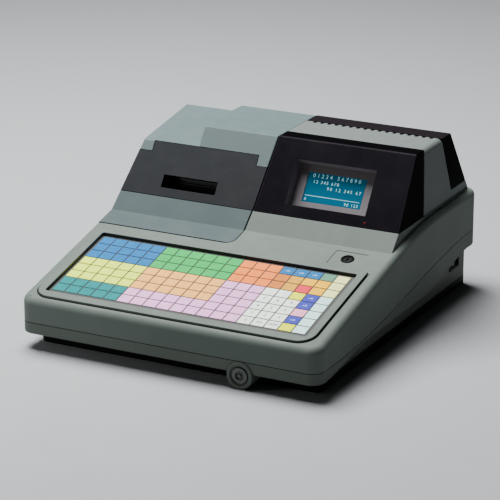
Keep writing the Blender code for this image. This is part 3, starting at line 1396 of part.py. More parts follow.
def cover_blank():
    """Outer body of the printer cover."""
    foot = [(depth, cover_foot(depth)) for depth in cover_foot_depths()]
    return roofed_body("printer_cover", foot, [0.0] * 5, 0.0, "case_grey")


def cover_room():
    """Room inside the printer cover, open below and under the lip."""
    low = CREASE_HEIGHT - LEDGE_HEIGHT / 4
    foot = [(POD_REAR_FOOT, low), (COVER_FRONT, low)]
    walls = [LIP_THICKNESS, FACE_WALL, COVER_WALL, COVER_WALL, -OVERRUN]
    return roofed_body("cover_room", foot, walls, COVER_WALL)


def window_outline():
    """Outline of the smoked window, in the plane of the display face: full width, notched at the top."""
    def left_at(up):
        foot = COVER_LEFT + POD_DRAFT * RISER_RISE
        return foot + (COVER_SHOULDER_X - foot) * up / SHOULDER_UP

    def right_at(up):
        return cover_right(face_point(up)[1])

    return [
        (left_at(WINDOW_FOOT), WINDOW_FOOT), (right_at(WINDOW_FOOT), WINDOW_FOOT),
        (right_at(WINDOW_NOTCH_UP), WINDOW_NOTCH_UP), (WINDOW_NOTCH_RIGHT, WINDOW_NOTCH_UP),
        (WINDOW_NOTCH_RIGHT, SHOULDER_UP), (WINDOW_NOTCH_LEFT, SHOULDER_UP),
        (WINDOW_NOTCH_LEFT, WINDOW_NOTCH_UP), (left_at(WINDOW_NOTCH_UP), WINDOW_NOTCH_UP),
    ]


def cover_knuckles():
    """Knuckles of the printer cover with arms from its rear wall."""
    knuckles = []
    for index, middle in enumerate(hinge_places()):
        eye = (HINGE_DEPTH, HINGE_HEIGHT)
        turns = [pi * step / KNUCKLE_STEPS - pi / 2 for step in range(KNUCKLE_STEPS + 1)]
        arc = [turn(angle, KNUCKLE_RADIUS, eye) for angle in turns]
        root = rear_depth(HINGE_HEIGHT) - COVER_WALL / 2
        outline = arc + [(root, HINGE_HEIGHT + KNUCKLE_RADIUS), (root, HINGE_HEIGHT - KNUCKLE_RADIUS)]
        left, right = middle - KNUCKLE_WIDTH / 2, middle + KNUCKLE_WIDTH / 2
        knuckles.append(across(outline, left, right, f"knuckle_{index}"))
    return knuckles


def printer_cover(face):
    """Lift-up cover of the printer: shell, raised block, window rebate and aperture, hinge knuckles."""
    cover = soften(cover_blank(), POD_BEVEL)
    cut(cover, cover_room())
    cut(cover, lip_corner("lip_corner", cover_right(0.0), COVER_FRONT, LIP_RADIUS, cover_foot(0.0), POD_HEIGHT))
    outline = window_outline()
    rebate = shift_outline(outline, [-GAP, -OVERRUN, -GAP, -GAP, -GAP, -GAP, -GAP, -OVERRUN])
    cut(cover, standing(rebate, -WINDOW_THICKNESS - GAP, OVERRUN, "window_rebate", face))
    rim = APERTURE_RIM
    aperture = rectangle(WINDOW_NOTCH_LEFT + rim, WINDOW_NOTCH_RIGHT - rim, rim, SHOULDER_UP - rim)
    cut(cover, standing(aperture, -FACE_WALL * 2, OVERRUN, "window_aperture", face))
    fuse(cover, *cover_knuckles())
    return cut(cover, *hinge_bores(KNUCKLE_WIDTH / 2 + EAR_WIDTH / 2))


def cover_window(face):
    """Smoked window with the receipt slot."""
    window = standing(window_outline(), -WINDOW_THICKNESS, 0.0, "cover_window", face, "smoked")
    slot = rectangle(PRINTER_X - SLOT_WIDTH / 2, PRINTER_X + SLOT_WIDTH / 2, SLOT_LOW, SLOT_LOW + SLOT_LENGTH)
    return cut(window, standing(slot, -WINDOW_THICKNESS - OVERRUN, OVERRUN, "receipt_slot", face))


def hinge_pins():
    """Pins of the two cover hinges."""
    half = KNUCKLE_WIDTH / 2 + GAP + EAR_WIDTH
    outline = circle(PIN_RADIUS, SMALL_SIDES, (HINGE_DEPTH, HINGE_HEIGHT))
    for hand, middle in zip(("left", "right"), hinge_places()):
        across(outline, middle - half, middle + half, f"hinge_pin_{hand}", "steel")


def gear_outline(teeth, phase):
    """Involute spur gear outline round (0, 0); phase turns the middle of the first tooth."""
    pitch_radius = GEAR_MODULE * teeth / 2
    base_radius = pitch_radius * cos(PRESSURE_ANGLE)
    tip_radius = pitch_radius + GEAR_ADDENDUM
    root_radius = pitch_radius - GEAR_DEDENDUM

    def involute(angle):
        return tan(angle) - angle

    half_pitch = pi / (2 * teeth) - GEAR_BACKLASH / 2 / (2 * pitch_radius)

    def half_angle(radius):
        pressure = acos(min(base_radius / radius, 1.0))
        return half_pitch + involute(PRESSURE_ANGLE) - involute(pressure)

    low = max(root_radius, base_radius)
    radii = [low + (tip_radius - low) * step / FLANK_STEPS for step in range(FLANK_STEPS + 1)]
    flank = [(radius, half_angle(radius)) for radius in radii]
    if root_radius < base_radius:
        flank.insert(0, (root_radius, half_angle(base_radius)))
    points = []
    for tooth in range(teeth):
        middle = phase + 2 * pi * tooth / teeth
        points += [turn(middle - half, radius) for radius, half in flank]
        points += [turn(middle + half, radius) for radius, half in reversed(flank)]
    return points


def gear(name, teeth, phase, centre, bore_radius, low_x, finish):
    """Spur gear on an axis along X."""
    outline = [(centre[0] + a, centre[1] + b) for a, b in gear_outline(teeth, phase)]
    made = across(outline, low_x, low_x + GEAR_WIDTH, name, finish)
    bore = across(circle(bore_radius, SMALL_SIDES, centre), low_x - OVERRUN, low_x + GEAR_WIDTH + OVERRUN,
                  f"{name}_bore")
    return cut(made, bore)


def gear_centres():
    """Centres (depth, z) of platen gear, idler and pinion."""
    platen = (PLATEN_DEPTH, PLATEN_HEIGHT)
    idler = turn(IDLER_BEARING, GEAR_MODULE * (PLATEN_TEETH + IDLER_TEETH) / 2, platen)
    pinion = turn(PINION_BEARING, GEAR_MODULE * (IDLER_TEETH + PINION_TEETH) / 2, idler)
    return platen, idler, pinion


def gear_phases():
    """Turn of each gear so that teeth meet gaps along each line of centres."""
    platen = IDLER_BEARING
    idler = IDLER_BEARING + pi + pi / IDLER_TEETH
    beyond = (PINION_BEARING - idler) / (2 * pi / IDLER_TEETH)
    pinion = PINION_BEARING + pi + pi / PINION_TEETH + (beyond - round(beyond)) * 2 * pi / PINION_TEETH
    return platen, idler, pinion


def plate_outline():
    """Side plate of the printer frame."""
    top = PLATEN_HEIGHT + PLATE_CHEEK
    return [
        (PRINTER_FRONT, PRINTER_BASE), (PRINTER_FRONT, PLATEN_HEIGHT - PLATE_CHEEK),
        (PRINTER_FRONT + PLATE_CHEEK, top), (PLATEN_DEPTH + PLATE_CHEEK, top),
        (PRINTER_REAR, PRINTER_BASE + PLATE_BACK_HEIGHT), (PRINTER_REAR, PRINTER_BASE),
    ]


def printer_frame():
    """Folded steel frame of the printer with the holes for shafts and motor."""
    left, right = PRINTER_X - PRINTER_HALF_WIDTH, PRINTER_X + PRINTER_HALF_WIDTH
    frame = across(plate_outline(), left, right, "printer_frame", "dark_steel")
    high = PLATEN_HEIGHT + PLATE_CHEEK * 2
    room = rectangle(PRINTER_FRONT - OVERRUN, PRINTER_REAR + OVERRUN, PRINTER_BASE + PRINTER_PLATE, high)
    cut(frame, across(room, left + PRINTER_PLATE, right - PRINTER_PLATE, "printer_room"))
    platen, idler, pinion = gear_centres()
    bore = circle(SHAFT_RADIUS + GAP, SMALL_SIDES, platen)
    shaft = across(bore, left - OVERRUN, right + OVERRUN, "shaft_bores")
    small_bores = ((IDLER_PIN_RADIUS, idler, "idler_hole"), (MOTOR_SHAFT_RADIUS, pinion, "motor_hole"))
    end = left + PRINTER_PLATE + OVERRUN
    holes = [
        across(circle(radius + GAP, SMALL_SIDES, centre), left - OVERRUN, end, name)
        for radius, centre, name in small_bores
    ]
    return cut(frame, shaft, *holes)


def printer_stand():
    """Bridge of bent steel that lifts the printer from the pan."""
    left, right = PRINTER_X - PRINTER_HALF_WIDTH, PRINTER_X + PRINTER_HALF_WIDTH
    low, top = PAN_TOP + GAP, PRINTER_BASE - GAP
    outline = [
        (left - STAND_FLANGE, low), (left + STAND_PLATE, low), (left + STAND_PLATE, top - STAND_PLATE),
        (right - STAND_PLATE, top - STAND_PLATE), (right - STAND_PLATE, low), (right + STAND_FLANGE, low),
        (right + STAND_FLANGE, low + STAND_PLATE), (right, low + STAND_PLATE), (right, top), (left, top),
        (left, low + STAND_PLATE), (left - STAND_FLANGE, low + STAND_PLATE),
    ]
    return endways(outline, PRINTER_FRONT - STAND_OVERHANG, PRINTER_REAR, "printer_stand", "steel")


def gear_left_x():
    """Left face of the gears, which stand outside the left plate."""
    return PRINTER_X - PRINTER_HALF_WIDTH - GEAR_STANDOFF - GEAR_WIDTH


def platen_parts():
    """Rubber platen on its shaft, with the drive gear."""
    centre = (PLATEN_DEPTH, PLATEN_HEIGHT)
    middle, left_x = PRINTER_X, gear_left_x()
    profile = [(SHAFT_RADIUS + GAP, middle - PLATEN_HALF_LENGTH), (PLATEN_RADIUS, middle - PLATEN_HALF_LENGTH),
               (PLATEN_RADIUS, middle + PLATEN_HALF_LENGTH), (SHAFT_RADIUS + GAP, middle + PLATEN_HALF_LENGTH)]
    roller = ring_body("platen_roller", profile, ROUND_SIDES, turned_x(centre), "rubber")
    shaft = across(circle(SHAFT_RADIUS, SMALL_SIDES, centre), left_x - SHAFT_END,
                   middle + PRINTER_HALF_WIDTH + SHAFT_END, "platen_shaft", "steel")
    wheel = gear("platen_gear", PLATEN_TEETH, gear_phases()[0], centre, SHAFT_RADIUS + GAP, left_x, "nylon")
    hang("platen_axis", place(middle, *centre), roller, shaft, wheel)
    return roller, shaft, wheel


def idler_parts():
    """Idler gear on a pin that the left plate holds."""
    centre, left_x = gear_centres()[1], gear_left_x()
    wheel = gear("idler_gear", IDLER_TEETH, gear_phases()[1], centre, IDLER_PIN_RADIUS + GAP, left_x, "nylon")
    hang("idler_axis", place(left_x, *centre), wheel)
    inside = PRINTER_X - PRINTER_HALF_WIDTH + PRINTER_PLATE
    head = left_x - GAP
    rings = [(head - IDLER_PIN_HEAD_WIDTH, IDLER_PIN_HEAD), (head, IDLER_PIN_HEAD), (head, IDLER_PIN_RADIUS),
             (inside, IDLER_PIN_RADIUS)]
    loops = [[place(x, *point) for point in circle(radius, SMALL_SIDES, centre)] for x, radius in rings]
    return wheel, loft("idler_pin", loops, "steel")


def motor_parts():
    """Feed motor inside the frame and its pinion outside the left plate."""
    centre, left_x = gear_centres()[2], gear_left_x()
    face = PRINTER_X - PRINTER_HALF_WIDTH + PRINTER_PLATE + GAP
    drum = circle(MOTOR_RADIUS, ROUND_SIDES, centre)
    motor = across(drum, face, face + MOTOR_LENGTH, "feed_motor", "dark_steel")
    bore = MOTOR_SHAFT_RADIUS + GAP
    pinion = gear("motor_pinion", PINION_TEETH, gear_phases()[2], centre, bore, left_x, "brass")
    shaft = across(circle(MOTOR_SHAFT_RADIUS, SMALL_SIDES, centre), left_x - SHAFT_END / 2, face - GAP,
                   "motor_shaft", "steel")
    hang("pinion_axis", place(left_x, *centre), pinion, shaft)
    return motor, pinion, shaft


def thermal_head():
    """Finned head in front of the platen, held between the side plates."""
    middle = PRINTER_X
    rear = PLATEN_DEPTH - PLATEN_RADIUS - GAP
    low, high = PLATEN_HEIGHT - HEAD_BELOW, PLATEN_HEIGHT + HEAD_ABOVE
    head = across(rectangle(rear - HEAD_THICKNESS, rear, low, high), middle - HEAD_HALF_LENGTH,
                  middle + HEAD_HALF_LENGTH, "thermal_head", "aluminium")
    pitch = (high - low - HEAD_FIN_WIDTH) / (HEAD_FIN_COUNT - 1)
    for index in range(HEAD_FIN_COUNT):
        z = low + index * pitch
        fin = rectangle(rear - HEAD_THICKNESS - HEAD_FIN_DEPTH, rear - HEAD_THICKNESS / 2, z, z + HEAD_FIN_WIDTH)
        inset = HEAD_FIN_WIDTH / 2
        fuse(head, across(fin, middle - HEAD_HALF_LENGTH + inset, middle + HEAD_HALF_LENGTH - inset,
                          f"head_fin_{index}"))
    reach = PRINTER_HALF_WIDTH - PRINTER_PLATE - GAP
    bar = rectangle(rear - HEAD_THICKNESS * 2, rear - HEAD_THICKNESS / 2, low + HEAD_FIN_WIDTH / 2,
                    low + HEAD_THICKNESS + HEAD_FIN_WIDTH / 2)
    return fuse(head, across(bar, middle - reach, middle + reach, "head_bar"))


def tear_bar():
    """Toothed bar above the head, between the side plates."""
    reach = PRINTER_HALF_WIDTH - PRINTER_PLATE - GAP
    low = PLATEN_HEIGHT + HEAD_ABOVE + GAP
    high = low + TEAR_HEIGHT
    count = int(2 * reach / TEAR_TOOTH_PITCH)
    pitch = 2 * reach / count
    left = PRINTER_X - reach
    points = [(left + 2 * reach, low), (left, low)]
    for index in range(count):
        points.append((left + index * pitch, high))
        points.append((left + (index + 1 / 2) * pitch, high + TEAR_TOOTH_HEIGHT))
    points.append((left + 2 * reach, high))
    rear = PLATEN_DEPTH - PLATEN_RADIUS - GAP
    return endways(points, rear - TEAR_THICKNESS, rear, "tear_bar", "steel")


def roll_parts():
    """Paper roll on its spindle, and the cradle that carries the spindle."""
    centre, middle = (ROLL_DEPTH, ROLL_HEIGHT), PRINTER_X
    profile = [(ROLL_CORE_RADIUS, middle - ROLL_HALF_WIDTH), (ROLL_RADIUS, middle - ROLL_HALF_WIDTH),
               (ROLL_RADIUS, middle + ROLL_HALF_WIDTH), (ROLL_CORE_RADIUS, middle + ROLL_HALF_WIDTH)]
    roll = ring_body("paper_roll", profile, FINE_SIDES, turned_x(centre), "paper")
    inside = ROLL_HALF_WIDTH + GAP * 3
    outside = inside + CRADLE_PLATE
    core = ROLL_CORE_RADIUS - GAP
    thin, wide, end = SPINDLE_RADIUS, ROLL_HALF_WIDTH, outside + SPINDLE_END
    steps = ((-end, thin), (-wide, thin), (-wide, core), (wide, core), (wide, thin), (end, thin))
    loops = [[place(middle + x, *p) for p in circle(radius, ROUND_SIDES, centre)] for x, radius in steps]
    spindle = loft("roll_spindle", loops, "nylon")
    hang("roll_axis", place(middle, *centre), roll, spindle)
    low, high = PAN_TOP + GAP, ROLL_HEIGHT + CRADLE_TOP
    half = CRADLE_HALF_LENGTH
    cheek = [(ROLL_DEPTH - half, low), (ROLL_DEPTH + half, low), (ROLL_DEPTH + half / 2, high),
             (ROLL_DEPTH - half / 2, high)]
    cradle = across(cheek, middle - outside, middle + outside, "roll_cradle", "base_black")
    reach = half + OVERRUN
    room = rectangle(ROLL_DEPTH - reach, ROLL_DEPTH + reach, low + CRADLE_PLATE, high + OVERRUN)
    cut(cradle, across(room, middle - inside, middle + inside, "cradle_room"))
    bore = across(circle(SPINDLE_RADIUS + GAP, ROUND_SIDES, centre), middle - outside - OVERRUN,
                  middle + outside + OVERRUN, "cradle_bores")
    return roll, spindle, cut(cradle, bore)


def switch_box(low, high, grow, name, finish=None):
    """Block along X at the power switch, between two distances from the waist wall's outer face."""
    wall_x = HALF_WIDTH - WAIST_SIDE_SET_IN
    half, tall = SWITCH_LENGTH / 2 + grow, SWITCH_FACE_HEIGHT / 2 + grow
    outline = rectangle(SWITCH_DEPTH - half, SWITCH_DEPTH + half, SWITCH_HEIGHT - tall, SWITCH_HEIGHT + tall)
    return across(outline, wall_x + low, wall_x + high, name, finish)


def power_switch():
    """Switch body with a rim on the wall's outer face, and the rocker in its well."""
    wall_x = HALF_WIDTH - WAIST_SIDE_SET_IN
    body = switch_box(GAP, SWITCH_FLANGE, 0.0, "switch_body", "base_black")
    fuse(body, switch_box(-SWITCH_BODY_DEPTH, SWITCH_FLANGE / 2, -SWITCH_RIM, "switch_barrel"))
    well_half = SWITCH_LENGTH / 2 - SWITCH_RIM * 2
    well_tall = SWITCH_FACE_HEIGHT / 2 - SWITCH_RIM * 2
    well = rectangle(SWITCH_DEPTH - well_half, SWITCH_DEPTH + well_half, SWITCH_HEIGHT - well_tall,
                     SWITCH_HEIGHT + well_tall)
    cut(body, across(well, wall_x - SWITCH_WELL, wall_x + OVERRUN, "switch_well"))
    pivot_x = wall_x - SWITCH_WELL / 2
    reach = well_half - GAP * 2
    face = wall_x + SWITCH_FLANGE + ROCKER_PROUD - pivot_x
    edge = sqrt(reach ** 2 - (face / 2) ** 2)
    outline = [(-edge, face / 2), (-edge, 0.0), (-ROCKER_BELLY, -ROCKER_BELLY), (ROCKER_BELLY, -ROCKER_BELLY),
               (edge, 0.0), (edge, face / 2), (0.0, face - ROCKER_PROUD)]
    tilted = []
    for along, out in outline:
        a = along * cos(ROCKER_TILT) + out * sin(ROCKER_TILT)
        b = out * cos(ROCKER_TILT) - along * sin(ROCKER_TILT)
        tilted.append((pivot_x + b, SWITCH_DEPTH + a))
    tall = well_tall - GAP
    rocker = upright(tilted, SWITCH_HEIGHT - tall, SWITCH_HEIGHT + tall, "power_rocker", "gloss_black")
    hang("rocker_axis", place(pivot_x, SWITCH_DEPTH, SWITCH_HEIGHT), rocker)
    return body, rocker


def power_inlet():
    """Recessed power inlet with three pins, its flange inside the rear wall."""
    inside = CASE_DEPTH - WALL
    inlet = endways(inlet_outline(), inside - INLET_BODY, CASE_DEPTH - GAP, "power_inlet", "base_black")
    fuse(inlet, endways(inlet_outline(INLET_FLANGE), inside - WALL - GAP, inside - GAP, "inlet_flange"))
    floor = inside - INLET_BODY + WALL
    cut(inlet, endways(inlet_outline(-INLET_WALL), floor, CASE_DEPTH + OVERRUN, "inlet_well"))
    for index in (-1, 0, 1):
        half, tall = INLET_PIN_THICKNESS / 2, INLET_PIN_WIDTH / 2
        x, z = INLET_X + index * INLET_PIN_PITCH, INLET_HEIGHT + (tall if index == 0 else -tall) / 2
        blade = endways(rectangle(x - half, x + half, z - tall, z + tall), inside - INLET_BODY + WALL / 2,
                        CASE_DEPTH - WALL, f"inlet_blade_{index}")
        fuse(inlet, blade)
    return inlet


def rear_ports():
    """Row of sockets on one strip inside the rear wall."""
    inside = CASE_DEPTH - WALL - GAP
    outlines = port_outlines()
    low_x, high_x = outlines[0][0][0] - PORT_WALL * 3, outlines[-1][1][0] + PORT_WALL * 3
    low, high = INLET_HEIGHT - PORT_STRIP_HALF_HEIGHT, INLET_HEIGHT + PORT_STRIP_HALF_HEIGHT
    face = rectangle(low_x, high_x, low, high)
    strip = endways(face, inside - PORT_BODY, inside, "rear_ports", "base_black")
    for index, outline in enumerate(outlines):
        fuse(strip, endways(outline, inside - PORT_WALL, CASE_DEPTH - GAP, f"port_nose_{index}"))
        hollow = shift_outline(outline, [PORT_WALL] * 4)
        cut(strip, endways(hollow, CASE_DEPTH - PORT_SINK, CASE_DEPTH + OVERRUN, f"port_hollow_{index}"))
    return strip


def main_board():
    """Main circuit board on four posts, with its larger chips."""
    low = PAN_TOP + GAP + BOARD_STANDOFF
    board = upright(rectangle(BOARD_LEFT, BOARD_RIGHT, BOARD_FRONT, BOARD_REAR), low, low + BOARD_THICKNESS,
                    "main_board", "board_green")
    for side, x in enumerate((BOARD_LEFT + POST_INSET, BOARD_RIGHT - POST_INSET)):
        for end, depth in enumerate((BOARD_FRONT + POST_INSET, BOARD_REAR - POST_INSET)):
            fuse(board, upright(circle(POST_RADIUS, SMALL_SIDES, (x, depth)), PAN_TOP + GAP,
                                low + BOARD_THICKNESS / 2, f"post_{side}_{end}"))
    middle_x, middle = (BOARD_LEFT + BOARD_RIGHT) / 2, (BOARD_FRONT + BOARD_REAR) / 2
    for index in (-1, 0, 1):
        depth = middle + index * CHIP_SIZE * 2
        half = CHIP_SIZE / 2
        chip = rectangle(middle_x - half, middle_x + half, depth - half, depth + half)
        top = low + BOARD_THICKNESS + CHIP_HEIGHT
        fuse(board, upright(chip, low + BOARD_THICKNESS / 2, top, f"chip_{index}"))
    return board


def power_supply():
    """Screened power supply on the pan, with air slots in its top."""
    low = PAN_TOP + GAP
    top = low + SUPPLY_HEIGHT
    outline = rectangle(SUPPLY_LEFT, SUPPLY_RIGHT, SUPPLY_FRONT, SUPPLY_REAR)
    supply = soften(upright(outline, low, top, "power_supply", "steel"), SUPPLY_BEVEL, 1)
    inner = shift_outline(outline, [SUPPLY_WALL] * len(outline))
    room = upright(inner, low + SUPPLY_WALL, top - SUPPLY_WALL, "supply_room")
    slots = []
    count = int((SUPPLY_REAR - SUPPLY_FRONT - SUPPLY_VENT_MARGIN * 2) / SUPPLY_VENT_PITCH)
    for index in range(count):
        front = SUPPLY_FRONT + SUPPLY_VENT_MARGIN + index * SUPPLY_VENT_PITCH
        slot = rectangle(SUPPLY_LEFT + SUPPLY_VENT_MARGIN, SUPPLY_RIGHT - SUPPLY_VENT_MARGIN, front,
                         front + SUPPLY_VENT_WIDTH)
        slots.append(upright(slot, top - SUPPLY_WALL - OVERRUN, top + OVERRUN, f"supply_vent_{index}"))
    return cut(supply, room, *slots)


def build():
    """Model every piece of the till."""
    for old in list(bpy.data.objects):
        bpy.data.objects.remove(old, do_unlink=True)
    deck = guide("deck_plane", place(0.0, 0.0, FRONT_HEIGHT), DECK_SLOPE)
    lock = guide("lock_axis", Vector((LOCK_X, LOCK_DEPTH, 0.0)), parent=deck)
    face = guide("face_plane", place(0.0, RISER_TOP_DEPTH, RISER_TOP_HEIGHT), FACE_SLOPE)
    rear_slope = atan2(-(POD_HEIGHT - RISER_TOP_HEIGHT), POD_REAR_FOOT - POD_REAR_TOP)
    rear = guide("rear_plane", place(0.0, POD_REAR_TOP, POD_HEIGHT), rear_slope)
    upper_case(deck, lock)
    lower_case()
    base_pan()
    feet()
    keyboard_overlay(deck)
    keyboard_stack(deck)
    lock_parts(lock)
    reader_parts()
    display_frame(face)
    operator_display(face)
    display_housing()
    rear_cover(rear)
    customer_display(rear)
    cover = printer_cover(face)
    hinge = place(SEAM_X, HINGE_DEPTH, HINGE_HEIGHT)
    cover_axis = hang("cover_axis", hinge, cover)
    cover_window(guide("cover_face_plane", face.location - hinge, FACE_SLOPE, cover_axis))
    hinge_pins()
    printer_stand()
    printer_frame()
    platen_parts()
    idler_parts()
    motor_parts()
    thermal_head()
    tear_bar()
    roll_parts()
    power_switch()
    power_inlet()
    rear_ports()
    main_board()
    power_supply()


build()
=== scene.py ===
"""Looks of an electronic till: moulded case, printed membrane keyboard, smoked printer cover, display pod.

Every new piece is modelled in place on the frame of the CAD part and rides on one of its bodies.
Lengths are in metres. A depth is measured from the front of the case towards its rear.
"""

import json
import logging
from collections.abc import Callable, Iterable, Sequence
from dataclasses import dataclass, field
from enum import Enum
from math import atan2, cos, hypot, pi, radians, sin, sqrt, tan

import bpy
from mathutils import Matrix, Vector


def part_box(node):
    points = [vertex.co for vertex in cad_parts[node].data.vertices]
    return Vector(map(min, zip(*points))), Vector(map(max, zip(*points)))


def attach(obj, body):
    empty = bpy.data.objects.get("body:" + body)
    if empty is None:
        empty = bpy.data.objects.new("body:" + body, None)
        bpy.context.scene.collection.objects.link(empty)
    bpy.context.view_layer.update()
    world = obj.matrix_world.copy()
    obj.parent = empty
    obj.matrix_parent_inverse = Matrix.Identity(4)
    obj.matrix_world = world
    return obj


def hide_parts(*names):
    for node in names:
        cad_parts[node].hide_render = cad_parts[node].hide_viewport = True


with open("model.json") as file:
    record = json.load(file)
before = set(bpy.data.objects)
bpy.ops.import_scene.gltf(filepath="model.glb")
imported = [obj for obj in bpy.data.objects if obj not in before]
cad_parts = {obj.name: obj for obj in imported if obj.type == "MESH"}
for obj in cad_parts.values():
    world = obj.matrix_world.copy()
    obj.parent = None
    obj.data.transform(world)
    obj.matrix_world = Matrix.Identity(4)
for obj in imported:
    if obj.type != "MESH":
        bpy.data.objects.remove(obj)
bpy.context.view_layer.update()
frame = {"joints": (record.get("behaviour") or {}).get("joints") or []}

MM = 0.001
CLOSE = 0.05 * MM  # how near two places count as one
WELD = CLOSE / 10  # how near corners are merged
GAP = 0.3 * MM  # clearance between mouldings
OVERRUN = 2.0 * MM  # how far a cutting tool reaches past the wall it opens
SHARP = radians(60)  # fold from which an edge counts as a rim
FIGURE_WEIGHT = 0.006  # how much bolder the figures are than their type, as a share of its size

Point = tuple[float, float]
Box = tuple[Point, Point]
Triple = tuple[float, float, float]
Piece = bpy.types.Object
Tree = bpy.types.NodeTree
Node = bpy.types.Node
Socket = bpy.types.NodeSocket
Value = Socket | float
log = logging.getLogger("till")


class Body(Enum):
    """Bodies of the frame that pieces ride on."""

    TILL = "till"
    COVER = "cover"
    LOCK = "lock"
    ROCKER = "rocker"
    PLATEN = "platen"
    IDLER = "idler"
    PINION = "pinion"
    ROLL = "roll"


class Pattern(Enum):
    """How a finish varies over its surface."""

    MOULDED = "moulded"
    BRUSHED = "brushed"
    FIBROUS = "fibrous"
    ETCHED = "etched"


@dataclass(frozen=True)
class Seat:
    """A flat place to draw on: an origin, a direction across and a direction up."""

    origin: Vector
    across: Vector
    up: Vector

    @property
    def out(self) -> Vector:
        """Direction out of the drawing."""
        return self.across.cross(self.up)

    def at(self, a: float, b: float, n: float = 0.0) -> Vector:
        """Point of the till at a place of the drawing and a height above it."""
        return self.origin + self.across * a + self.up * b + self.out * n

    def find(self, point: Vector) -> Triple:
        """Place of a point in the drawing: across, up and out of it."""
        away = point - self.origin
        return away.dot(self.across), away.dot(self.up), away.dot(self.out)

    def moved(self, a: float, b: float, n: float = 0.0) -> "Seat":
        """The same seat with its origin at another place of the drawing."""
        return Seat(self.at(a, b, n), self.across, self.up)

    def matrix(self) -> Matrix:
        """Transform that lays a piece made at the world's origin on this seat."""
        turn = Matrix((self.across, self.up, self.out)).transposed()
        return Matrix.Translation(self.origin) @ turn.to_4x4()


def smooth_step(share: float) -> float:
    """Ease from 0 to 1 with level ends."""
    share = min(max(share, 0.0), 1.0)
    return share * share * (3 - 2 * share)


def on_circle(angle: float, radius: float, centre: Point = (0.0, 0.0)) -> Point:
    """Point of a circle."""
    return centre[0] + radius * cos(angle), centre[1] + radius * sin(angle)


def circle(radius: float, sides: int, centre: Point = (0.0, 0.0)) -> list[Point]:
    """Closed round outline."""
    return [on_circle(2 * pi * side / sides, radius, centre) for side in range(sides)]


def centred(half_a: float, half_b: float, middle: Point = (0.0, 0.0)) -> Box:
    """Limits of a box about its middle."""
    return (middle[0] - half_a, middle[0] + half_a), (middle[1] - half_b, middle[1] + half_b)


def grown(box: Box, by: float) -> Box:
    """Limits of a box moved out by a distance on each side."""
    return (box[0][0] - by, box[0][1] + by), (box[1][0] - by, box[1][1] + by)


def holds(box: Box, place: Sequence[float]) -> bool:
    """Tell whether a place of a drawing lies in a box."""
    return all(low < value < high for value, (low, high) in zip(place, box))


def rectangle(box: Box) -> list[Point]:
    """Closed square-cornered outline."""
    (low_a, high_a), (low_b, high_b) = box
    return [(low_a, low_b), (high_a, low_b), (high_a, high_b), (low_a, high_b)]


def rounded(box: Box, radii: float | Sequence[float], steps: int = 8) -> list[Point]:
    """Rectangle with round corners.

    Args:
        box: limits across and limits up.
        radii: radius of all corners, or of each from the low one round.
        steps: chords of each corner.

    Returns:
        Points of the closed outline.
    """
    if isinstance(radii, float):
        radii = [radii] * 4
    ways = ((1, 1), (-1, 1), (-1, -1), (1, -1))
    points = []
    for index, ((a, b), way, radius) in enumerate(zip(rectangle(box), ways, radii)):
        centre = (a + way[0] * radius, b + way[1] * radius)
        begin = pi + index * pi / 2
        points += [on_circle(begin + pi / 2 * step / steps, radius, centre) for step in range(steps + 1)]
    return points


def middle_of(node: str) -> Vector:
    """Middle of a CAD node's box."""
    low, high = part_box(node)
    return Vector(((low.x + high.x) / 2, (low.y + high.y) / 2, (low.z + high.z) / 2))


@dataclass(frozen=True)
class EdgeView:
    """An edge as it is judged when edges are chosen."""

    a: Vector
    b: Vector
    normals: tuple[Vector, ...]

    @property
    def middle(self) -> Vector:
        """Middle of the edge."""
        return (self.a + self.b) / 2

    @property
    def fold(self) -> float:
        """Angle between the two faces of the edge."""
        return self.normals[0].angle(self.normals[1], 0.0) if len(self.normals) == 2 else 0.0

    def runs(self, way: Vector) -> bool:
        """Tell whether the edge runs along a direction."""
        line = self.b - self.a
        return line.length > 0 and abs(line.normalized().dot(way)) > 0.999


EdgeTest = Callable[[EdgeView], bool]
X_WAY, Y_WAY, Z_WAY = Vector((1.0, 0.0, 0.0)), Vector((0.0, 1.0, 0.0)), Vector((0.0, 0.0, 1.0))


def rim_test(seat: Seat, box: Box, low: float, high: float) -> EdgeTest:
    """Choice of the sharp edges that lie in a box of a drawing, between two heights above it.

    Args:
        seat: seat of the drawing.
        box: limits across and limits up.
        low: lower height.
        high: upper height.

    Returns:
        The test for an edge.
    """

    def test(edge: EdgeView) -> bool:
        """Tell whether an edge is one of them."""
        ends = [] if edge.fold < SHARP else [seat.find(edge.a), seat.find(edge.b)]
        return bool(ends) and all(holds(box, end) and low <= end[2] <= high for end in ends)

    return test


def axle_seat(node: str) -> Seat:
    """Seat at the left end of a round node whose axis runs across the till."""
    middle = middle_of(node)
    return Seat(Vector((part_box(node)[0].x, middle.y, middle.z)), Y_WAY, Z_WAY)


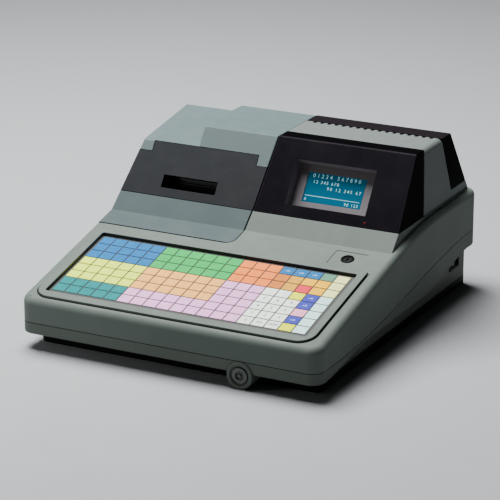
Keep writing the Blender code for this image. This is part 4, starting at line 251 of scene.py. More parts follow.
class Bench:
    """Modelling steps, each done with Blender's own operators on one piece."""

    @staticmethod
    def alone(piece: Piece) -> None:
        """Select one piece and make it the active one.

        Args:
            piece: piece to work on.
        """
        bpy.ops.object.select_all(action="DESELECT")
        piece.select_set(True)
        bpy.context.view_layer.objects.active = piece

    @staticmethod
    def edit(piece: Piece, mode: str = "VERT", everything: bool = False) -> None:
        """Open a piece in edit mode with one kind of element, all of it selected or as it was chosen.

        Args:
            piece: piece to work on.
            mode: kind of element.
            everything: whether to select all of it.
        """
        Bench.alone(piece)
        bpy.ops.object.mode_set(mode="EDIT")
        bpy.ops.mesh.select_mode(type=mode)
        if everything:
            bpy.ops.mesh.select_all(action="SELECT")

    @staticmethod
    def close() -> None:
        """Leave edit mode."""
        bpy.ops.object.mode_set(mode="OBJECT")

    @staticmethod
    def drawn(name: str, seat: Seat, outline: Sequence[Point], low: float, high: float) -> Piece:
        """Solid of an outline.

        Args:
            name: name of the piece.
            seat: plane that the outline is drawn in.
            outline: points of the closed outline.
            low: height of the foot of the solid above the plane.
            high: height of its top.

        Returns:
            The piece, closed, with its faces outwards.
        """
        bpy.ops.object.select_all(action="DESELECT")
        bpy.ops.mesh.primitive_circle_add(vertices=len(outline), fill_type="NGON")
        piece = bpy.context.object
        piece.name = piece.data.name = name
        for corner, (a, b) in zip(piece.data.vertices, outline):
            corner.co = seat.at(a, b, low)
        Bench.edit(piece, "FACE", True)
        bpy.ops.mesh.extrude_region_move(TRANSFORM_OT_translate={"value": seat.out * (high - low)})
        bpy.ops.mesh.select_all(action="SELECT")
        bpy.ops.mesh.normals_make_consistent(inside=False)
        Bench.close()
        return piece

    @staticmethod
    def turned(name: str, seat: Seat, profile: Sequence[Point], sides: int = 48,
               hollow: bool = False) -> Piece:
        """Solid of revolution about a seat's outward direction.

        Args:
            name: name of the piece.
            seat: seat whose origin lies on the axis.
            profile: points as radius and height; a solid starts and ends on the axis.
            sides: steps of the turn.
            hollow: whether the profile is closed round a bore.

        Returns:
            The piece, closed, with its faces outwards.
        """
        bpy.ops.object.select_all(action="DESELECT")
        bpy.ops.mesh.primitive_circle_add(vertices=len(profile), fill_type="NOTHING")
        piece = bpy.context.object
        piece.name = piece.data.name = name
        for corner, (radius, along) in zip(piece.data.vertices, profile):
            corner.co = seat.at(radius, 0.0, along)
        if not hollow:
            last = len(profile) - 1
            for edge in piece.data.edges:
                edge.select = set(edge.vertices) == {0, last}
            for corner in piece.data.vertices:
                corner.select = False
            Bench.edit(piece, "EDGE")
            bpy.ops.mesh.delete(type="EDGE")
            Bench.close()
        Bench.edit(piece, "VERT", True)
        bpy.ops.mesh.spin(steps=sides, angle=2 * pi, center=seat.origin, axis=seat.out)
        bpy.ops.mesh.select_all(action="SELECT")
        bpy.ops.mesh.remove_doubles(threshold=WELD)
        bpy.ops.mesh.dissolve_degenerate(threshold=WELD)
        bpy.ops.mesh.normals_make_consistent(inside=False)
        Bench.close()
        return piece

    @staticmethod
    def taken(node: str, name: str) -> Piece:
        """Copy of a CAD node's shape with its corners merged and its flat faces whole.

        Args:
            node: name of the CAD node.
            name: name of the new piece.

        Returns:
            The copy, on its own mesh.
        """
        shape = bpy.data.objects[node].data.copy()
        piece = bpy.data.objects.new(name, shape)
        shape.name = name
        shape.materials.clear()
        bpy.context.scene.collection.objects.link(piece)
        Bench.edit(piece, "VERT", True)
        bpy.ops.mesh.remove_doubles(threshold=WELD)
        bpy.ops.mesh.dissolve_limited(angle_limit=radians(1))
        Bench.close()
        return piece

    @staticmethod
    def choose(piece: Piece, test: EdgeTest) -> int:
        """Select the edges that pass a test and return how many there are.

        Args:
            piece: piece to work on.
            test: choice of the edges.

        Returns:
            How many edges there are.
        """
        mesh = piece.data
        beside: dict[tuple[int, int], list[Vector]] = {}
        for face in mesh.polygons:
            face.select = False
            for key in face.edge_keys:
                beside.setdefault(key, []).append(face.normal.copy())
        for corner in mesh.vertices:
            corner.select = False
        count = 0
        for edge in mesh.edges:
            a, b = (mesh.vertices[index].co.copy() for index in edge.vertices)
            edge.select = test(EdgeView(a, b, tuple(beside.get(edge.key, ()))))
            count += edge.select
        return count

    @staticmethod
    def round_edges(piece: Piece, width: float, test: EdgeTest, segments: int = 4) -> None:
        """Bevel the edges that pass a test.

        Args:
            piece: piece to work on.
            width: width of the bevel.
            test: choice of the edges.
            segments: steps of the rounding.
        """
        if not Bench.choose(piece, test):
            log.warning("%s: no edge to round", piece.name)
            return
        Bench.edit(piece, "EDGE")
        bpy.ops.mesh.bevel(offset=width, offset_type="OFFSET", segments=segments, affect="EDGES",
                           clamp_overlap=True)
        Bench.close()

    @staticmethod
    def soften(piece: Piece, width: float, segments: int = 3, sharper: float = 30.0) -> None:
        """Round every sharp edge with a Bevel modifier, which is applied.

        Args:
            piece: piece to work on.
            width: width of the rounding.
            segments: steps of the rounding.
            sharper: fold in degrees from which an edge is rounded.
        """
        Bench.alone(piece)
        step = piece.modifiers.new("soft_edges", "BEVEL")
        step.width = width
        step.segments = segments
        step.limit_method = "ANGLE"
        step.angle_limit = radians(sharper)
        step.harden_normals = False
        bpy.ops.object.modifier_apply(modifier=step.name)

    @staticmethod
    def combine(piece: Piece, tools: Iterable[Piece], operation: str) -> Piece:
        """Apply Boolean steps to a piece and take the tools away.

        Args:
            piece: piece to work on.
            tools: pieces used up as tools.
            operation: name of the operation.

        Returns:
            The piece.
        """
        for tool in tools:
            Bench.alone(piece)
            step = piece.modifiers.new("shape", "BOOLEAN")
            step.operation = operation
            step.solver = "EXACT"
            step.object = tool
            bpy.ops.object.modifier_apply(modifier=step.name)
            bpy.data.objects.remove(tool, do_unlink=True)
        return piece

    @staticmethod
    def cut(piece: Piece, *tools: Piece) -> Piece:
        """Take tools out of a piece."""
        return Bench.combine(piece, tools, "DIFFERENCE")

    @staticmethod
    def fuse(piece: Piece, *tools: Piece) -> Piece:
        """Add tools to a piece."""
        return Bench.combine(piece, tools, "UNION")

    @staticmethod
    def gather(name: str, pieces: Sequence[Piece]) -> Piece:
        """Join several pieces into one.

        Args:
            name: name of the piece.
            pieces: pieces to join.

        Returns:
            The joined piece.
        """
        first = pieces[0]
        Bench.alone(first)
        for piece in pieces[1:]:
            piece.select_set(True)
        bpy.ops.object.join()
        first.name = first.data.name = name
        return first

    @staticmethod
    def copy(piece: Piece, name: str, shift: Vector) -> Piece:
        """Copy of a piece with its own mesh, moved by a distance.

        Args:
            piece: piece to work on.
            name: name of the piece.
            shift: distance to move it.

        Returns:
            The copy.
        """
        twin = piece.copy()
        twin.data = piece.data.copy()
        twin.name = twin.data.name = name
        bpy.context.scene.collection.objects.link(twin)
        Bench.edit(twin, "VERT", True)
        bpy.ops.transform.translate(value=shift)
        Bench.close()
        return twin

    @staticmethod
    def figures(name: str, seat: Seat, words: str, size: float, thickness: float,
                spread: float = 1.0) -> Piece:
        """Raised figures centred on a seat.

        Args:
            name: name of the piece.
            seat: place of the middle of the figures.
            words: the figures.
            size: height of the type.
            thickness: how far they stand out.
            spread: spacing of the figures.

        Returns:
            The figures as a mesh.
        """
        bpy.ops.object.select_all(action="DESELECT")
        bpy.ops.object.text_add()
        piece = bpy.context.object
        piece.name = name
        piece.data.body = words
        piece.data.align_x = "CENTER"
        piece.data.align_y = "CENTER"
        piece.data.size = size
        piece.data.extrude = thickness / 2
        piece.data.space_character = spread
        piece.data.offset = size * FIGURE_WEIGHT
        piece.data.resolution_u = 2
        bpy.ops.object.convert(target="MESH")
        piece = bpy.context.object
        piece.data.transform(seat.matrix())
        Bench.edit(piece, "VERT", True)
        bpy.ops.mesh.remove_doubles(threshold=WELD)
        bpy.ops.mesh.normals_make_consistent(inside=False)
        Bench.close()
        return piece


def round_bar(node: str, name: str, chamfer: float, bore: float = 0.0, sides: int = 48) -> Piece:
    """Round bar in the place of a node whose axis runs across the till.

    Args:
        node: node that it stands for.
        name: name of the new piece.
        chamfer: width of the bevels at its ends.
        bore: radius of its bore.
        sides: steps of its turn.

    Returns:
        The bar.
    """
    low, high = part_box(node)
    radius, length = (high.z - low.z) / 2, high.x - low.x
    neck = radius - chamfer
    outer = [(neck, 0.0), (radius, chamfer), (radius, length - chamfer), (neck, length)]
    return Bench.turned(name, axle_seat(node), [(bore, 0.0), *outer, (bore, length)], sides, bore > 0.0)


VECTOR, COLOUR, NUMBER = "NodeSocketVector", "NodeSocketColor", "NodeSocketFloat"
DUST_COLOUR = (0.42, 0.41, 0.38, 1.0)


class Patterns:
    """Shader node groups shared by the finishes, each built once."""

    @staticmethod
    def group(name: str, inputs: Sequence[tuple[str, str, float | None]],
              outputs: Sequence[tuple[str, str]]) -> tuple[Tree, Node, Node]:
        """New node group with named sockets.

        Args:
            name: name of the group.
            inputs: name, socket type and default of each input.
            outputs: name and socket type of each output.

        Returns:
            The group with its input and output nodes.
        """
        tree = bpy.data.node_groups.new(name, "ShaderNodeTree")
        for label, kind, default in inputs:
            socket = tree.interface.new_socket(label, in_out="INPUT", socket_type=kind)
            if default is not None:
                socket.default_value = default
        for label, kind in outputs:
            tree.interface.new_socket(label, in_out="OUTPUT", socket_type=kind)
        return tree, tree.nodes.new("NodeGroupInput"), tree.nodes.new("NodeGroupOutput")

    @staticmethod
    def noise(tree: Tree, vector: Socket, scale: Value, detail: float, rough: float) -> Socket:
        """Noise texture on a vector with a linked or plain scale.

        Args:
            tree: tree to add to.
            vector: place on the surface.
            scale: how fine it is.
            detail: levels of detail.
            rough: weight of the fine levels.

        Returns:
            The texture's value.
        """
        node = tree.nodes.new("ShaderNodeTexNoise")
        node.inputs["Detail"].default_value = detail
        node.inputs["Roughness"].default_value = rough
        tree.links.new(vector, node.inputs["Vector"])
        if isinstance(scale, float):
            node.inputs["Scale"].default_value = scale
        else:
            tree.links.new(scale, node.inputs["Scale"])
        return node.outputs["Fac"]

    @staticmethod
    def math(tree: Tree, operation: str, first: Value, second: Value) -> Socket:
        """Math node with linked or plain values.

        Args:
            tree: tree to add to.
            operation: name of the operation.
            first: first value.
            second: second value.

        Returns:
            The result.
        """
        node = tree.nodes.new("ShaderNodeMath")
        node.operation = operation
        for socket, value in zip(node.inputs, (first, second)):
            if isinstance(value, float):
                socket.default_value = value
            else:
                tree.links.new(value, socket)
        return node.outputs[0]

    @staticmethod
    def tint(tree: Tree, mask: Socket, first: Socket, second: Socket | tuple[float, ...]) -> Socket:
        """Mix of two colours by a mask.

        Args:
            tree: tree to add to.
            mask: share of the second colour.
            first: colour where the mask is 0.
            second: colour where it is 1.

        Returns:
            The mixed colour.
        """
        node = tree.nodes.new("ShaderNodeMix")
        node.data_type = "RGBA"
        tree.links.new(mask, node.inputs["Factor"])
        tree.links.new(first, node.inputs["A"])
        if isinstance(second, tuple):
            node.inputs["B"].default_value = second
        else:
            tree.links.new(second, node.inputs["B"])
        return node.outputs["Result"]

    @staticmethod
    def spread(tree: Tree, value: Socket, low: float, high: float) -> Socket:
        """Range of a 0 to 1 value stretched between two limits and clamped.

        Args:
            tree: tree to add to.
            value: value to stretch.
            low: lower limit.
            high: upper limit.

        Returns:
            The stretched value.
        """
        node = tree.nodes.new("ShaderNodeMapRange")
        node.inputs["From Min"].default_value = low
        node.inputs["From Max"].default_value = high
        tree.links.new(value, node.inputs["Value"])
        return node.outputs["Result"]

    @classmethod
    def surface(cls, pattern: Pattern) -> Tree:
        """Group that varies colour, roughness and height over a surface in one of the patterns.

        Args:
            pattern: which pattern.

        Returns:
            The node group.
        """
        name = f"surface_{pattern.value}"
        if name in bpy.data.node_groups:
            return bpy.data.node_groups[name]
        tree, start, end = cls.group(
            name,
            (("Vector", VECTOR, None), ("Colour", COLOUR, None), ("Shade", COLOUR, None),
             ("Roughness", NUMBER, 0.5), ("Spread", NUMBER, 0.1), ("Grain", NUMBER, 1500.0),
             ("Patches", NUMBER, 14.0)),
            (("Colour", COLOUR), ("Roughness", NUMBER), ("Height", NUMBER)),
        )
        vector = start.outputs["Vector"]
        if pattern is Pattern.BRUSHED:
            stretch = tree.nodes.new("ShaderNodeMapping")
            stretch.inputs["Scale"].default_value = (0.04, 1.0, 1.0)
            tree.links.new(vector, stretch.inputs["Vector"])
            vector = stretch.outputs["Vector"]
        grain = cls.noise(tree, vector, start.outputs["Grain"], detail=3.0, rough=0.6)
        if pattern is Pattern.FIBROUS:
            cross = cls.noise(tree, vector, 900.0, detail=4.0, rough=0.8)
            grain = cls.math(tree, "MULTIPLY", grain, cross)
        if pattern is Pattern.ETCHED:
            cells = tree.nodes.new("ShaderNodeTexVoronoi")
            tree.links.new(vector, cells.inputs["Vector"])
            tree.links.new(start.outputs["Grain"], cells.inputs["Scale"])
            grain = cls.math(tree, "ADD", grain, cells.outputs["Distance"])
        clouds = cls.noise(tree, start.outputs["Vector"], start.outputs["Patches"], detail=3.0, rough=0.55)
        patches = cls.spread(tree, clouds, 0.3, 0.75)
        fine = cls.spread(tree, grain, 0.25, 0.8)
        coarse = cls.math(tree, "MULTIPLY", patches, 0.6)
        mask = cls.math(tree, "ADD", coarse, cls.math(tree, "MULTIPLY", fine, 0.4))
        colour = cls.tint(tree, mask, start.outputs["Colour"], start.outputs["Shade"])
        tree.links.new(colour, end.inputs["Colour"])
        swing = cls.math(tree, "SUBTRACT", patches, 0.5)
        swing = cls.math(tree, "MULTIPLY", swing, start.outputs["Spread"])
        tree.links.new(cls.math(tree, "ADD", start.outputs["Roughness"], swing), end.inputs["Roughness"])
        tree.links.new(grain, end.inputs["Height"])
        return tree

    @classmethod
    def dust(cls) -> Tree:
        """Group that lays a thin, patchy film of dust on faces that look up.

        Returns:
            The node group.
        """
        if "settled_dust" in bpy.data.node_groups:
            return bpy.data.node_groups["settled_dust"]
        tree, start, end = cls.group(
            "settled_dust",
            (("Vector", VECTOR, None), ("Normal", VECTOR, None), ("Amount", NUMBER, 0.1),
             ("Colour", COLOUR, None)),
            (("Colour", COLOUR), ("Mask", NUMBER)),
        )
        height = tree.nodes.new("ShaderNodeSeparateXYZ")
        tree.links.new(start.outputs["Normal"], height.inputs["Vector"])
        facing = cls.spread(tree, height.outputs["Z"], 0.35, 1.0)
        clouds = cls.noise(tree, start.outputs["Vector"], 60.0, detail=5.0, rough=0.65)
        patches = cls.spread(tree, clouds, 0.4, 0.8)
        amount = cls.math(tree, "MULTIPLY", facing, patches)
        amount = cls.math(tree, "MULTIPLY", amount, start.outputs["Amount"])
        tree.links.new(cls.tint(tree, amount, start.outputs["Colour"], DUST_COLOUR), end.inputs["Colour"])
        tree.links.new(amount, end.inputs["Mask"])
        return tree


@dataclass(frozen=True)
class Finish:
    """One surface finish, turned into a material when it is first needed."""

    name: str
    colour: Triple
    roughness: float = 0.5
    metallic: float = 0.0
    pattern: Pattern = Pattern.MOULDED
    shade: float = 0.88
    spread: float = 0.12
    grain: float = 1500.0
    patches: float = 14.0
    bump: float = 0.12
    dust: float = 0.0
    coat: float = 0.0
    coat_roughness: float = 0.08
    specular: float = 0.5
    glow: float = 0.0
    relief: float = 0.1 * MM

    def material(self) -> bpy.types.Material:
        """Material of this finish.

        Returns:
            The material.
        """
        if self.name in bpy.data.materials:
            return bpy.data.materials[self.name]
        made = bpy.data.materials.new(self.name)
        made.use_nodes = True
        tree = made.node_tree
        shader = tree.nodes["Principled BSDF"]
        self.set_plain(shader)
        place = tree.nodes.new("ShaderNodeTexCoord")
        pattern = tree.nodes.new("ShaderNodeGroup")
        pattern.node_tree = Patterns.surface(self.pattern)
        pattern.inputs["Colour"].default_value = (*self.colour, 1.0)
        pattern.inputs["Shade"].default_value = (*(part * self.shade for part in self.colour), 1.0)
        for label in ("roughness", "spread", "grain", "patches"):
            pattern.inputs[label.capitalize()].default_value = getattr(self, label)
        tree.links.new(place.outputs["Object"], pattern.inputs["Vector"])
        colour = pattern.outputs["Colour"]
        if self.dust:
            colour = self.add_dust(tree, place, colour)
        tree.links.new(colour, shader.inputs["Base Color"])
        if self.glow:
            tree.links.new(colour, shader.inputs["Emission Color"])
        tree.links.new(pattern.outputs["Roughness"], shader.inputs["Roughness"])
        bump = tree.nodes.new("ShaderNodeBump")
        bump.inputs["Strength"].default_value = self.bump
        bump.inputs["Distance"].default_value = self.relief
        tree.links.new(pattern.outputs["Height"], bump.inputs["Height"])
        tree.links.new(bump.outputs["Normal"], shader.inputs["Normal"])
        return made

    def set_plain(self, shader: Node) -> None:
        """Set the values that are the same all over the surface.

        Args:
            shader: shader to set.
        """
        shader.inputs["Metallic"].default_value = self.metallic
        shader.inputs["Coat Weight"].default_value = self.coat
        shader.inputs["Coat Roughness"].default_value = self.coat_roughness
        shader.inputs["Specular IOR Level"].default_value = self.specular
        shader.inputs["Emission Strength"].default_value = self.glow

    def add_dust(self, tree: Tree, place: Node, colour: Socket) -> Socket:
        """Lay dust on the finish and return its colour.

        Args:
            tree: tree to add to.
            place: node that gives the place.
            colour: colour under the dust.

        Returns:
            The dusted colour.
        """
        dust = tree.nodes.new("ShaderNodeGroup")
        dust.node_tree = Patterns.dust()
        dust.inputs["Amount"].default_value = self.dust
        facing = tree.nodes.new("ShaderNodeNewGeometry")
        tree.links.new(place.outputs["Object"], dust.inputs["Vector"])
        tree.links.new(facing.outputs["Normal"], dust.inputs["Normal"])
        tree.links.new(colour, dust.inputs["Colour"])
        return dust.outputs["Colour"]


CASE_GREY = Finish("case_grey_plastic", (0.109, 0.135, 0.119), 0.6, dust=0.06, bump=0.16, specular=0.14)
LOWER_GREY = Finish("lower_grey_plastic", (0.098, 0.116, 0.1), 0.6, dust=0.04, bump=0.16, specular=0.14)
COVER_GREY = Finish("cover_grey_plastic", (0.088, 0.127, 0.129), 0.58, dust=0.05, bump=0.16, specular=0.14)
# Darker grey of the cover's apron below the window: painted shade.
APRON_PAINTED_SHADE = Finish("cover_apron_painted_shade", (0.054, 0.078, 0.08), 0.6, dust=0.03, bump=0.16, specular=0.12)
# Lighter grey of the cover's faces that look forward above the window: painted light.
BLOCK_FRONT_PAINTED_LIGHT = Finish("block_front_painted_light", (0.12, 0.157, 0.158), 0.58, dust=0.05, specular=0.14)
POD_GREY = Finish("pod_grey_plastic", (0.122, 0.142, 0.136), 0.6, dust=0.06, bump=0.16, specular=0.14)
# Black: painted shade in the seams and at the parting line, and plain black on edges and cups elsewhere.
BLACK_AND_SEAM_SHADE = Finish("black_plastic_and_seam_shade", (0.004, 0.004, 0.005), 0.75, bump=0.1, specular=0.01)
# Dark grey on the inside of the case and cover: painted shade.
INSIDE_SHADE_GREY = Finish("inside_painted_shade", (0.022, 0.024, 0.023), 0.65, bump=0.15, specular=0.12)
# Painted shade on the rear wall of the keyboard's recess.
RECESS_SHADE = Finish("recess_painted_shade", (0.04, 0.039, 0.039), 0.7, bump=0.1, specular=0.05)
# Brown tone painted on the other walls of the recess as their shade.
RIM_SHADE = Finish("recess_wall_painted_shade", (0.13, 0.115, 0.105), 0.6, bump=0.1, specular=0.2)
# Painted shade in the groove round the keyboard's frame.
GROOVE_SHADE = Finish("groove_painted_shade", (0.022, 0.025, 0.028), 0.7, bump=0.1, specular=0.05)
BASE_BLACK = Finish("base_black_plastic", (0.004, 0.004, 0.004), 0.62, bump=0.2, dust=0.01, specular=0.1)
PANEL_BLACK = Finish("panel_black", (0.0055, 0.0045, 0.0075), 0.24, coat=0.08, spread=0.06, bump=0.02,
                     dust=0.02, specular=0.3)
# Near-black with almost no gloss: painted shade on the pod's sides, plain black on the printer's frame.
BLACK_AND_SIDE_SHADE = Finish("black_plastic_and_side_shade", (0.0012, 0.001, 0.0014), 0.6, spread=0.08, bump=0.1, specular=0.008)
# Lighter purple on the rear cover's upward faces: painted sheen.
SHELL_TOP_SHEEN = Finish("shell_top_painted_sheen", (0.0085, 0.0065, 0.0085), 0.6, spread=0.08, bump=0.1,
                      specular=0.03)
SMOKED = Finish("smoked_sheet", (0.03, 0.032, 0.035), 0.26, coat=0.1, spread=0.05, bump=0.02, dust=0.05,
                specular=0.35)
LENS = Finish("dark_lens", (0.02, 0.008, 0.01), 0.08, coat=0.6, spread=0.03, bump=0.01)
RUBBER = Finish("rubber_black", (0.02, 0.02, 0.02), 0.85, bump=0.3, grain=900.0)
BEZEL = Finish("bezel_grey_plastic", (0.17, 0.158, 0.17), 0.55, bump=0.12, specular=0.15)
SIGHT_WALL = Finish("sight_wall_plastic", (0.16, 0.146, 0.166), 0.55, bump=0.12, specular=0.15)
# Lighter than the panel, without gloss, on the bevel round it: painted highlight.
PANEL_EDGE_HIGHLIGHT = Finish("panel_edge_painted_highlight", (0.018, 0.015, 0.02), 0.6, bump=0.02, specular=0.0)
LCD_BLUE = Finish("display_blue_glass", (0.0, 0.1, 0.175), 0.25, coat=0.03, glow=0.3, bump=0.01, spread=0.03,
                  specular=0.3)
LCD_LIGHT = Finish("display_marks", (0.33, 0.66, 0.72), 0.4, glow=0.5, bump=0.0, specular=0.1)
LAMP_RED = Finish("lamp_red_lens", (0.13, 0.008, 0.012), 0.5, glow=0.06, bump=0.0, specular=0.05)
LOCK_BLACK = Finish("lock_black_metal", (0.0016, 0.0016, 0.0018), 0.5, 0.1, Pattern.BRUSHED, grain=2600.0,
                    specular=0.05)
STEEL = Finish("bright_steel", (0.52, 0.53, 0.54), 0.32, 1.0, Pattern.BRUSHED, grain=2600.0)
DARK_STEEL = Finish("dark_steel", (0.07, 0.075, 0.072), 0.5, 0.8, Pattern.BRUSHED, grain=2200.0)
CONTACT = Finish("contact_steel", (0.1, 0.107, 0.102), 0.42, 0.7, Pattern.BRUSHED, grain=2600.0)
ALUMINIUM = Finish("plain_aluminium", (0.62, 0.63, 0.64), 0.4, 1.0, Pattern.BRUSHED, grain=2200.0)
BRASS = Finish("turned_brass", (0.68, 0.47, 0.18), 0.3, 1.0, Pattern.BRUSHED, grain=2600.0)
NYLON = Finish("natural_nylon", (0.7, 0.69, 0.62), 0.45, bump=0.08)
BOARD_GREEN = Finish("board_green", (0.018, 0.12, 0.05), 0.38, pattern=Pattern.ETCHED, grain=420.0, coat=0.3)
CHIP_BLACK = Finish("chip_black", (0.015, 0.015, 0.016), 0.5, pattern=Pattern.ETCHED, grain=900.0, bump=0.1)
PAPER = Finish("till_paper", (0.82, 0.82, 0.79), 0.85, pattern=Pattern.FIBROUS, grain=1400.0, bump=0.1)
FILM_EDGE = Finish("film_margin", (0.06, 0.064, 0.06), 0.6, bump=0.05, specular=0.12)
FILM_WEB = Finish("film_web", (0.06, 0.054, 0.05), 0.6, bump=0.05, specular=0.12)
DARK_INK = Finish("dark_ink", (0.06, 0.06, 0.07), 0.5, bump=0.0, specular=0.1)
WHITE_INK = Finish("white_ink", (0.5, 0.66, 0.85), 0.5, bump=0.0, specular=0.1)


Pick = Callable[[Vector, Vector], Finish]


def print_ink(name: str, colour: Triple) -> Finish:
    """Finish of a printed cell under the clear film."""
    return Finish(f"print_{name}", colour, 0.6, shade=0.72, bump=0.05, patches=190.0, specular=0.08)


@dataclass
class CaseForm:
    """Main form of the case, from which every sub-assembly takes its places."""

    front_height: float = 63.6 * MM
    slope: float = radians(12.9)
    crease_share: float = 0.4623
    ledge_rise: float = 15.9 * MM
    riser_run: float = 21.4 * MM
    riser_rise: float = 18.7 * MM
    parting_share: float = 0.535
    parting_climb: float = 42.0 * MM
    parting_start: float = 60.0 * MM
    parting_end: float = 12.0 * MM
    flange_front: float = 20.0 * MM
    flange_start: float = 20.0 * MM
    flange_run: float = 120.0 * MM
    flange_climb: float = 14.0 * MM
    flange_rear_start: float = 0.636
    flange_rear_run: float = 0.318
    flange_rear_climb: float = 22.0 * MM
    face_slope: float = radians(55.5)
    face_length: float = 101.8 * MM
    seam: float = -7.0 * MM
    seam_lean: float = 0.09
    rear_set_in: float = 14.5 * MM
    pod_set_in: float = 8.4 * MM
    pod_draft: float = 0.04
    pod_gap: float = 0.5 * MM
    cover_lip: float = 32.9 * MM
    cover_skirt: float = 8.0 * MM
    lock_half: Point = (21.0 * MM, 15.5 * MM)
    wall: float = 3.0 * MM
    low: Vector = field(default_factory=lambda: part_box("upper_case")[0])
    high: Vector = field(default_factory=lambda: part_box("upper_case")[1])

    def __post_init__(self) -> None:
        """Work out the places that follow from the sizes."""
        self.half = self.high.x
        self.front_y = self.low.y
        self.depth = self.high.y - self.low.y
        self.crease = self.depth * self.crease_share
        self.crease_height = self.front_height + self.crease * tan(self.slope)
        self.ledge_height = self.crease_height + self.ledge_rise
        self.ledge_radius = self.ledge_rise / (1 - cos(self.slope))
        self.ledge_run = self.ledge_radius * sin(self.slope)
        self.riser_top = self.crease + self.riser_run
        self.riser_rear = self.depth - self.rear_set_in
        self.riser_height = self.crease_height + self.riser_rise
        self.face_top = self.riser_top + self.face_length * cos(self.face_slope)
        self.pod_height = self.riser_height + self.face_length * sin(self.face_slope)

    def top(self, depth: float) -> float:
        """Height of the deck and of the side ledges behind it.

        Args:
            depth: depth from the front.

        Returns:
            The height.
        """
        if depth <= self.crease:
            return self.front_height + depth * tan(self.slope)
        rest = self.ledge_run - min(depth - self.crease, self.ledge_run)
        return self.ledge_height - self.ledge_radius + sqrt(self.ledge_radius ** 2 - rest ** 2)

    def parting(self, depth: float) -> float:
        """Height of the line between upper and lower case.

        Args:
            depth: depth from the front.

        Returns:
            The height.
        """
        run = self.depth - self.parting_start - self.parting_end
        climb = self.parting_climb * smooth_step((depth - self.parting_start) / run)
        return self.front_height * self.parting_share + climb

    def flange(self, depth: float) -> float:
        """Height of the lower edge of the lower case's flange.

        Args:
            depth: depth from the front.

        Returns:
            The height.
        """
        first = smooth_step((depth - self.flange_start) / self.flange_run)
        second = smooth_step((depth / self.depth - self.flange_rear_start) / self.flange_rear_run)
        return self.flange_front + self.flange_climb * first + self.flange_rear_climb * second

    def pod_left(self, z: float) -> float:
        """Left wall of the display pod."""
        return self.seam + self.seam_lean * max(z - self.riser_height, 0.0) + self.pod_gap

    def pod_right(self, z: float) -> float:
        """Right wall of the display pod."""
        return self.half - self.pod_set_in - self.pod_draft * (z - self.crease_height)

    def side(self) -> Seat:
        """Seat of side profiles, drawn as depth and height."""
        return Seat(Vector((0.0, self.front_y, 0.0)), Y_WAY, Z_WAY)

    def plan(self) -> Seat:
        """Seat of plan outlines, drawn as x and depth."""
        return Seat(Vector((0.0, self.front_y, 0.0)), X_WAY, Y_WAY)

    def front(self, depth: float = 0.0) -> Seat:
        """Seat of front outlines, drawn as x and height."""
        return Seat(Vector((0.0, self.front_y + depth, 0.0)), X_WAY, Z_WAY)

    def deck(self) -> Seat:
        """Seat on the sloping deck."""
        up = Vector((0.0, cos(self.slope), sin(self.slope)))
        return Seat(Vector((0.0, self.front_y, self.front_height)), X_WAY, up)

    def face(self) -> Seat:
        """Seat on the sloping front of display pod and printer cover."""
        up = Vector((0.0, cos(self.face_slope), sin(self.face_slope)))
        return Seat(Vector((0.0, self.front_y + self.riser_top, self.riser_height)), X_WAY, up)


@dataclass
class Finisher:
    """Puts finishes on pieces, hands them to the frame and reports them."""

    count: int = 0

    def done(self, piece: Piece, body: Body, finish: Finish, slot: str, stands_for: Sequence[str] = (),
             smooth: float = 32.0, keep_finishes: bool = False) -> None:
        """Finish a new piece.

        Args:
            piece: the modelled piece.
            body: body that it rides on.
            finish: its finish.
            slot: name of a material slot of the record; not used.
            stands_for: CAD nodes that it replaces.
            smooth: angle in degrees below which faces blend.
            keep_finishes: whether its faces have finishes of their own already.
        """
        Bench.alone(piece)
        bpy.ops.object.shade_smooth_by_angle(angle=radians(smooth))
        step = piece.modifiers.new("even_shading", "WEIGHTED_NORMAL")
        step.keep_sharp = True
        bpy.ops.object.modifier_apply(modifier=step.name)
        if not keep_finishes:
            piece.data.materials.clear()
            piece.data.materials.append(finish.material())
        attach(piece, body.value)
        if stands_for:
            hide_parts(*stands_for)
        self.count += 1
        log.info("piece %s on %s: %d faces", piece.name, body.value, len(piece.data.polygons))

    def dress(self, finish: Finish, *nodes: str) -> None:
        """Give CAD nodes that stay as they are a finish.

        Args:
            finish: the finish.
            nodes: names of the nodes.
        """
        for node in nodes:
            shape = bpy.data.objects[node].data
            shape.materials.clear()
            shape.materials.append(finish.material())
            log.info("node %s dressed in %s", node, finish.name)

    @staticmethod
    def paint(piece: Piece, finishes: Sequence[Finish], pick: Pick) -> None:
        """Give each face one of several finishes, picked by its middle and its normal.

        Args:
            piece: piece to work on.
            finishes: all its finishes.
            pick: finish of a face by its middle and normal.
        """
        piece.data.materials.clear()
        for finish in finishes:
            piece.data.materials.append(finish.material())
        for face in piece.data.polygons:
            face.material_index = finishes.index(pick(face.center, face.normal))


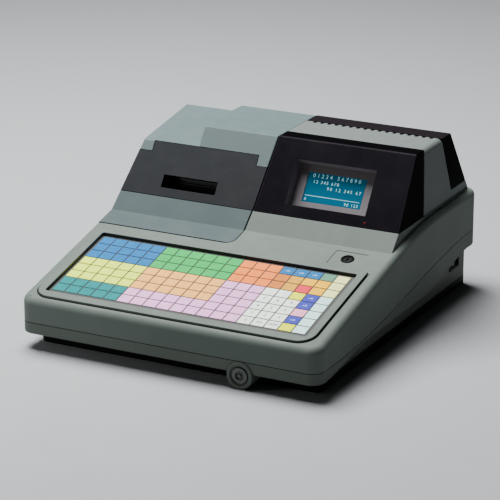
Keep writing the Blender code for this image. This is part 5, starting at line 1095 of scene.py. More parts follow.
@dataclass
class Enclosure:
    """Upper case, lower case, base pan and feet."""

    form: CaseForm
    hand: Finisher
    corner: float = 20.0 * MM
    top_edge: float = 8.0 * MM
    lower_wall: float = 2.5 * MM
    waist_side: float = 11.5 * MM
    waist_front: float = 28.0 * MM
    waist_rear: float = 7.0 * MM
    waist_corner: float = 9.0 * MM
    waist_foot: float = 13.0 * MM
    frame_to_lip: float = 16.6 * MM
    groove_width: float = 2.1 * MM
    frame_rise: float = 2.5 * MM
    frame_radii: tuple[float, ...] = (21.0 * MM, 21.0 * MM, 4.0 * MM, 4.0 * MM)
    seam_band: float = 0.7 * MM
    shelf: tuple[Point, ...] = ((-12.0 * MM, 1.5 * MM), (6.0 * MM, 6.2 * MM), (6.0 * MM, 3.7 * MM),
                                (-2.0 * MM, 3.7 * MM), (-2.0 * MM, 1.5 * MM))
    ear_radius: float = 4.5 * MM
    ear_width: float = 5.0 * MM
    reader_bore: float = 27.3 * MM
    inlet_half: Point = (13.8 * MM, 10.3 * MM)
    port_half: Point = (6.8 * MM, 6.3 * MM)
    port_first: float = 10.7 * MM
    port_pitch: float = 24.0 * MM
    ports: int = 4
    air_half: Point = (1.6 * MM, 14.0 * MM)
    air_first: float = -150.0 * MM
    air_pitch: float = 12.0 * MM
    air_slots: int = 9
    pan_slot_first: float = 56.0 * MM
    pan_slot_pitch: float = 9.0 * MM
    pan_slots: int = 7
    curve_steps: int = 28
    arc_steps: int = 12

    def __post_init__(self) -> None:
        """Work out the limits of the raised keyboard frame on the deck."""
        low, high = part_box("keyboard_overlay")
        rear = (self.form.crease - self.form.cover_lip) / cos(self.form.slope) - self.frame_to_lip
        self.frame_box = ((low.x - 11.7 * MM, high.x + 10.0 * MM), (10.5 * MM, rear))

    def make(self) -> None:
        """Model and finish the enclosure."""
        upper = self.upper()
        self.hand.paint(upper, (CASE_GREY, BLACK_AND_SEAM_SHADE, RIM_SHADE, GROOVE_SHADE, INSIDE_SHADE_GREY, RECESS_SHADE),
                        self.upper_coat)
        self.hand.done(upper, Body.TILL, CASE_GREY, "case_grey", ["upper_case"], 22.0, True)
        lower = self.lower()
        self.hand.paint(lower, (LOWER_GREY, BLACK_AND_SEAM_SHADE), self.lower_coat)
        self.hand.done(lower, Body.TILL, LOWER_GREY, "lower_grey", ["lower_case"], 24.0, True)
        self.hand.done(self.pan(), Body.TILL, BASE_BLACK, "base_black", ["base_pan"])
        self.feet()

    def upper_coat(self, middle: Vector, normal: Vector) -> Finish:
        """Finish of a face of the upper case: grey outside, painted shade inside, in the seams, on the recess
        walls and in the groove.

        Args:
            middle: middle of the face.
            normal: its normal.

        Returns:
            The finish.
        """
        form, deck = self.form, self.form.deck()
        depth, place = middle.y - form.front_y, deck.find(middle)
        # The rear wall of the recess gets a dark painted shade, its other walls a brown painted shade.
        if abs(normal.dot(deck.out)) < 0.3 and holds(self.recess_box(0.2 * MM), place):
            return RECESS_SHADE if normal.dot(deck.up) < -0.5 else RIM_SHADE
        # The groove round the frame gets a dark painted shade.
        reach = self.groove_width + 0.2 * MM
        if holds(grown(self.frame_box, reach), place) and -1.4 * MM < place[2] < -0.1 * MM:
            return GROOVE_SHADE
        # Faces inside the case get a dark grey as painted shade.
        room = form.wall - CLOSE * 2
        inward = normal.z < -0.1 or middle.x * normal.x + middle.y * normal.y < 0
        if self.within(middle, room) and inward and middle.z < form.top(depth) - room:
            return INSIDE_SHADE_GREY
        # Faces at the parting line and the bay's walls round the cover are painted black as shade in the
        # seams.
        seam_row = abs(middle.z - form.parting(depth)) < self.seam_band and normal.z < -0.5
        in_bay = (middle.x < form.seam + self.seam_band and abs(middle.x) < form.half - 0.5 * MM
                  and form.crease - form.cover_lip - 1.2 * MM < depth < form.depth - room
                  and middle.z < form.top(depth) - 0.4 * MM)
        at_left, at_rear = middle.x < -form.half / 2, depth > form.depth * 0.9
        outside = normal.x < -0.2 and at_left or normal.y > 0.2 and at_rear
        return BLACK_AND_SEAM_SHADE if seam_row or in_bay and not outside else CASE_GREY

    def lower_coat(self, middle: Vector, normal: Vector) -> Finish:
        """Finish of a face of the lower case: black as painted shade at the parting line and inside.

        Args:
            middle: middle of the face.
            normal: its normal.

        Returns:
            The finish.
        """
        flange = self.form.flange(middle.y - self.form.front_y)
        room = self.lower_wall - CLOSE * 2
        inward = middle.x * normal.x + middle.y * normal.y < 0
        inside = self.within(middle, room) and inward and middle.z > flange + room
        # Top faces at the parting line and the faces inside are painted black as shade.
        return BLACK_AND_SEAM_SHADE if inside or normal.z > 0.8 and middle.z > flange else LOWER_GREY

    def within(self, place: Vector, inset: float) -> bool:
        """Tell whether a place lies further in than a wall's thickness."""
        depth = place.y - self.form.front_y
        return abs(place.x) < self.form.half - inset and inset < depth < self.form.depth - inset

    def stations(self, inset: float) -> list[float]:
        """Depths at which curved lines take their points."""
        run = self.form.depth - 2 * inset
        return [inset + run * step / self.curve_steps for step in range(self.curve_steps + 1)]

    def shell_body(self, name: str, inset: float, low: Callable[[float], float]) -> Piece:
        """Rounded body of the upper case or of the room inside it.

        Args:
            name: name of the piece.
            inset: how far inside the outer form.
            low: height of the underside at a depth.

        Returns:
            The body.
        """
        form = self.form
        drop = inset / cos(form.slope)
        top = [(form.depth - inset, form.ledge_height - drop)]
        for step in range(self.arc_steps, -1, -1):
            depth = form.crease + form.ledge_run * step / self.arc_steps
            top.append((depth, form.top(depth) - drop))
        top.append((inset, form.top(inset) - drop))
        outline = [(depth, low(depth)) for depth in self.stations(inset)] + top
        half = form.half - inset
        body = Bench.drawn(name, form.side(), outline, -half, half)
        self.round_corners(body, half, self.corner - inset)
        Bench.round_edges(body, self.top_edge - inset, self.is_top_edge, 6)
        return body

    def round_corners(self, body: Piece, half: float, radius: float, segments: int = 10) -> None:
        """Round the upright corners of a body.

        Args:
            body: piece to work on.
            half: half its width.
            radius: radius of the rounding.
            segments: steps of the rounding.
        """
        rows = [corner.co.y for corner in body.data.vertices]
        ends = (min(rows), max(rows))

        def is_corner(edge: EdgeView) -> bool:
            """Tell whether an edge stands at a corner."""
            at_side = abs(abs(edge.a.x) - half) < CLOSE
            return edge.runs(Z_WAY) and at_side and min(abs(edge.a.y - end) for end in ends) < CLOSE

        Bench.round_edges(body, radius, is_corner, segments)

    @staticmethod
    def is_top_edge(edge: EdgeView) -> bool:
        """Tell whether an edge lies between a wall and the top."""
        heights = sorted(normal.z for normal in edge.normals)
        return len(heights) == 2 and abs(heights[0]) < 0.2 and heights[1] > 0.9

    def upper(self) -> Piece:
        """Upper case with the riser, the keyboard's frame and all its openings.

        Returns:
            The upper case.
        """
        form, wall = self.form, self.form.wall
        case = self.shell_body("upper_shell", 0.0, lambda depth: form.parting(depth) + GAP / 2)
        Bench.round_edges(case, 0.5 * MM, self.is_bottom_edge, 1)
        Bench.cut(case, self.shell_body("shell_room", wall, lambda depth: form.flange_front))
        Bench.fuse(case, self.riser("riser", 0.0))
        Bench.cut(case, self.riser("riser_room", wall))
        self.add_frame(case)
        self.open_bay(case)
        self.open_deck(case)
        self.open_rear(case)
        return case

    @staticmethod
    def is_bottom_edge(edge: EdgeView) -> bool:
        """Tell whether an edge lies between a wall and the underside."""
        heights = sorted(normal.z for normal in edge.normals)
        return len(heights) == 2 and heights[0] < -0.8 and abs(heights[1]) < 0.2

    def riser(self, name: str, inset: float) -> Piece:
        """Raised part under the display pod, or the room in it.

        Args:
            name: name of the piece.
            inset: how far inside the outer form.

        Returns:
            The riser or its room.
        """
        form, solid = self.form, inset == 0.0
        rear, top = form.riser_rear - inset, form.riser_height - inset
        front = form.crease + inset / sin(atan2(form.riser_rise, form.riser_run))
        run = form.riser_run * (top - form.crease_height) / form.riser_rise
        outline = [(front, form.crease_height), (front + run, top), (rear, top)]
        if solid:
            foot = form.ledge_height - form.wall / 2
            outline += [(rear, foot), (form.crease + form.ledge_run, foot),
                        (form.crease, form.crease_height - form.wall / 2)]
        else:
            foot = form.crease_height - form.wall * 3
            outline += [(rear, foot), (front, foot)]
        left = form.seam - OVERRUN if solid else form.pod_left(0.0) + inset
        body = Bench.drawn(name, form.side(), outline, 0.0, form.half)
        for corner in body.data.vertices:
            corner.co.x = left if corner.co.x < form.half / 2 else form.pod_right(corner.co.z) - inset
        if solid:
            Bench.round_edges(body, 1.6 * MM, self.is_riser_edge, 3)
        return body

    def is_riser_edge(self, edge: EdgeView) -> bool:
        """Tell whether an edge of the riser shows beside or in front of the pod.

        Args:
            edge: edge to judge.

        Returns:
            Whether it is one.
        """
        form, middle = self.form, edge.middle
        shows = middle.z > form.crease_height + MM and middle.x > form.seam
        behind = edge.runs(X_WAY) and middle.y > form.front_y + form.riser_top + MM
        return shows and edge.fold > radians(25) and not behind

    def recess_box(self, grow: float = 0.0) -> Box:
        """Limits of the keyboard's recess on the deck."""
        (left, right), (front, rear) = self.frame_box
        return grown(((left + 11.4 * MM, right - 9.7 * MM), (front + 11.5 * MM, rear - 8.3 * MM)), grow)

    def add_frame(self, case: Piece) -> None:
        """Raise the frame round the keyboard with a groove round its foot, and sink the recess in it.

        Args:
            case: case to work on.
        """
        deck, rise, width = self.form.deck(), self.frame_rise, self.groove_width
        outer = rounded(grown(self.frame_box, width), [radius + width for radius in self.frame_radii])
        Bench.cut(case, Bench.drawn("frame_groove", deck, outer, -1.2 * MM, rise))
        rim = Bench.drawn("frame_rim", deck, rounded(self.frame_box, self.frame_radii), -1.6 * MM, rise)
        Bench.round_edges(rim, 0.9 * MM, lambda edge: len(edge.normals) == 2
                          and min((n - deck.out).length for n in edge.normals) < 0.01, 3)
        Bench.fuse(case, rim)
        recess = rounded(self.recess_box(), 3.0 * MM, 5)
        Bench.cut(case, Bench.drawn("key_recess", deck, recess, -3 * self.form.wall, rise + OVERRUN))
        is_rim = rim_test(deck, self.recess_box(0.1 * MM), rise * 0.98, rise + MM)
        Bench.round_edges(case, 0.5 * MM, is_rim, 2)

    def open_bay(self, case: Piece) -> None:
        """Open the case under the printer cover and give it the cover's shelf and hinge ears.

        Args:
            case: case to work on.
        """
        form, seam = self.form, 1.0 * MM
        lip = form.crease - form.cover_lip
        front, rear, right = lip - seam, form.riser_rear + seam, form.seam + seam / 2
        depths = [front] + [form.crease + form.ledge_run * step / 8 for step in range(9)] + [rear]
        outline = [(depth, form.top(depth) - form.cover_skirt - seam) for depth in depths]
        outline += [(rear, form.pod_height), (front, form.pod_height)]
        bay = Bench.drawn("cover_bay", form.side(), outline, -form.half - OVERRUN, right)
        Bench.round_edges(bay, 13.0 * MM, lambda edge: edge.runs(Z_WAY) and abs(edge.a.x - right) < CLOSE
                          and abs(edge.a.y - form.front_y - front) < CLOSE, 8)
        Bench.cut(case, bay)
        shelf = [(lip + ahead, form.top(lip + ahead) - drop) for ahead, drop in self.shelf]
        Bench.fuse(case, Bench.drawn("lip_shelf", form.side(), shelf, 8.5 * MM - form.half,
                                     form.seam - 12.0 * MM))
        for ear in self.ears():
            Bench.fuse(case, ear)

    def ears(self) -> list[Piece]:
        """Ears for the cover's hinge pins, each with its bore.

        Returns:
            The ears.
        """
        form, side, radius = self.form, self.form.side(), self.ear_radius
        foot = form.ledge_height - form.wall / 2
        made = []
        for node in ("hinge_pin_left", "hinge_pin_right"):
            low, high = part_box(node)
            middle = middle_of(node)
            eye = (middle.y - form.front_y, middle.z)
            outline = [on_circle(pi * step / 12, radius, eye) for step in range(13)]
            outline += [(eye[0] - radius, foot), (eye[0] + radius, foot)]
            for left in (low.x, high.x - self.ear_width):
                right = left + self.ear_width
                ear = Bench.drawn("hinge_ear", side, outline, left, right)
                bore = circle(1.8 * MM, 20, eye)
                bore = Bench.drawn("pin_bore", side, bore, left - OVERRUN, right + OVERRUN)
                made.append(Bench.cut(ear, bore))
        return made

    def open_deck(self, case: Piece) -> None:
        """Sink the pocket of the mode lock into the deck.

        Args:
            case: case to work on.
        """
        low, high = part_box("lock_plate")
        deck = self.form.deck()
        seat = deck.moved(*deck.find(middle_of("lock_plate"))[:2])
        box = centred((high.x - low.x) / 2 + GAP, self.form.lock_half[1] + GAP)
        pocket = Bench.drawn("lock_pocket", seat, rounded(box, 2.5 * MM, 4), -2.0 * MM, OVERRUN)
        Bench.cut(case, pocket, Bench.drawn("lock_hole", seat, circle(8.5 * MM, 40), -9.0 * MM, OVERRUN))

    def open_rear(self, case: Piece) -> None:
        """Open the rear wall for the power inlet and the sockets, and cut air slots beside them.

        Args:
            case: case to work on.
        """
        form, inlet = self.form, middle_of("power_inlet")
        outlines = [rounded(centred(*self.inlet_half, (inlet.x, inlet.z)), 4.0 * MM, 4)]
        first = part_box("rear_ports")[0].x + self.port_first
        for index in range(self.ports):
            outlines.append(rectangle(centred(*self.port_half, (first + index * self.port_pitch, inlet.z))))
        for index in range(self.air_slots):
            box = centred(*self.air_half, (self.air_first + index * self.air_pitch, inlet.z))
            outlines.append(rounded(box, 1.5 * MM, 3))
        for outline in outlines:
            Bench.cut(case, Bench.drawn("rear_opening", form.front(), outline, -form.depth - OVERRUN,
                                        form.wall + OVERRUN - form.depth))

    def flange_body(self, name: str, inset: float, top: Callable[[float], float],
                    low: Callable[[float], float]) -> Piece:
        """Rounded band of the lower case, or the room in it.

        Args:
            name: name of the piece.
            inset: how far inside the outer form.
            top: height of the top at a depth.
            low: height of the underside at a depth.

        Returns:
            The band or its room.
        """
        stations, half = self.stations(inset), self.form.half - inset
        outline = [(depth, low(depth)) for depth in stations]
        outline += [(depth, top(depth)) for depth in reversed(stations)]
        body = Bench.drawn(name, self.form.side(), outline, -half, half)
        self.round_corners(body, half, self.corner - inset)
        return body

    def waist_body(self, name: str, inset: float, low: float, top: Callable[[float], float]) -> Piece:
        """Set-in wall below the flange, or the room in it.

        Args:
            name: name of the piece.
            inset: how far inside the outer form.
            low: height of the foot.
            top: height of the top at a depth.

        Returns:
            The wall or its room.
        """
        form = self.form
        front, rear = self.waist_front + inset, form.depth - self.waist_rear - inset
        steps = self.curve_steps
        stations = [front + (rear - front) * step / steps for step in range(steps + 1)]
        outline = [(front, low), (rear, low)] + [(depth, top(depth)) for depth in reversed(stations)]
        half = form.half - self.waist_side - inset
        body = Bench.drawn(name, form.side(), outline, -half, half)
        self.round_corners(body, half, self.waist_corner - inset, 6)
        return body

    def lower(self) -> Piece:
        """Lower case: a flange under the parting line on a set-in wall with ribs and openings.

        Returns:
            The lower case.
        """
        form, wall = self.form, self.lower_wall
        high = form.front_height + form.parting_climb
        case = self.flange_body("lower_shell", 0.0, lambda d: form.parting(d) - GAP / 2, form.flange)
        Bench.round_edges(case, 2.0 * MM, self.is_bottom_edge, 3)
        room = self.flange_body("flange_room", wall, lambda d: high, lambda d: form.flange(d) + wall)
        Bench.cut(case, room)
        Bench.fuse(case, self.waist_body("waist", 0.0, self.waist_foot, lambda d: form.flange(d) + wall / 2))
        Bench.cut(case, self.waist_body("waist_room", wall, self.waist_foot - OVERRUN, lambda d: high))
        self.open_switch(case)
        return Bench.cut(case, self.reader_tool(-self.reader_bore, OVERRUN))

    def reader_tool(self, low: float, high: float) -> Piece:
        """Round tool in the place of the touch-key reader.

        Args:
            low: how far in it starts.
            high: how far out it ends.

        Returns:
            The tool.
        """
        low_corner, high_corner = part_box("reader_boss")
        middle, radius = middle_of("reader_boss"), (high_corner.x - low_corner.x) / 2 + GAP
        outline = circle(radius, 48, (middle.x, middle.z))
        return Bench.drawn("reader_tool", self.form.front(), outline, low, high)

    def open_switch(self, case: Piece) -> None:
        """Open the right wall for the power switch.

        Args:
            case: case to work on.
        """
        (low, high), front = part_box("switch_body"), self.form.front_y
        outline = rectangle(grown(((low.y - front, high.y - front), (low.z, high.z)), -1.5 * MM))
        side = self.form.side()
        Bench.cut(case, Bench.drawn("switch_opening", side, outline, low.x - MM, high.x + OVERRUN))

    def pan(self) -> Piece:
        """Black base pan: a tray with a lap inside the lower case, air slots and a notch for the reader.

        Returns:
            The pan.
        """
        (low, high), plan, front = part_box("base_pan"), self.form.plan(), self.form.front_y
        box = ((low.x, high.x), (low.y - front, high.y - front))
        top, lap, wall = self.waist_foot - GAP, self.lower_wall + GAP, 2.0 * MM
        pan = Bench.drawn("pan_tray", plan, rounded(box, self.waist_corner), low.z, top)
        Bench.round_edges(pan, 1.5 * MM, self.is_bottom_edge, 3)
        inner = rounded(grown(box, -lap), 6.2 * MM)
        Bench.fuse(pan, Bench.drawn("pan_lap", plan, inner, top - OVERRUN, high.z))
        room = rounded(grown(box, -lap - wall), 4.2 * MM)
        Bench.cut(pan, Bench.drawn("pan_room", plan, room, 4.5 * MM, high.z + OVERRUN))
        under = rounded(grown(box, -wall), 7.0 * MM)
        Bench.cut(pan, Bench.drawn("pan_underside", plan, under, -MM, wall))
        for index in range(self.pan_slots):
            at = self.waist_front + self.pan_slot_first + index * self.pan_slot_pitch
            slot = rounded(((-126.0 * MM, -80.0 * MM), (at, at + 3.0 * MM)), 1.4 * MM, 3)
            Bench.cut(pan, Bench.drawn("pan_slot", plan, slot, 0.0, 7.0 * MM))
        return Bench.cut(pan, self.reader_tool(-self.reader_bore - self.waist_front, 0.0))

    def feet(self) -> None:
        """Rubber feet: ribbed discs with a sunken middle."""
        low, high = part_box("foot_front_left")
        middle, radius = middle_of("foot_front_left"), (high.x - low.x) / 2
        profile = [(0.0, high.z), (radius, high.z), (radius, 0.9 * MM), (radius - 0.5 * MM, 0.3 * MM),
                   (radius - 1.6 * MM, 0.0), (radius - 4.0 * MM, 0.0), (radius - 4.4 * MM, 0.6 * MM),
                   (0.0, 0.6 * MM)]
        seat = Seat(Vector((middle.x, middle.y, 0.0)), X_WAY, Y_WAY)
        first = Bench.turned("foot_pad_front_left", seat, profile, 40)
        for end in ("front", "rear"):
            for side in ("left", "right"):
                node = f"foot_{end}_{side}"
                piece = first
                if node != "foot_front_left":
                    piece = Bench.copy(first, f"foot_pad_{end}_{side}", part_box(node)[0] - low)
                self.hand.done(piece, Body.TILL, RUBBER, "rubber", [node])


@dataclass(frozen=True)
class Block:
    """Block of printed cells: its ink, columns from the left and rows from the front."""

    ink: Finish
    columns: tuple[int, int]
    rows: tuple[int, int]


BLUE = print_ink("blue", (0.006, 0.155, 0.4))
LEMON = print_ink("lemon", (0.8, 0.99, 0.07))
TEAL = print_ink("teal", (0.001, 0.21, 0.215))
GREEN = print_ink("green", (0.018, 0.44, 0.095))
PEACH = print_ink("peach", (0.98, 0.48, 0.12))
LILAC = print_ink("lilac", (0.88, 0.43, 0.76))
ORANGE = print_ink("orange", (0.98, 0.235, 0.035))
WHITE = print_ink("white", (0.91, 0.99, 0.92))
BROWN = print_ink("brown", (0.66, 0.2, 0.03))
OCHRE = print_ink("ochre", (0.75, 0.38, 0.03))
AMBER = print_ink("amber", (0.99, 0.5, 0.0))
RED = print_ink("red", (0.85, 0.035, 0.07))
VIOLET = print_ink("violet", (0.045, 0.055, 0.43))
PINK = print_ink("pink", (0.95, 0.4, 0.55))
YELLOW = print_ink("yellow", (0.86, 0.92, 0.0))
MOSS = print_ink("moss", (0.11, 0.28, 0.19))
ICE = print_ink("ice", (0.62, 0.94, 0.9))
CREAM = print_ink("cream", (0.9, 0.93, 0.36))

BLOCKS = (
    Block(BLUE, (1, 5), (6, 8)), Block(LEMON, (1, 5), (3, 5)), Block(TEAL, (1, 5), (1, 2)),
    Block(GREEN, (6, 11), (6, 8)), Block(PEACH, (6, 11), (3, 5)), Block(LILAC, (6, 14), (1, 2)),
    Block(ORANGE, (12, 14), (6, 8)), Block(LILAC, (12, 14), (3, 5)), Block(WHITE, (15, 17), (1, 5)),
    Block(BROWN, (15, 15), (6, 7)), Block(OCHRE, (16, 16), (6, 7)), Block(AMBER, (17, 18), (6, 7)),
    Block(BLUE, (15, 17), (8, 8)), Block(MOSS, (18, 18), (8, 8)), Block(RED, (17, 17), (6, 6)),
    Block(YELLOW, (17, 17), (5, 5)), Block(VIOLET, (18, 18), (4, 5)), Block(PINK, (18, 18), (3, 3)),
    Block(VIOLET, (18, 18), (2, 2)), Block(YELLOW, (18, 18), (1, 1)), Block(CREAM, (19, 19), (6, 8)),
    Block(ICE, (19, 19), (1, 5)),
)


@dataclass
class Keyboard:
    """Flat membrane with printed, embossed cells and the figures of its number keys."""

    form: CaseForm
    hand: Finisher
    enclosure: Enclosure
    columns: int = 19
    rows: int = 8
    recess: float = 2.0 * MM
    sheet: float = 0.1 * MM
    web: float = 0.85 * MM
    emboss: float = 0.5 * MM
    crown: float = 0.14 * MM
    margin_left: float = 3.4 * MM
    margin_right: float = 6.2 * MM
    margin_front: float = 8.6 * MM
    margin_rear: float = 3.4 * MM

    def __post_init__(self) -> None:
        """Work out the field of cells."""
        (left, right), (front, rear) = self.enclosure.recess_box()
        self.left, self.front = left + self.margin_left, front + self.margin_front
        self.pitch_x = (right - self.margin_right - self.left) / self.columns
        self.pitch_y = (rear - self.margin_rear - self.front) / self.rows
        self.deck = self.form.deck()

    def make(self) -> None:
        """Model and finish the keyboard."""
        self.hand.done(self.film(), Body.TILL, FILM_EDGE, "film", ["keyboard_overlay"])
        self.hand.done(self.cells(), Body.TILL, FILM_WEB, "film", keep_finishes=True)
        self.hand.done(self.numerals(), Body.TILL, DARK_INK, "base_black")
        self.hand.done(self.dashes(), Body.TILL, WHITE_INK, "film")
        self.hand.dress(STEEL, "keyboard_plate")
        self.hand.dress(BOARD_GREEN, "keyboard_board")

    def film(self) -> Piece:
        """Film of the membrane, whose plain margin shows round the cells.

        Returns:
            The film.
        """
        outline = rounded(self.enclosure.recess_box(-GAP), 2.7 * MM, 5)
        film = Bench.drawn("membrane_film", self.deck, outline, -3.0 * MM, -self.recess)
        Bench.soften(film, 0.25 * MM, 2)
        return film

    def middle(self, column: int, row: int) -> Point:
        """Middle of a cell on the deck."""
        return self.left + (column - 0.5) * self.pitch_x, self.front + (row - 0.5) * self.pitch_y

    def cells(self) -> Piece:
        """Sheet of cells: a grid whose faces are inset, raised and softened one by one.

        Returns:
            The sheet.
        """
        bpy.ops.object.select_all(action="DESELECT")
        bpy.ops.mesh.primitive_grid_add(x_subdivisions=self.columns, y_subdivisions=self.rows, size=1.0)
        sheet = bpy.context.object
        sheet.name = sheet.data.name = "membrane_cells"
        for corner in sheet.data.vertices:
            a = self.left + (corner.co.x + 0.5) * self.pitch_x * self.columns
            b = self.front + (corner.co.y + 0.5) * self.pitch_y * self.rows
            corner.co = self.deck.at(a, b, self.sheet - self.recess)
        Bench.edit(sheet, "FACE", True)
        bpy.ops.mesh.extrude_region_move(TRANSFORM_OT_translate={"value": self.deck.out * -2 * self.sheet})
        bpy.ops.mesh.select_all(action="SELECT")
        bpy.ops.mesh.normals_make_consistent(inside=False)
        Bench.close()
        self.choose_tops(sheet)
        Bench.edit(sheet, "FACE")
        bpy.ops.mesh.inset(thickness=self.web, use_individual=True)
        bpy.ops.mesh.extrude_faces_move(TRANSFORM_OT_shrink_fatten={"value": self.emboss})
        bpy.ops.mesh.inset(thickness=0.5 * MM, use_individual=True)
        bpy.ops.transform.translate(value=self.deck.out * self.crown)
        bpy.ops.mesh.inset(thickness=2.2 * MM, use_individual=True)
        bpy.ops.transform.translate(value=self.deck.out * self.crown)
        Bench.close()
        self.ink(sheet)
        return sheet

    def choose_tops(self, sheet: Piece) -> None:
        """Select the faces that look out of the deck.

        Args:
            sheet: sheet of cells.
        """
        for corner in sheet.data.vertices:
            corner.select = False
        for edge in sheet.data.edges:
            edge.select = False
        for face in sheet.data.polygons:
            face.select = face.normal.dot(self.deck.out) > 0.9

    def ink(self, sheet: Piece) -> None:
        """Give the faces of each cell the ink of its block; the web between them keeps the film's own.

        Args:
            sheet: sheet of cells.
        """
        inks = {}
        for block in BLOCKS:
            for column in range(block.columns[0], block.columns[1] + 1):
                for row in range(block.rows[0], block.rows[1] + 1):
                    inks[column, row] = block.ink
        floor = self.sheet - self.recess + self.emboss / 4

        def pick(middle: Vector, normal: Vector) -> Finish:
            """Ink of a face by its cell.

            Args:
                middle: middle of the face.
                normal: its normal.

            Returns:
                The finish.
            """
            across, up, out = self.deck.find(middle)
            cell = int((across - self.left) / self.pitch_x) + 1, int((up - self.front) / self.pitch_y) + 1
            return FILM_WEB if out < floor else inks.get(cell, FILM_WEB)

        self.hand.paint(sheet, [FILM_WEB, *dict.fromkeys(block.ink for block in BLOCKS)], pick)

    def top(self) -> float:
        """Height of the top of the cells above the deck."""
        return self.sheet - self.recess + self.emboss + 2 * self.crown

    def numerals(self) -> Piece:
        """Figures on the white keys.

        Returns:
            The figures as one piece.
        """
        made = []
        for index, words in enumerate(("7", "8", "9", "4", "5", "6", "1", "2", "3", "0", "00", "000")):
            seat = self.deck.moved(*self.middle(15 + index % 3, 4 - index // 3), self.top())
            made.append(Bench.figures(f"figure_{words}", seat, words, 7.4 * MM, 0.08 * MM))
        return Bench.gather("key_numerals", made)

    def dashes(self) -> Piece:
        """Short printed marks on the blue and violet keys.

        Returns:
            The marks as one piece.
        """
        made, low, high = [], self.top() - 0.05 * MM, self.top() + 0.05 * MM
        for key in ((15, 8), (16, 8), (17, 8), (18, 5), (18, 4), (18, 2)):
            a, b = self.middle(*key)
            for index, length in enumerate((3.2 * MM, 2.0 * MM)):
                foot = b + index * 1.9 * MM - 1.2 * MM
                bar = rounded(((a - length * (1 - index), a + length), (foot, foot + 0.8 * MM)), 0.35 * MM, 2)
                made.append(Bench.drawn("key_mark", self.deck, bar, low, high))
        return Bench.gather("key_marks", made)


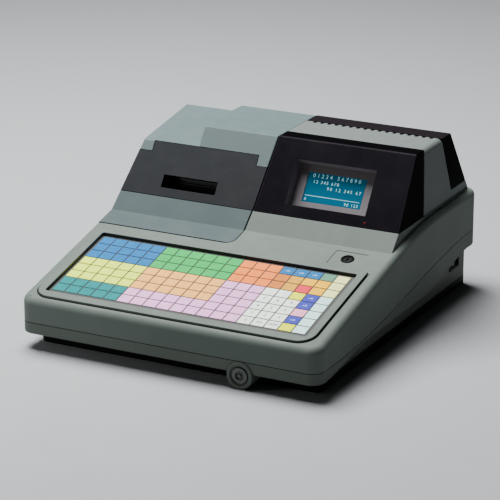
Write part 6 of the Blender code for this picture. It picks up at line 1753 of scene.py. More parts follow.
@dataclass
class DisplayPod:
    """Black front frame, grey housing, rear cover, and the displays in them."""

    form: CaseForm
    hand: Finisher
    band: float = 23.7 * MM
    band_lean: float = 5.0 * MM
    rear_slope: float = 53.0 * MM
    housing_run: float = 29.0 * MM
    cover_run: float = 28.0 * MM
    cover_rise: float = 10.7 * MM
    wall: float = 2.5 * MM
    sight_sink: float = 18.0 * MM
    sight_size: Point = (109.0 * MM, 59.4 * MM)
    sight_right: float = 49.6 * MM
    sight_foot: float = 15.6 * MM
    bezel_height: float = 2.2 * MM

    def __post_init__(self) -> None:
        """Work out the profile's places."""
        form = self.form
        self.face = form.face()
        self.foot = form.riser_height + GAP
        self.front_top = form.face_top + self.band
        self.front_foot = self.front_top - self.band_lean
        self.rear_foot = form.riser_rear
        self.rear_top = self.rear_foot - self.rear_slope
        self.cover_top = self.rear_top - self.housing_run
        self.cover_foot = self.cover_top + self.cover_run
        self.cover_height = form.riser_height + self.cover_rise
        right = form.half - form.pod_set_in - self.sight_right
        head = self.sight_foot + self.sight_size[1]
        self.sight = ((right - self.sight_size[0], right), (self.sight_foot, head))

    def make(self) -> None:
        """Model and finish the display pod."""
        front = self.front_frame()
        self.hand.done(front, Body.TILL, PANEL_BLACK, "gloss_black", ["display_frame"], 6.0, True)
        self.hand.done(self.housing(), Body.TILL, POD_GREY, "pod_grey", ["display_housing"], 24.0)
        cover = self.rear_cover()
        # Upward faces get a lighter purple as painted sheen, the rest near-black painted shade.
        self.hand.paint(cover, (BLACK_AND_SIDE_SHADE, SHELL_TOP_SHEEN),
                        lambda middle, normal: SHELL_TOP_SHEEN if normal.z > 0.7 else BLACK_AND_SIDE_SHADE)
        self.hand.done(cover, Body.TILL, BLACK_AND_SIDE_SHADE, "gloss_black", ["rear_cover"], keep_finishes=True)
        self.hand.done(self.bezel(), Body.TILL, BEZEL, "bezel_grey", ["display_bezel"])
        self.hand.done(self.glass(), Body.TILL, LCD_BLUE, "display_blue", ["display_glass"])
        self.hand.done(self.screen_marks(), Body.TILL, LCD_LIGHT, "display_blue")
        self.hand.done(self.lamp(), Body.TILL, LAMP_RED, "lamp_red", ["status_lamp"])
        self.hand.done(self.lens(), Body.TILL, LENS, "smoked", ["customer_lens"])
        self.hand.dress(BOARD_GREEN, "display_module", "customer_module")

    def rear_depth(self, z: float) -> float:
        """Depth of the sloping rear at a height."""
        share = (z - self.form.riser_height) / (self.form.pod_height - self.form.riser_height)
        return self.rear_foot + (self.rear_top - self.rear_foot) * share

    def drafted(self, name: str, outline: Sequence[Point], inset: float) -> Piece:
        """Solid of a side profile between the pod's drafted walls.

        Args:
            name: name of the piece.
            outline: profile as depth and height.
            inset: how far inside the outer form.

        Returns:
            The solid.
        """
        form = self.form
        body = Bench.drawn(name, form.side(), outline, 0.0, form.half)
        for corner in body.data.vertices:
            if corner.co.x < form.half / 2:
                corner.co.x = form.pod_left(corner.co.z) + inset
            else:
                corner.co.x = form.pod_right(corner.co.z) - inset
        return body

    def sight_tool(self, name: str, grow: float, low: float, high: float) -> Piece:
        """Block over the sunken display window."""
        return Bench.drawn(name, self.face, rectangle(grown(self.sight, grow)), low, high)

    def front_frame(self) -> Piece:
        """Black front with the window's walls sunk into it.

        Returns:
            The front.
        """
        form, wall = self.form, self.wall
        outline = [(form.riser_top, self.foot), (form.face_top, form.pod_height),
                   (self.front_top, form.pod_height), (self.front_foot, self.foot)]
        body = self.drafted("front_frame", outline, 0.0)
        Bench.soften(body, 1.3 * MM, 3)
        slant = wall / sin(form.face_slope)
        inner = [(form.riser_top + slant - wall, self.foot - OVERRUN - wall),
                 (form.face_top + slant - wall * 0.5, form.pod_height - wall),
                 (self.front_top + OVERRUN, form.pod_height - wall),
                 (self.front_top + OVERRUN, self.foot - OVERRUN - wall)]
        Bench.cut(body, self.drafted("frame_room", inner, wall))
        Bench.fuse(body, self.sight_tool("sight_walls", 2.0 * MM, -self.sight_sink, -wall / 2))
        Bench.cut(body, self.sight_tool("sight_opening", 0.0, -self.sight_sink - OVERRUN, OVERRUN))
        hole = circle(1.8 * MM, 24, self.lamp_place())
        Bench.cut(body, Bench.drawn("lamp_hole", self.face, hole, -5.0 * MM, OVERRUN))
        is_rim = rim_test(self.face, grown(self.sight, MM), -CLOSE * 2, CLOSE * 2)
        Bench.round_edges(body, 0.5 * MM, is_rim, 2)
        self.hand.paint(body, (PANEL_BLACK, SIGHT_WALL, BLACK_AND_SIDE_SHADE, PANEL_EDGE_HIGHLIGHT), self.frame_coat)
        return body

    def frame_coat(self, middle: Vector, normal: Vector) -> Finish:
        """Finish of a face of the front: panel black, grey in the sunken window, a painted highlight on the
        bevel round the panel, near-black painted shade elsewhere.

        Args:
            middle: middle of the face.
            normal: its normal.

        Returns:
            The finish.
        """
        place, facing = self.face.find(middle), normal.dot(self.face.out)
        sunk = -self.sight_sink - CLOSE < place[2] < -0.4 * MM
        if sunk and holds(grown(self.sight, CLOSE), place) and abs(facing) < 0.5:
            return SIGHT_WALL
        if place[2] > -CLOSE and facing > 0.99:
            return PANEL_BLACK
        # The bevel round the panel gets a painted highlight; the sides and the rest get near-black painted
        # shade.
        return PANEL_EDGE_HIGHLIGHT if place[2] > -MM and facing > 0.4 else BLACK_AND_SIDE_SHADE

    def housing(self) -> Piece:
        """Grey middle with a soft right shoulder and a row of air notches.

        Returns:
            The housing.
        """
        form, wall, top = self.form, self.wall, self.form.pod_height
        shelf = (self.rear_depth(self.cover_height), self.cover_height)
        outline = [(self.front_foot + GAP, self.foot), (self.front_top + GAP, top), (self.cover_top, top),
                   (self.cover_foot, self.cover_height), shelf, (self.rear_depth(self.foot), self.foot)]
        body = self.drafted("pod_housing", outline, 0.0)
        Bench.round_edges(body, 7.0 * MM, lambda edge: self.is_shoulder(edge, top), 8)
        Bench.soften(body, 1.0 * MM, 2, 35.0)
        inner = [(self.front_foot - wall, self.foot - wall), (self.front_top - wall, top - wall),
                 (self.cover_top + wall, top - wall), (self.cover_foot + wall, self.cover_height - wall),
                 (shelf[0] - wall, self.cover_height - wall), (shelf[0] - wall, self.foot - wall)]
        room = self.drafted("housing_room", inner, wall)
        Bench.round_edges(room, 6.0 * MM, lambda edge: self.is_shoulder(edge, top - wall), 6)
        Bench.cut(body, room)
        notches = [Bench.drawn("air_notch", form.plan(), notch, top - wall * 2, top + OVERRUN)
                   for notch in self.notch_outlines()]
        return Bench.cut(body, Bench.gather("air_notches", notches))

    def is_shoulder(self, edge: EdgeView, height: float) -> bool:
        """Tell whether an edge is the right shoulder at a height."""
        right = edge.middle.x > self.form.half / 2
        return right and edge.runs(Y_WAY) and edge.middle.z > height - CLOSE

    def notch_outlines(self) -> list[list[Point]]:
        """Round-ended notches in the rear edge of the housing's top, in plan.

        Returns:
            One outline for each notch.
        """
        top = self.form.pod_height
        left, right = self.form.pod_left(top) + 8.0 * MM, self.form.pod_right(top) - 8.0 * MM
        pitch, radius = 10.0 * MM, 2.6 * MM
        count = int((right - left) / pitch)
        first = (left + right - (count - 1) * pitch) / 2
        outlines = []
        for index in range(count):
            x, rear = first + index * pitch, self.cover_top + OVERRUN
            arc = [on_circle(pi + pi * step / 8, radius, (x, self.cover_top - 3.4 * MM)) for step in range(9)]
            outlines.append(arc + [(x + radius, rear), (x - radius, rear)])
        return outlines

    def rear_cover(self) -> Piece:
        """Black rear cover with the opening of the customer display.

        Returns:
            The cover.
        """
        form, wall, top = self.form, self.wall, self.form.pod_height
        low = self.cover_height + GAP
        outline = [(self.cover_top + GAP, top), (self.rear_top, top), (self.rear_depth(low), low),
                   (self.cover_foot + GAP, low)]
        body = self.drafted("pod_rear_cover", outline, 0.0)
        Bench.soften(body, 1.3 * MM, 3)
        inner = [(self.cover_top - OVERRUN, top - wall), (self.rear_top - wall * 0.5, top - wall),
                 (self.rear_depth(low + wall) - wall * 1.2, low + wall),
                 (self.cover_foot - OVERRUN, low + wall)]
        Bench.cut(body, self.drafted("rear_cover_room", inner, wall))
        lens = self.lens_outline(GAP)
        return Bench.cut(body, Bench.drawn("lens_opening", self.rear_seat(), lens, -wall * 2, OVERRUN))

    def rear_seat(self) -> Seat:
        """Seat on the rear slope, drawn as x and distance down the slope.

        Returns:
            The seat.
        """
        form = self.form
        way = Vector((0.0, self.rear_slope, form.riser_height - form.pod_height)).normalized()
        return Seat(Vector((0.0, form.front_y + self.rear_top, form.pod_height)), X_WAY, way)

    def lens_outline(self, grow: float) -> list[Point]:
        """Outline of the customer display's lens on the rear slope."""
        low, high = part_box("customer_lens")
        return rounded(grown(((low.x, high.x), (14.0 * MM, 50.0 * MM)), grow), 3.0 * MM, 5)

    def bezel(self) -> Piece:
        """Grey frame round the display glass, with a sloping inner lip.

        Returns:
            The bezel.
        """
        low = -self.sight_sink
        high, view = low + self.bezel_height, self.view_box()
        body = self.sight_tool("sight_bezel", -GAP, low, high)
        Bench.cut(body, Bench.drawn("bezel_view", self.face, rectangle(view), low - OVERRUN, low + 4.0 * MM))
        Bench.round_edges(body, 0.9 * MM, rim_test(self.face, grown(view, MM), high - CLOSE, high + CLOSE), 2)
        return body

    def view_box(self) -> Box:
        """Limits of the visible display on the face."""
        (left, right), (foot, head) = self.sight
        return (left + 13.5 * MM, right - 16.5 * MM), (foot + 11.2 * MM, head - 9.0 * MM)

    def glass(self) -> Piece:
        """Display glass.

        Returns:
            The glass.
        """
        outline, low = rectangle(grown(self.view_box(), -GAP)), -self.sight_sink
        body = Bench.drawn("screen_glass", self.face, outline, low, low + 1.4 * MM)
        Bench.soften(body, 0.2 * MM, 2)
        return body

    def screen_marks(self) -> Piece:
        """Generic figures and lines on the display.

        Returns:
            The marks as one piece.
        """
        (left, right), (foot, head) = self.view_box()
        level = -self.sight_sink + 1.45 * MM
        width, middle = right - left, (left + right) / 2
        lines = (("01234 567890", middle - 0.5 * MM, head - 4.2 * MM, 7.2 * MM, 1.6),
                 ("12 345 678", left + width * 0.33, head - 12.0 * MM, 6.0 * MM, 1.3),
                 ("90 12 345 67", left + width * 0.66, head - 19.0 * MM, 6.0 * MM, 1.44),
                 ("8", left + 3.6 * MM, foot + 3.6 * MM, 5.2 * MM, 1.0),
                 ("90 123", right - 13.0 * MM, foot + 3.6 * MM, 5.4 * MM, 1.3))
        made = [Bench.figures("screen_line", self.face.moved(a, b, level), words, size, 0.06 * MM, spread)
                for words, a, b, size, spread in lines]
        rule = rectangle(((left + 2.0 * MM, right - 3.0 * MM), (foot + 8.4 * MM, foot + 9.1 * MM)))
        made.append(Bench.drawn("screen_rule", self.face, rule, level - 0.03 * MM, level + 0.03 * MM))
        return Bench.gather("screen_marks", made)

    def lamp_place(self) -> Point:
        """Place of the status lamp on the face."""
        return self.sight[0][1] + 1.7 * MM, 6.8 * MM

    def lamp(self) -> Piece:
        """Domed red status lamp.

        Returns:
            The lamp's lens.
        """
        radius, foot, rim, dome = 1.5 * MM, -4.7 * MM, -0.3 * MM, 0.6 * MM
        profile = [(0.0, foot), (radius, foot), (radius, rim)]
        for step in range(1, 4):
            angle = step * pi / 8
            profile.append((radius * cos(angle), rim + dome * sin(angle)))
        profile.append((0.0, rim + dome))
        return Bench.turned("status_lamp_lens", self.face.moved(*self.lamp_place()), profile, 24)

    def lens(self) -> Piece:
        """Dark lens of the customer display.

        Returns:
            The lens.
        """
        body = Bench.drawn("customer_lens_pane", self.rear_seat(), self.lens_outline(0.0), -self.wall, -GAP)
        Bench.soften(body, 0.4 * MM, 2)
        return body


@dataclass
class PrinterCover:
    """Lift-up cover with its smoked window and the receipt slot."""

    form: CaseForm
    hand: Finisher
    seam: float = 0.85 * MM
    lip_round: float = 12.0 * MM
    lip_gap: float = 0.5 * MM
    lip_depth: float = 26.0 * MM
    wall_zone: float = 5.0 * MM

    def __post_init__(self) -> None:
        """Measure the cover and its window once."""
        self.low, self.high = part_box("printer_cover")
        low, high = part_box("cover_window")
        self.window_foot, self.window_front = low.z + 2 * MM, low.y + 4 * MM
        self.window_out = Vector((0.0, low.z - high.z, high.y - low.y)).normalized()

    def make(self) -> None:
        """Model and finish the cover and its window."""
        shell = Bench.taken("printer_cover", "cover_shell")
        Bench.round_edges(shell, 0.8 * MM, self.at_seam, 2)
        self.hand.paint(shell, (COVER_GREY, BLACK_AND_SEAM_SHADE, APRON_PAINTED_SHADE, INSIDE_SHADE_GREY, BLOCK_FRONT_PAINTED_LIGHT), self.coat)
        self.hand.done(shell, Body.COVER, COVER_GREY, "case_grey", ["printer_cover"], 11.0, True)
        pane = self.window()
        self.hand.paint(pane, (SMOKED, BLACK_AND_SEAM_SHADE), self.window_coat)
        self.hand.done(pane, Body.COVER, SMOKED, "smoked", ["cover_window"], 6.0, True)
        self.pins()

    def coat(self, middle: Vector, normal: Vector) -> Finish:
        """Finish of a face of the cover: grey outside; painted shade inside, on the skirt, along the seam and
        on the apron; painted light on the forward faces above the window.

        Args:
            middle: middle of the face.
            normal: its normal.

        Returns:
            The finish.
        """
        low, high, zone = self.low, self.high, self.wall_zone
        left_wall = normal.x < -0.3 and middle.x < low.x + zone
        rear_wall = normal.y > 0.3 and middle.y > high.y - zone
        # Inward faces get a dark grey as painted shade.
        if normal.z < -0.2 or normal.x < -0.5 and middle.x > high.x - zone:
            return INSIDE_SHADE_GREY
        # The skirt under the deck and the faces along the seam are painted black as shade in the gap.
        on_skirt = middle.z < self.form.top(middle.y - self.form.front_y) - 0.6 * MM
        if on_skirt and not (left_wall or rear_wall) or self.in_seam(middle, normal):
            return BLACK_AND_SEAM_SHADE
        # The apron below the window gets a darker grey as painted shade.
        if middle.z < self.window_foot and middle.y < self.window_front and normal.z > 0.3:
            return APRON_PAINTED_SHADE
        # Faces that look forward above the window get a lighter grey as painted light.
        return BLOCK_FRONT_PAINTED_LIGHT if normal.y < -0.6 and middle.z > self.window_foot else COVER_GREY

    def in_seam(self, middle: Vector, normal: Vector) -> bool:
        """Tell whether a face lies at the front or right edge of the cover's lip.

        Args:
            middle: middle of the face.
            normal: its normal.

        Returns:
            Whether it does.
        """
        right, behind = self.form.seam - self.lip_gap, middle.y - self.low.y
        on_lip = middle.y < self.window_front and middle.z < self.window_foot
        corner = Vector((middle.x - right + self.lip_round, behind - self.lip_round))
        return (behind < self.seam or behind < 3 * self.seam and normal.y < -0.6
                or middle.x > right - self.seam and on_lip
                or corner.x > 0 > corner.y and corner.length > self.lip_round - self.seam)

    def at_seam(self, edge: EdgeView) -> bool:
        """Tell whether an edge of the cover runs along the seam with the deck.

        Args:
            edge: edge to judge.

        Returns:
            Whether it does.
        """
        low, middle = self.low, edge.middle
        near = middle.y < low.y + self.lip_depth or middle.x > self.high.x - CLOSE * 2
        up = [normal.z for normal in edge.normals]
        return near and max(up) > 0.4 and abs(min(up)) < 0.2 and middle.x > low.x + 2 * MM

    def window_coat(self, middle: Vector, normal: Vector) -> Finish:
        """Finish of a face of the window: black on all but its broad faces."""
        return SMOKED if abs(normal.dot(self.window_out)) > 0.992 else BLACK_AND_SEAM_SHADE

    def window(self) -> Piece:
        """Smoked window with softened edges.

        Returns:
            The window.
        """
        pane = Bench.taken("cover_window", "window_pane")
        Bench.soften(pane, 0.5 * MM, 2, 40.0)
        return pane

    def pins(self) -> None:
        """Hinge pins with rounded ends."""
        for node in ("hinge_pin_left", "hinge_pin_right"):
            pin = round_bar(node, f"{node}_turned", 0.4 * MM, sides=24)
            self.hand.done(pin, Body.TILL, STEEL, "steel", [node])


@dataclass
class ModeLock:
    """Lock plate, lock body and turning barrel, sunk in the deck."""

    form: CaseForm
    hand: Finisher
    plate_top: float = -0.5 * MM
    plate_foot: float = -1.7 * MM
    body_radius: float = 8.2 * MM
    barrel_radius: float = 6.4 * MM
    foot: float = -24.0 * MM
    keyway: Point = (0.9 * MM, 4.0 * MM)

    def make(self) -> None:
        """Model and finish the lock."""
        joint = next(joint for joint in frame["joints"] if "lock" in joint["name"])
        deck = self.form.deck()
        seat = deck.moved(*deck.find(Vector(joint["pos_m"]))[:2])
        self.hand.done(self.plate(seat), Body.TILL, CASE_GREY, "case_grey", ["lock_plate"])
        self.hand.done(self.body(seat), Body.TILL, LOCK_BLACK, "dark_steel", ["lock_body"])
        self.hand.done(self.barrel(seat), Body.LOCK, LOCK_BLACK, "dark_steel", ["lock_barrel"])
        self.hand.dress(BRASS, "lock_nut")

    def plate(self, seat: Seat) -> Piece:
        """Flat plate with a softened rim and a countersunk hole.

        Args:
            seat: seat of the lock.

        Returns:
            The plate.
        """
        outline = rounded(centred(*self.form.lock_half), 2.2 * MM, 4)
        hole = circle(self.body_radius + GAP, 40)
        plate = Bench.drawn("lock_face_plate", seat, outline, self.plate_foot, self.plate_top)
        Bench.cut(plate, Bench.drawn("plate_hole", seat, hole, self.plate_foot - MM, OVERRUN))
        Bench.soften(plate, 0.3 * MM, 2, 60.0)
        return plate

    def body(self, seat: Seat) -> Piece:
        """Sleeve of the lock with a rolled lip.

        Args:
            seat: seat of the lock.

        Returns:
            The sleeve.
        """
        inner, outer = self.barrel_radius + GAP, self.body_radius
        profile = [(inner, self.foot), (outer, self.foot), (outer, 0.3 * MM), (outer - 0.2 * MM, 0.65 * MM),
                   (outer - 0.6 * MM, 0.8 * MM), (inner + 0.4 * MM, 0.8 * MM), (inner, 0.4 * MM)]
        return Bench.turned("lock_sleeve", seat, profile, 48, True)

    def barrel(self, seat: Seat) -> Piece:
        """Barrel with a dished face and the slot for the key.

        Args:
            seat: seat of the lock.

        Returns:
            The barrel.
        """
        radius = self.barrel_radius
        profile = [(0.0, self.foot), (radius, self.foot), (radius, -0.5 * MM), (radius - 0.5 * MM, 0.0),
                   (radius - 1.2 * MM, 0.0), (radius - 1.8 * MM, -0.5 * MM), (0.0, -0.5 * MM)]
        barrel = Bench.turned("lock_core", seat, profile, 48)
        slot = Bench.drawn("key_slot", seat, rectangle(centred(*self.keyway)), -10.0 * MM, OVERRUN)
        return Bench.cut(barrel, slot)


@dataclass
class TouchReader:
    """Round touch-key reader at the foot of the front."""

    form: CaseForm
    hand: Finisher
    cup: float = 11.8 * MM

    def make(self) -> None:
        """Model and finish the reader."""
        low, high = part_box("reader_boss")
        middle = middle_of("reader_boss")
        seat = self.form.front().moved(middle.x, middle.z)
        boss = self.boss(seat, (high.x - low.x) / 2)
        self.hand.done(boss, Body.TILL, LOWER_GREY, "lower_grey", ["reader_boss"])
        self.hand.done(self.ring(seat), Body.TILL, CONTACT, "aluminium", ["contact_ring"])
        pin = [(0.0, -0.3 * MM), (2.0 * MM, -0.3 * MM), (2.0 * MM, 1.2 * MM), (1.7 * MM, 1.6 * MM),
               (1.0 * MM, 1.8 * MM), (0.0, 1.8 * MM)]
        pin_piece = Bench.turned("reader_pin", seat, pin, 24)
        self.hand.done(pin_piece, Body.TILL, CONTACT, "aluminium", ["contact_pin"])

    def boss(self, seat: Seat, radius: float) -> Piece:
        """Boss with a stepped cup.

        Args:
            seat: seat of the reader.
            radius: radius of the boss.

        Returns:
            The boss.
        """
        cup = self.cup
        profile = [(0.0, -25.0 * MM), (radius, -25.0 * MM), (radius, 0.9 * MM),
                   (radius - 0.35 * MM, 1.65 * MM), (radius - 1.2 * MM, 2.0 * MM),
                   (cup + 1.2 * MM, 2.0 * MM), (cup + 0.7 * MM, 1.7 * MM),
                   (cup + 0.5 * MM, 1.0 * MM), (cup, 0.8 * MM), (cup, -0.6 * MM), (0.0, -0.6 * MM)]
        boss = Bench.turned("reader_cup", seat, profile, 64)

        def pick(middle: Vector, normal: Vector) -> Finish:
            """Black in the cup and grey round it.

            Args:
                middle: middle of the face.
                normal: its normal.

            Returns:
                The finish.
            """
            across, up, out = seat.find(middle)
            in_cup = hypot(across, up) < cup + 0.9 * MM and -MM < out < 1.7 * MM
            return BLACK_AND_SEAM_SHADE if in_cup else LOWER_GREY

        self.hand.paint(boss, (LOWER_GREY, BLACK_AND_SEAM_SHADE), pick)
        return boss

    def ring(self, seat: Seat) -> Piece:
        """Contact ring with a shallow groove.

        Args:
            seat: seat of the reader.

        Returns:
            The ring.
        """
        profile = [(5.2 * MM, -0.3 * MM), (10.0 * MM, -0.3 * MM), (10.0 * MM, 1.3 * MM), (9.6 * MM, 1.7 * MM),
                   (8.9 * MM, 1.7 * MM), (8.5 * MM, 1.4 * MM), (6.7 * MM, 1.4 * MM), (6.3 * MM, 1.7 * MM),
                   (5.6 * MM, 1.7 * MM), (5.2 * MM, 1.3 * MM)]
        return Bench.turned("reader_contact", seat, profile, 64, True)


@dataclass
class PowerEntry:
    """Power switch in the right wall, power inlet and sockets at the rear."""

    form: CaseForm
    hand: Finisher

    def make(self) -> None:
        """Model and finish the switch and the sockets."""
        self.hand.done(self.switch_frame(), Body.TILL, BASE_BLACK, "base_black", ["switch_body"])
        rocker = Bench.taken("power_rocker", "switch_rocker")
        seats = self.rocker_seats(rocker)
        Bench.soften(rocker, 0.5 * MM, 3, 50.0)
        self.hand.done(rocker, Body.ROCKER, BASE_BLACK, "base_black", ["power_rocker"])
        self.hand.done(self.marks(seats), Body.ROCKER, WHITE_INK, "base_black")
        self.sockets()

    def switch_frame(self) -> Piece:
        """Frame of the switch with its flange and its well.

        Returns:
            The frame.
        """
        (low, high), seat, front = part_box("switch_body"), self.form.side(), self.form.front_y
        box, rim = ((low.y - front, high.y - front), (low.z, high.z)), 1.2 * MM
        body = Bench.drawn("switch_frame", seat, rounded(box, rim, 3), high.x - rim, high.x)
        Bench.round_edges(body, 0.5 * MM, lambda edge: edge.middle.x > high.x - CLOSE, 2)
        inner = rounded(grown(box, -1.8 * MM), 0.6 * MM, 2)
        Bench.fuse(body, Bench.drawn("switch_case", seat, inner, low.x, high.x - rim / 2))
        foot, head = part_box("power_rocker")
        well = rectangle(((foot.y - front - 1.3 * MM, head.y - front + 1.3 * MM), (foot.z - MM, head.z + MM)))
        return Bench.cut(body, Bench.drawn("switch_well", seat, well, high.x - 11.0 * MM, high.x + OVERRUN))

    @staticmethod
    def rocker_seats(rocker: Piece) -> list[Seat]:
        """Seats on the two pressing faces of the rocker.

        Args:
            rocker: the rocker.

        Returns:
            The seats, from the front.
        """
        outer = [face for face in rocker.data.polygons if face.normal.x > 0.8]
        faces = sorted(outer, key=lambda face: -face.area)[:2]
        seats = []
        for face in sorted(faces, key=lambda face: face.center.y):
            across = Z_WAY.cross(face.normal).normalized()
            seats.append(Seat(face.center.copy(), across, face.normal.cross(across).normalized()))
        return seats

    @staticmethod
    def marks(seats: Sequence[Seat]) -> Piece:
        """On and off marks: a bar and a ring.

        Args:
            seats: seats of the marks.

        Returns:
            The marks as one piece.
        """
        foot, top, inner, outer = -0.05 * MM, 0.08 * MM, 1.0 * MM, 1.6 * MM
        bar = Bench.drawn("on_mark", seats[0], rectangle(centred(0.35 * MM, outer)), foot, top)
        profile = [(inner, foot), (outer, foot), (outer, top), (inner, top)]
        return Bench.gather("switch_marks", [bar, Bench.turned("off_mark", seats[-1], profile, 24, True)])

    def sockets(self) -> None:
        """Power inlet with its pins and the strip of sockets."""
        middle = middle_of("power_inlet")
        inlet = Bench.taken("power_inlet", "inlet_socket")

        def pick(place: Vector, normal: Vector) -> Finish:
            """Steel on the sides of the pins and black on the rest.

            Args:
                place: middle of the face.
                normal: its normal.

            Returns:
                The finish.
            """
            near = abs(place.x - middle.x) < 9.6 * MM and abs(place.z - middle.z) < 4.8 * MM
            pin = near and abs(normal.y) < 0.9 and place.y > middle.y - 2 * MM
            return STEEL if pin else BASE_BLACK

        self.hand.paint(inlet, (BASE_BLACK, STEEL), pick)
        self.hand.done(inlet, Body.TILL, BASE_BLACK, "base_black", ["power_inlet"], keep_finishes=True)
        ports = Bench.taken("rear_ports", "socket_strip")
        self.hand.done(ports, Body.TILL, DARK_STEEL, "dark_steel", ["rear_ports"])


@dataclass
class Printer:
    """Receipt printer under the cover, with the paper roll and its cradle."""

    hand: Finisher
    core: float = 6.5 * MM
    turns: int = 9

    def make(self) -> None:
        """Model and finish the printer."""
        for node, name, finish, slot, width in (
                ("printer_stand", "stand_plate", DARK_STEEL, "dark_steel", 0.4 * MM),
                ("printer_frame", "frame_plate", BLACK_AND_SIDE_SHADE, "dark_steel", 0.4 * MM),
                ("thermal_head", "head_block", CHIP_BLACK, "dark_steel", 0.25 * MM),
                ("tear_bar", "tear_blade", DARK_STEEL, "steel", 0.15 * MM),
                ("feed_motor", "motor_can", ALUMINIUM, "aluminium", 0.5 * MM),
                ("roll_cradle", "cradle_plate", BASE_BLACK, "base_black", 0.4 * MM),
                ("power_supply", "supply_case", ALUMINIUM, "aluminium", 0.6 * MM)):
            piece = Bench.taken(node, name)
            Bench.soften(piece, width, 2, 50.0)
            self.hand.done(piece, Body.TILL, finish, slot, [node])
        for node, name, body, finish, slot in (
                ("platen_gear", "gear_platen", Body.PLATEN, NYLON, "nylon"),
                ("idler_gear", "gear_idler", Body.IDLER, NYLON, "nylon"),
                ("motor_pinion", "gear_pinion", Body.PINION, BRASS, "brass")):
            piece = Bench.taken(node, name)
            Bench.soften(piece, 0.15 * MM, 1, 50.0)
            self.hand.done(piece, body, finish, slot, [node])
        self.rollers()
        self.board()

    def rollers(self) -> None:
        """Platen roller, shafts and the wound paper roll."""
        low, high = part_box("platen_shaft")
        bore = (high.z - low.z) / 2
        for node, name, body, finish, slot, chamfer, hole in (
                ("platen_roller", "roller_sleeve", Body.PLATEN, RUBBER, "rubber", 0.8 * MM, bore),
                ("platen_shaft", "roller_shaft", Body.PLATEN, STEEL, "steel", 0.5 * MM, 0.0),
                ("motor_shaft", "motor_spindle", Body.PINION, STEEL, "steel", 0.3 * MM, 0.0),
                ("roll_spindle", "spindle_tube", Body.ROLL, NYLON, "nylon", 0.6 * MM, 0.0)):
            self.hand.done(round_bar(node, name, chamfer, hole), body, finish, slot, [node])
        self.hand.dress(STEEL, "idler_pin")
        self.hand.done(self.paper(), Body.ROLL, PAPER, "paper", ["paper_roll"])

    def paper(self) -> Piece:
        """Wound roll whose end faces show the turns of the paper.

        Returns:
            The roll.
        """
        low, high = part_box("paper_roll")
        radius, length = max(high.z - low.z, high.y - low.y) / 2, high.x - low.x
        seat = Seat(Vector((low.x, (low.y + high.y) / 2, low.z + radius)), Y_WAY, Z_WAY)
        step = (radius - self.core) / self.turns
        ends = []
        for turn in range(self.turns):
            inner, dip = self.core + turn * step, (0.1 + 0.12 * (turn % 3)) * MM
            outer = inner + step - 0.15 * MM if turn < self.turns - 1 else radius
            ends += [(inner, dip), (outer, dip)]
        far = [(reach, length - dip) for reach, dip in reversed(ends)]
        return Bench.turned("paper_windings", seat, ends + far, 64, True)

    def board(self) -> None:
        """Main board with its chip and its posts in their own finishes."""
        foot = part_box("main_board")[0].z
        plate, top = foot + 6.0 * MM, foot + 7.6 * MM
        board = Bench.taken("main_board", "till_board")

        def pick(place: Vector, normal: Vector) -> Finish:
            """Chip above the plate, posts below it.

            Args:
                place: middle of the face.
                normal: its normal.

            Returns:
                The finish.
            """
            if place.z > top + CLOSE:
                return CHIP_BLACK
            return BRASS if place.z < plate - CLOSE else BOARD_GREEN

        self.hand.paint(board, (BOARD_GREEN, BRASS, CHIP_BLACK), pick)
        self.hand.done(board, Body.TILL, BOARD_GREEN, "board_green", ["main_board"], keep_finishes=True)


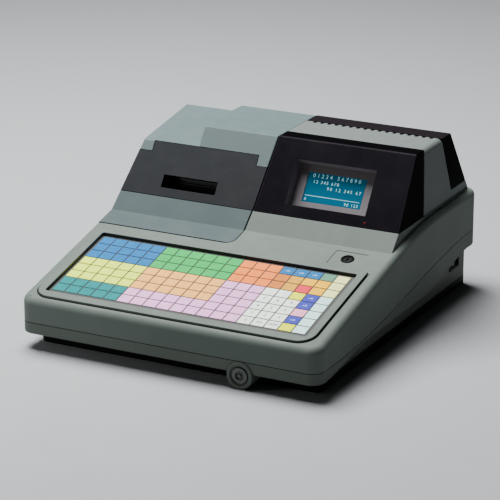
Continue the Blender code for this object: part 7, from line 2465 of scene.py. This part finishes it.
@dataclass
class Studio:
    """Floor, lights and camera."""

    floor_size: float = 6.0
    floor_colour: Triple = (0.33, 0.34, 0.35)
    air_colour: tuple[float, ...] = (0.82, 0.9, 0.93, 1.0)
    air_strength: float = 0.025
    camera_place: Triple = (1.3116, -2.575, 1.0621)
    camera_tilt: float = radians(90.0 - 18.70)
    camera_turn: float = radians(27.136)
    camera_lens: float = 176.72

    def make(self) -> None:
        """Set up the studio."""
        self.floor()
        self.world()
        self.lamp("key_light", (-0.62, 0.27, 1.96), 1.3, 145.0, (0.0, 0.0, 0.1))
        self.lamp("front_fill", (-0.46, -0.62, 0.2), 0.24, 0.85, (-0.15, -0.2, 0.05))
        self.camera()

    def floor(self) -> None:
        """Plain pale floor."""
        bpy.ops.object.select_all(action="DESELECT")
        bpy.ops.mesh.primitive_plane_add(size=self.floor_size)
        floor = bpy.context.object
        floor.name = "studio_floor"
        finish = Finish("studio_floor_paper", self.floor_colour, 0.8, bump=0.0, shade=0.99)
        floor.data.materials.append(finish.material())

    def world(self) -> None:
        """Even pale surroundings."""
        world = bpy.data.worlds.new("studio_air")
        world.use_nodes = True
        shader = world.node_tree.nodes["Background"]
        shader.inputs["Color"].default_value = self.air_colour
        shader.inputs["Strength"].default_value = self.air_strength
        bpy.context.scene.world = world

    def lamp(self, name: str, place: Triple, size: float, power: float, target: Triple) -> None:
        """Soft square light aimed at a place.

        Args:
            name: name of the light.
            place: place of the light.
            size: width of the light.
            power: power in watts.
            target: place it is aimed at.
        """
        light = bpy.data.lights.new(name, "AREA")
        light.shape = "SQUARE"
        light.size = size
        light.energy = power
        lamp = bpy.data.objects.new(name, light)
        lamp.location = place
        way = Vector(target) - Vector(place)
        lamp.rotation_euler = way.to_track_quat("-Z", "Y").to_euler()
        lamp.visible_camera = False
        bpy.context.scene.collection.objects.link(lamp)

    def camera(self) -> None:
        """Camera at the photograph's angle."""
        lens = bpy.data.cameras.new("till_camera")
        lens.lens = self.camera_lens
        lens.sensor_width = 36.0
        eye = bpy.data.objects.new("till_camera", lens)
        eye.location = self.camera_place
        eye.rotation_euler = (self.camera_tilt, 0.0, self.camera_turn)
        bpy.context.scene.collection.objects.link(eye)
        bpy.context.scene.camera = eye


def write_sizes() -> None:
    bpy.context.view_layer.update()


def main() -> None:
    """Build every sub-assembly in order."""
    logging.basicConfig(level=logging.INFO, format="%(relativeCreated)6d %(name)s: %(message)s")
    form, hand = CaseForm(), Finisher()
    Studio().make()
    enclosure = Enclosure(form, hand)
    enclosure.make()
    Keyboard(form, hand, enclosure).make()
    for assembly in (DisplayPod, PrinterCover, ModeLock, TouchReader, PowerEntry):
        assembly(form, hand).make()
    Printer(hand).make()
    write_sizes()
    log.info("%d new pieces", hand.count)


if __name__ == "__main__":
    main()
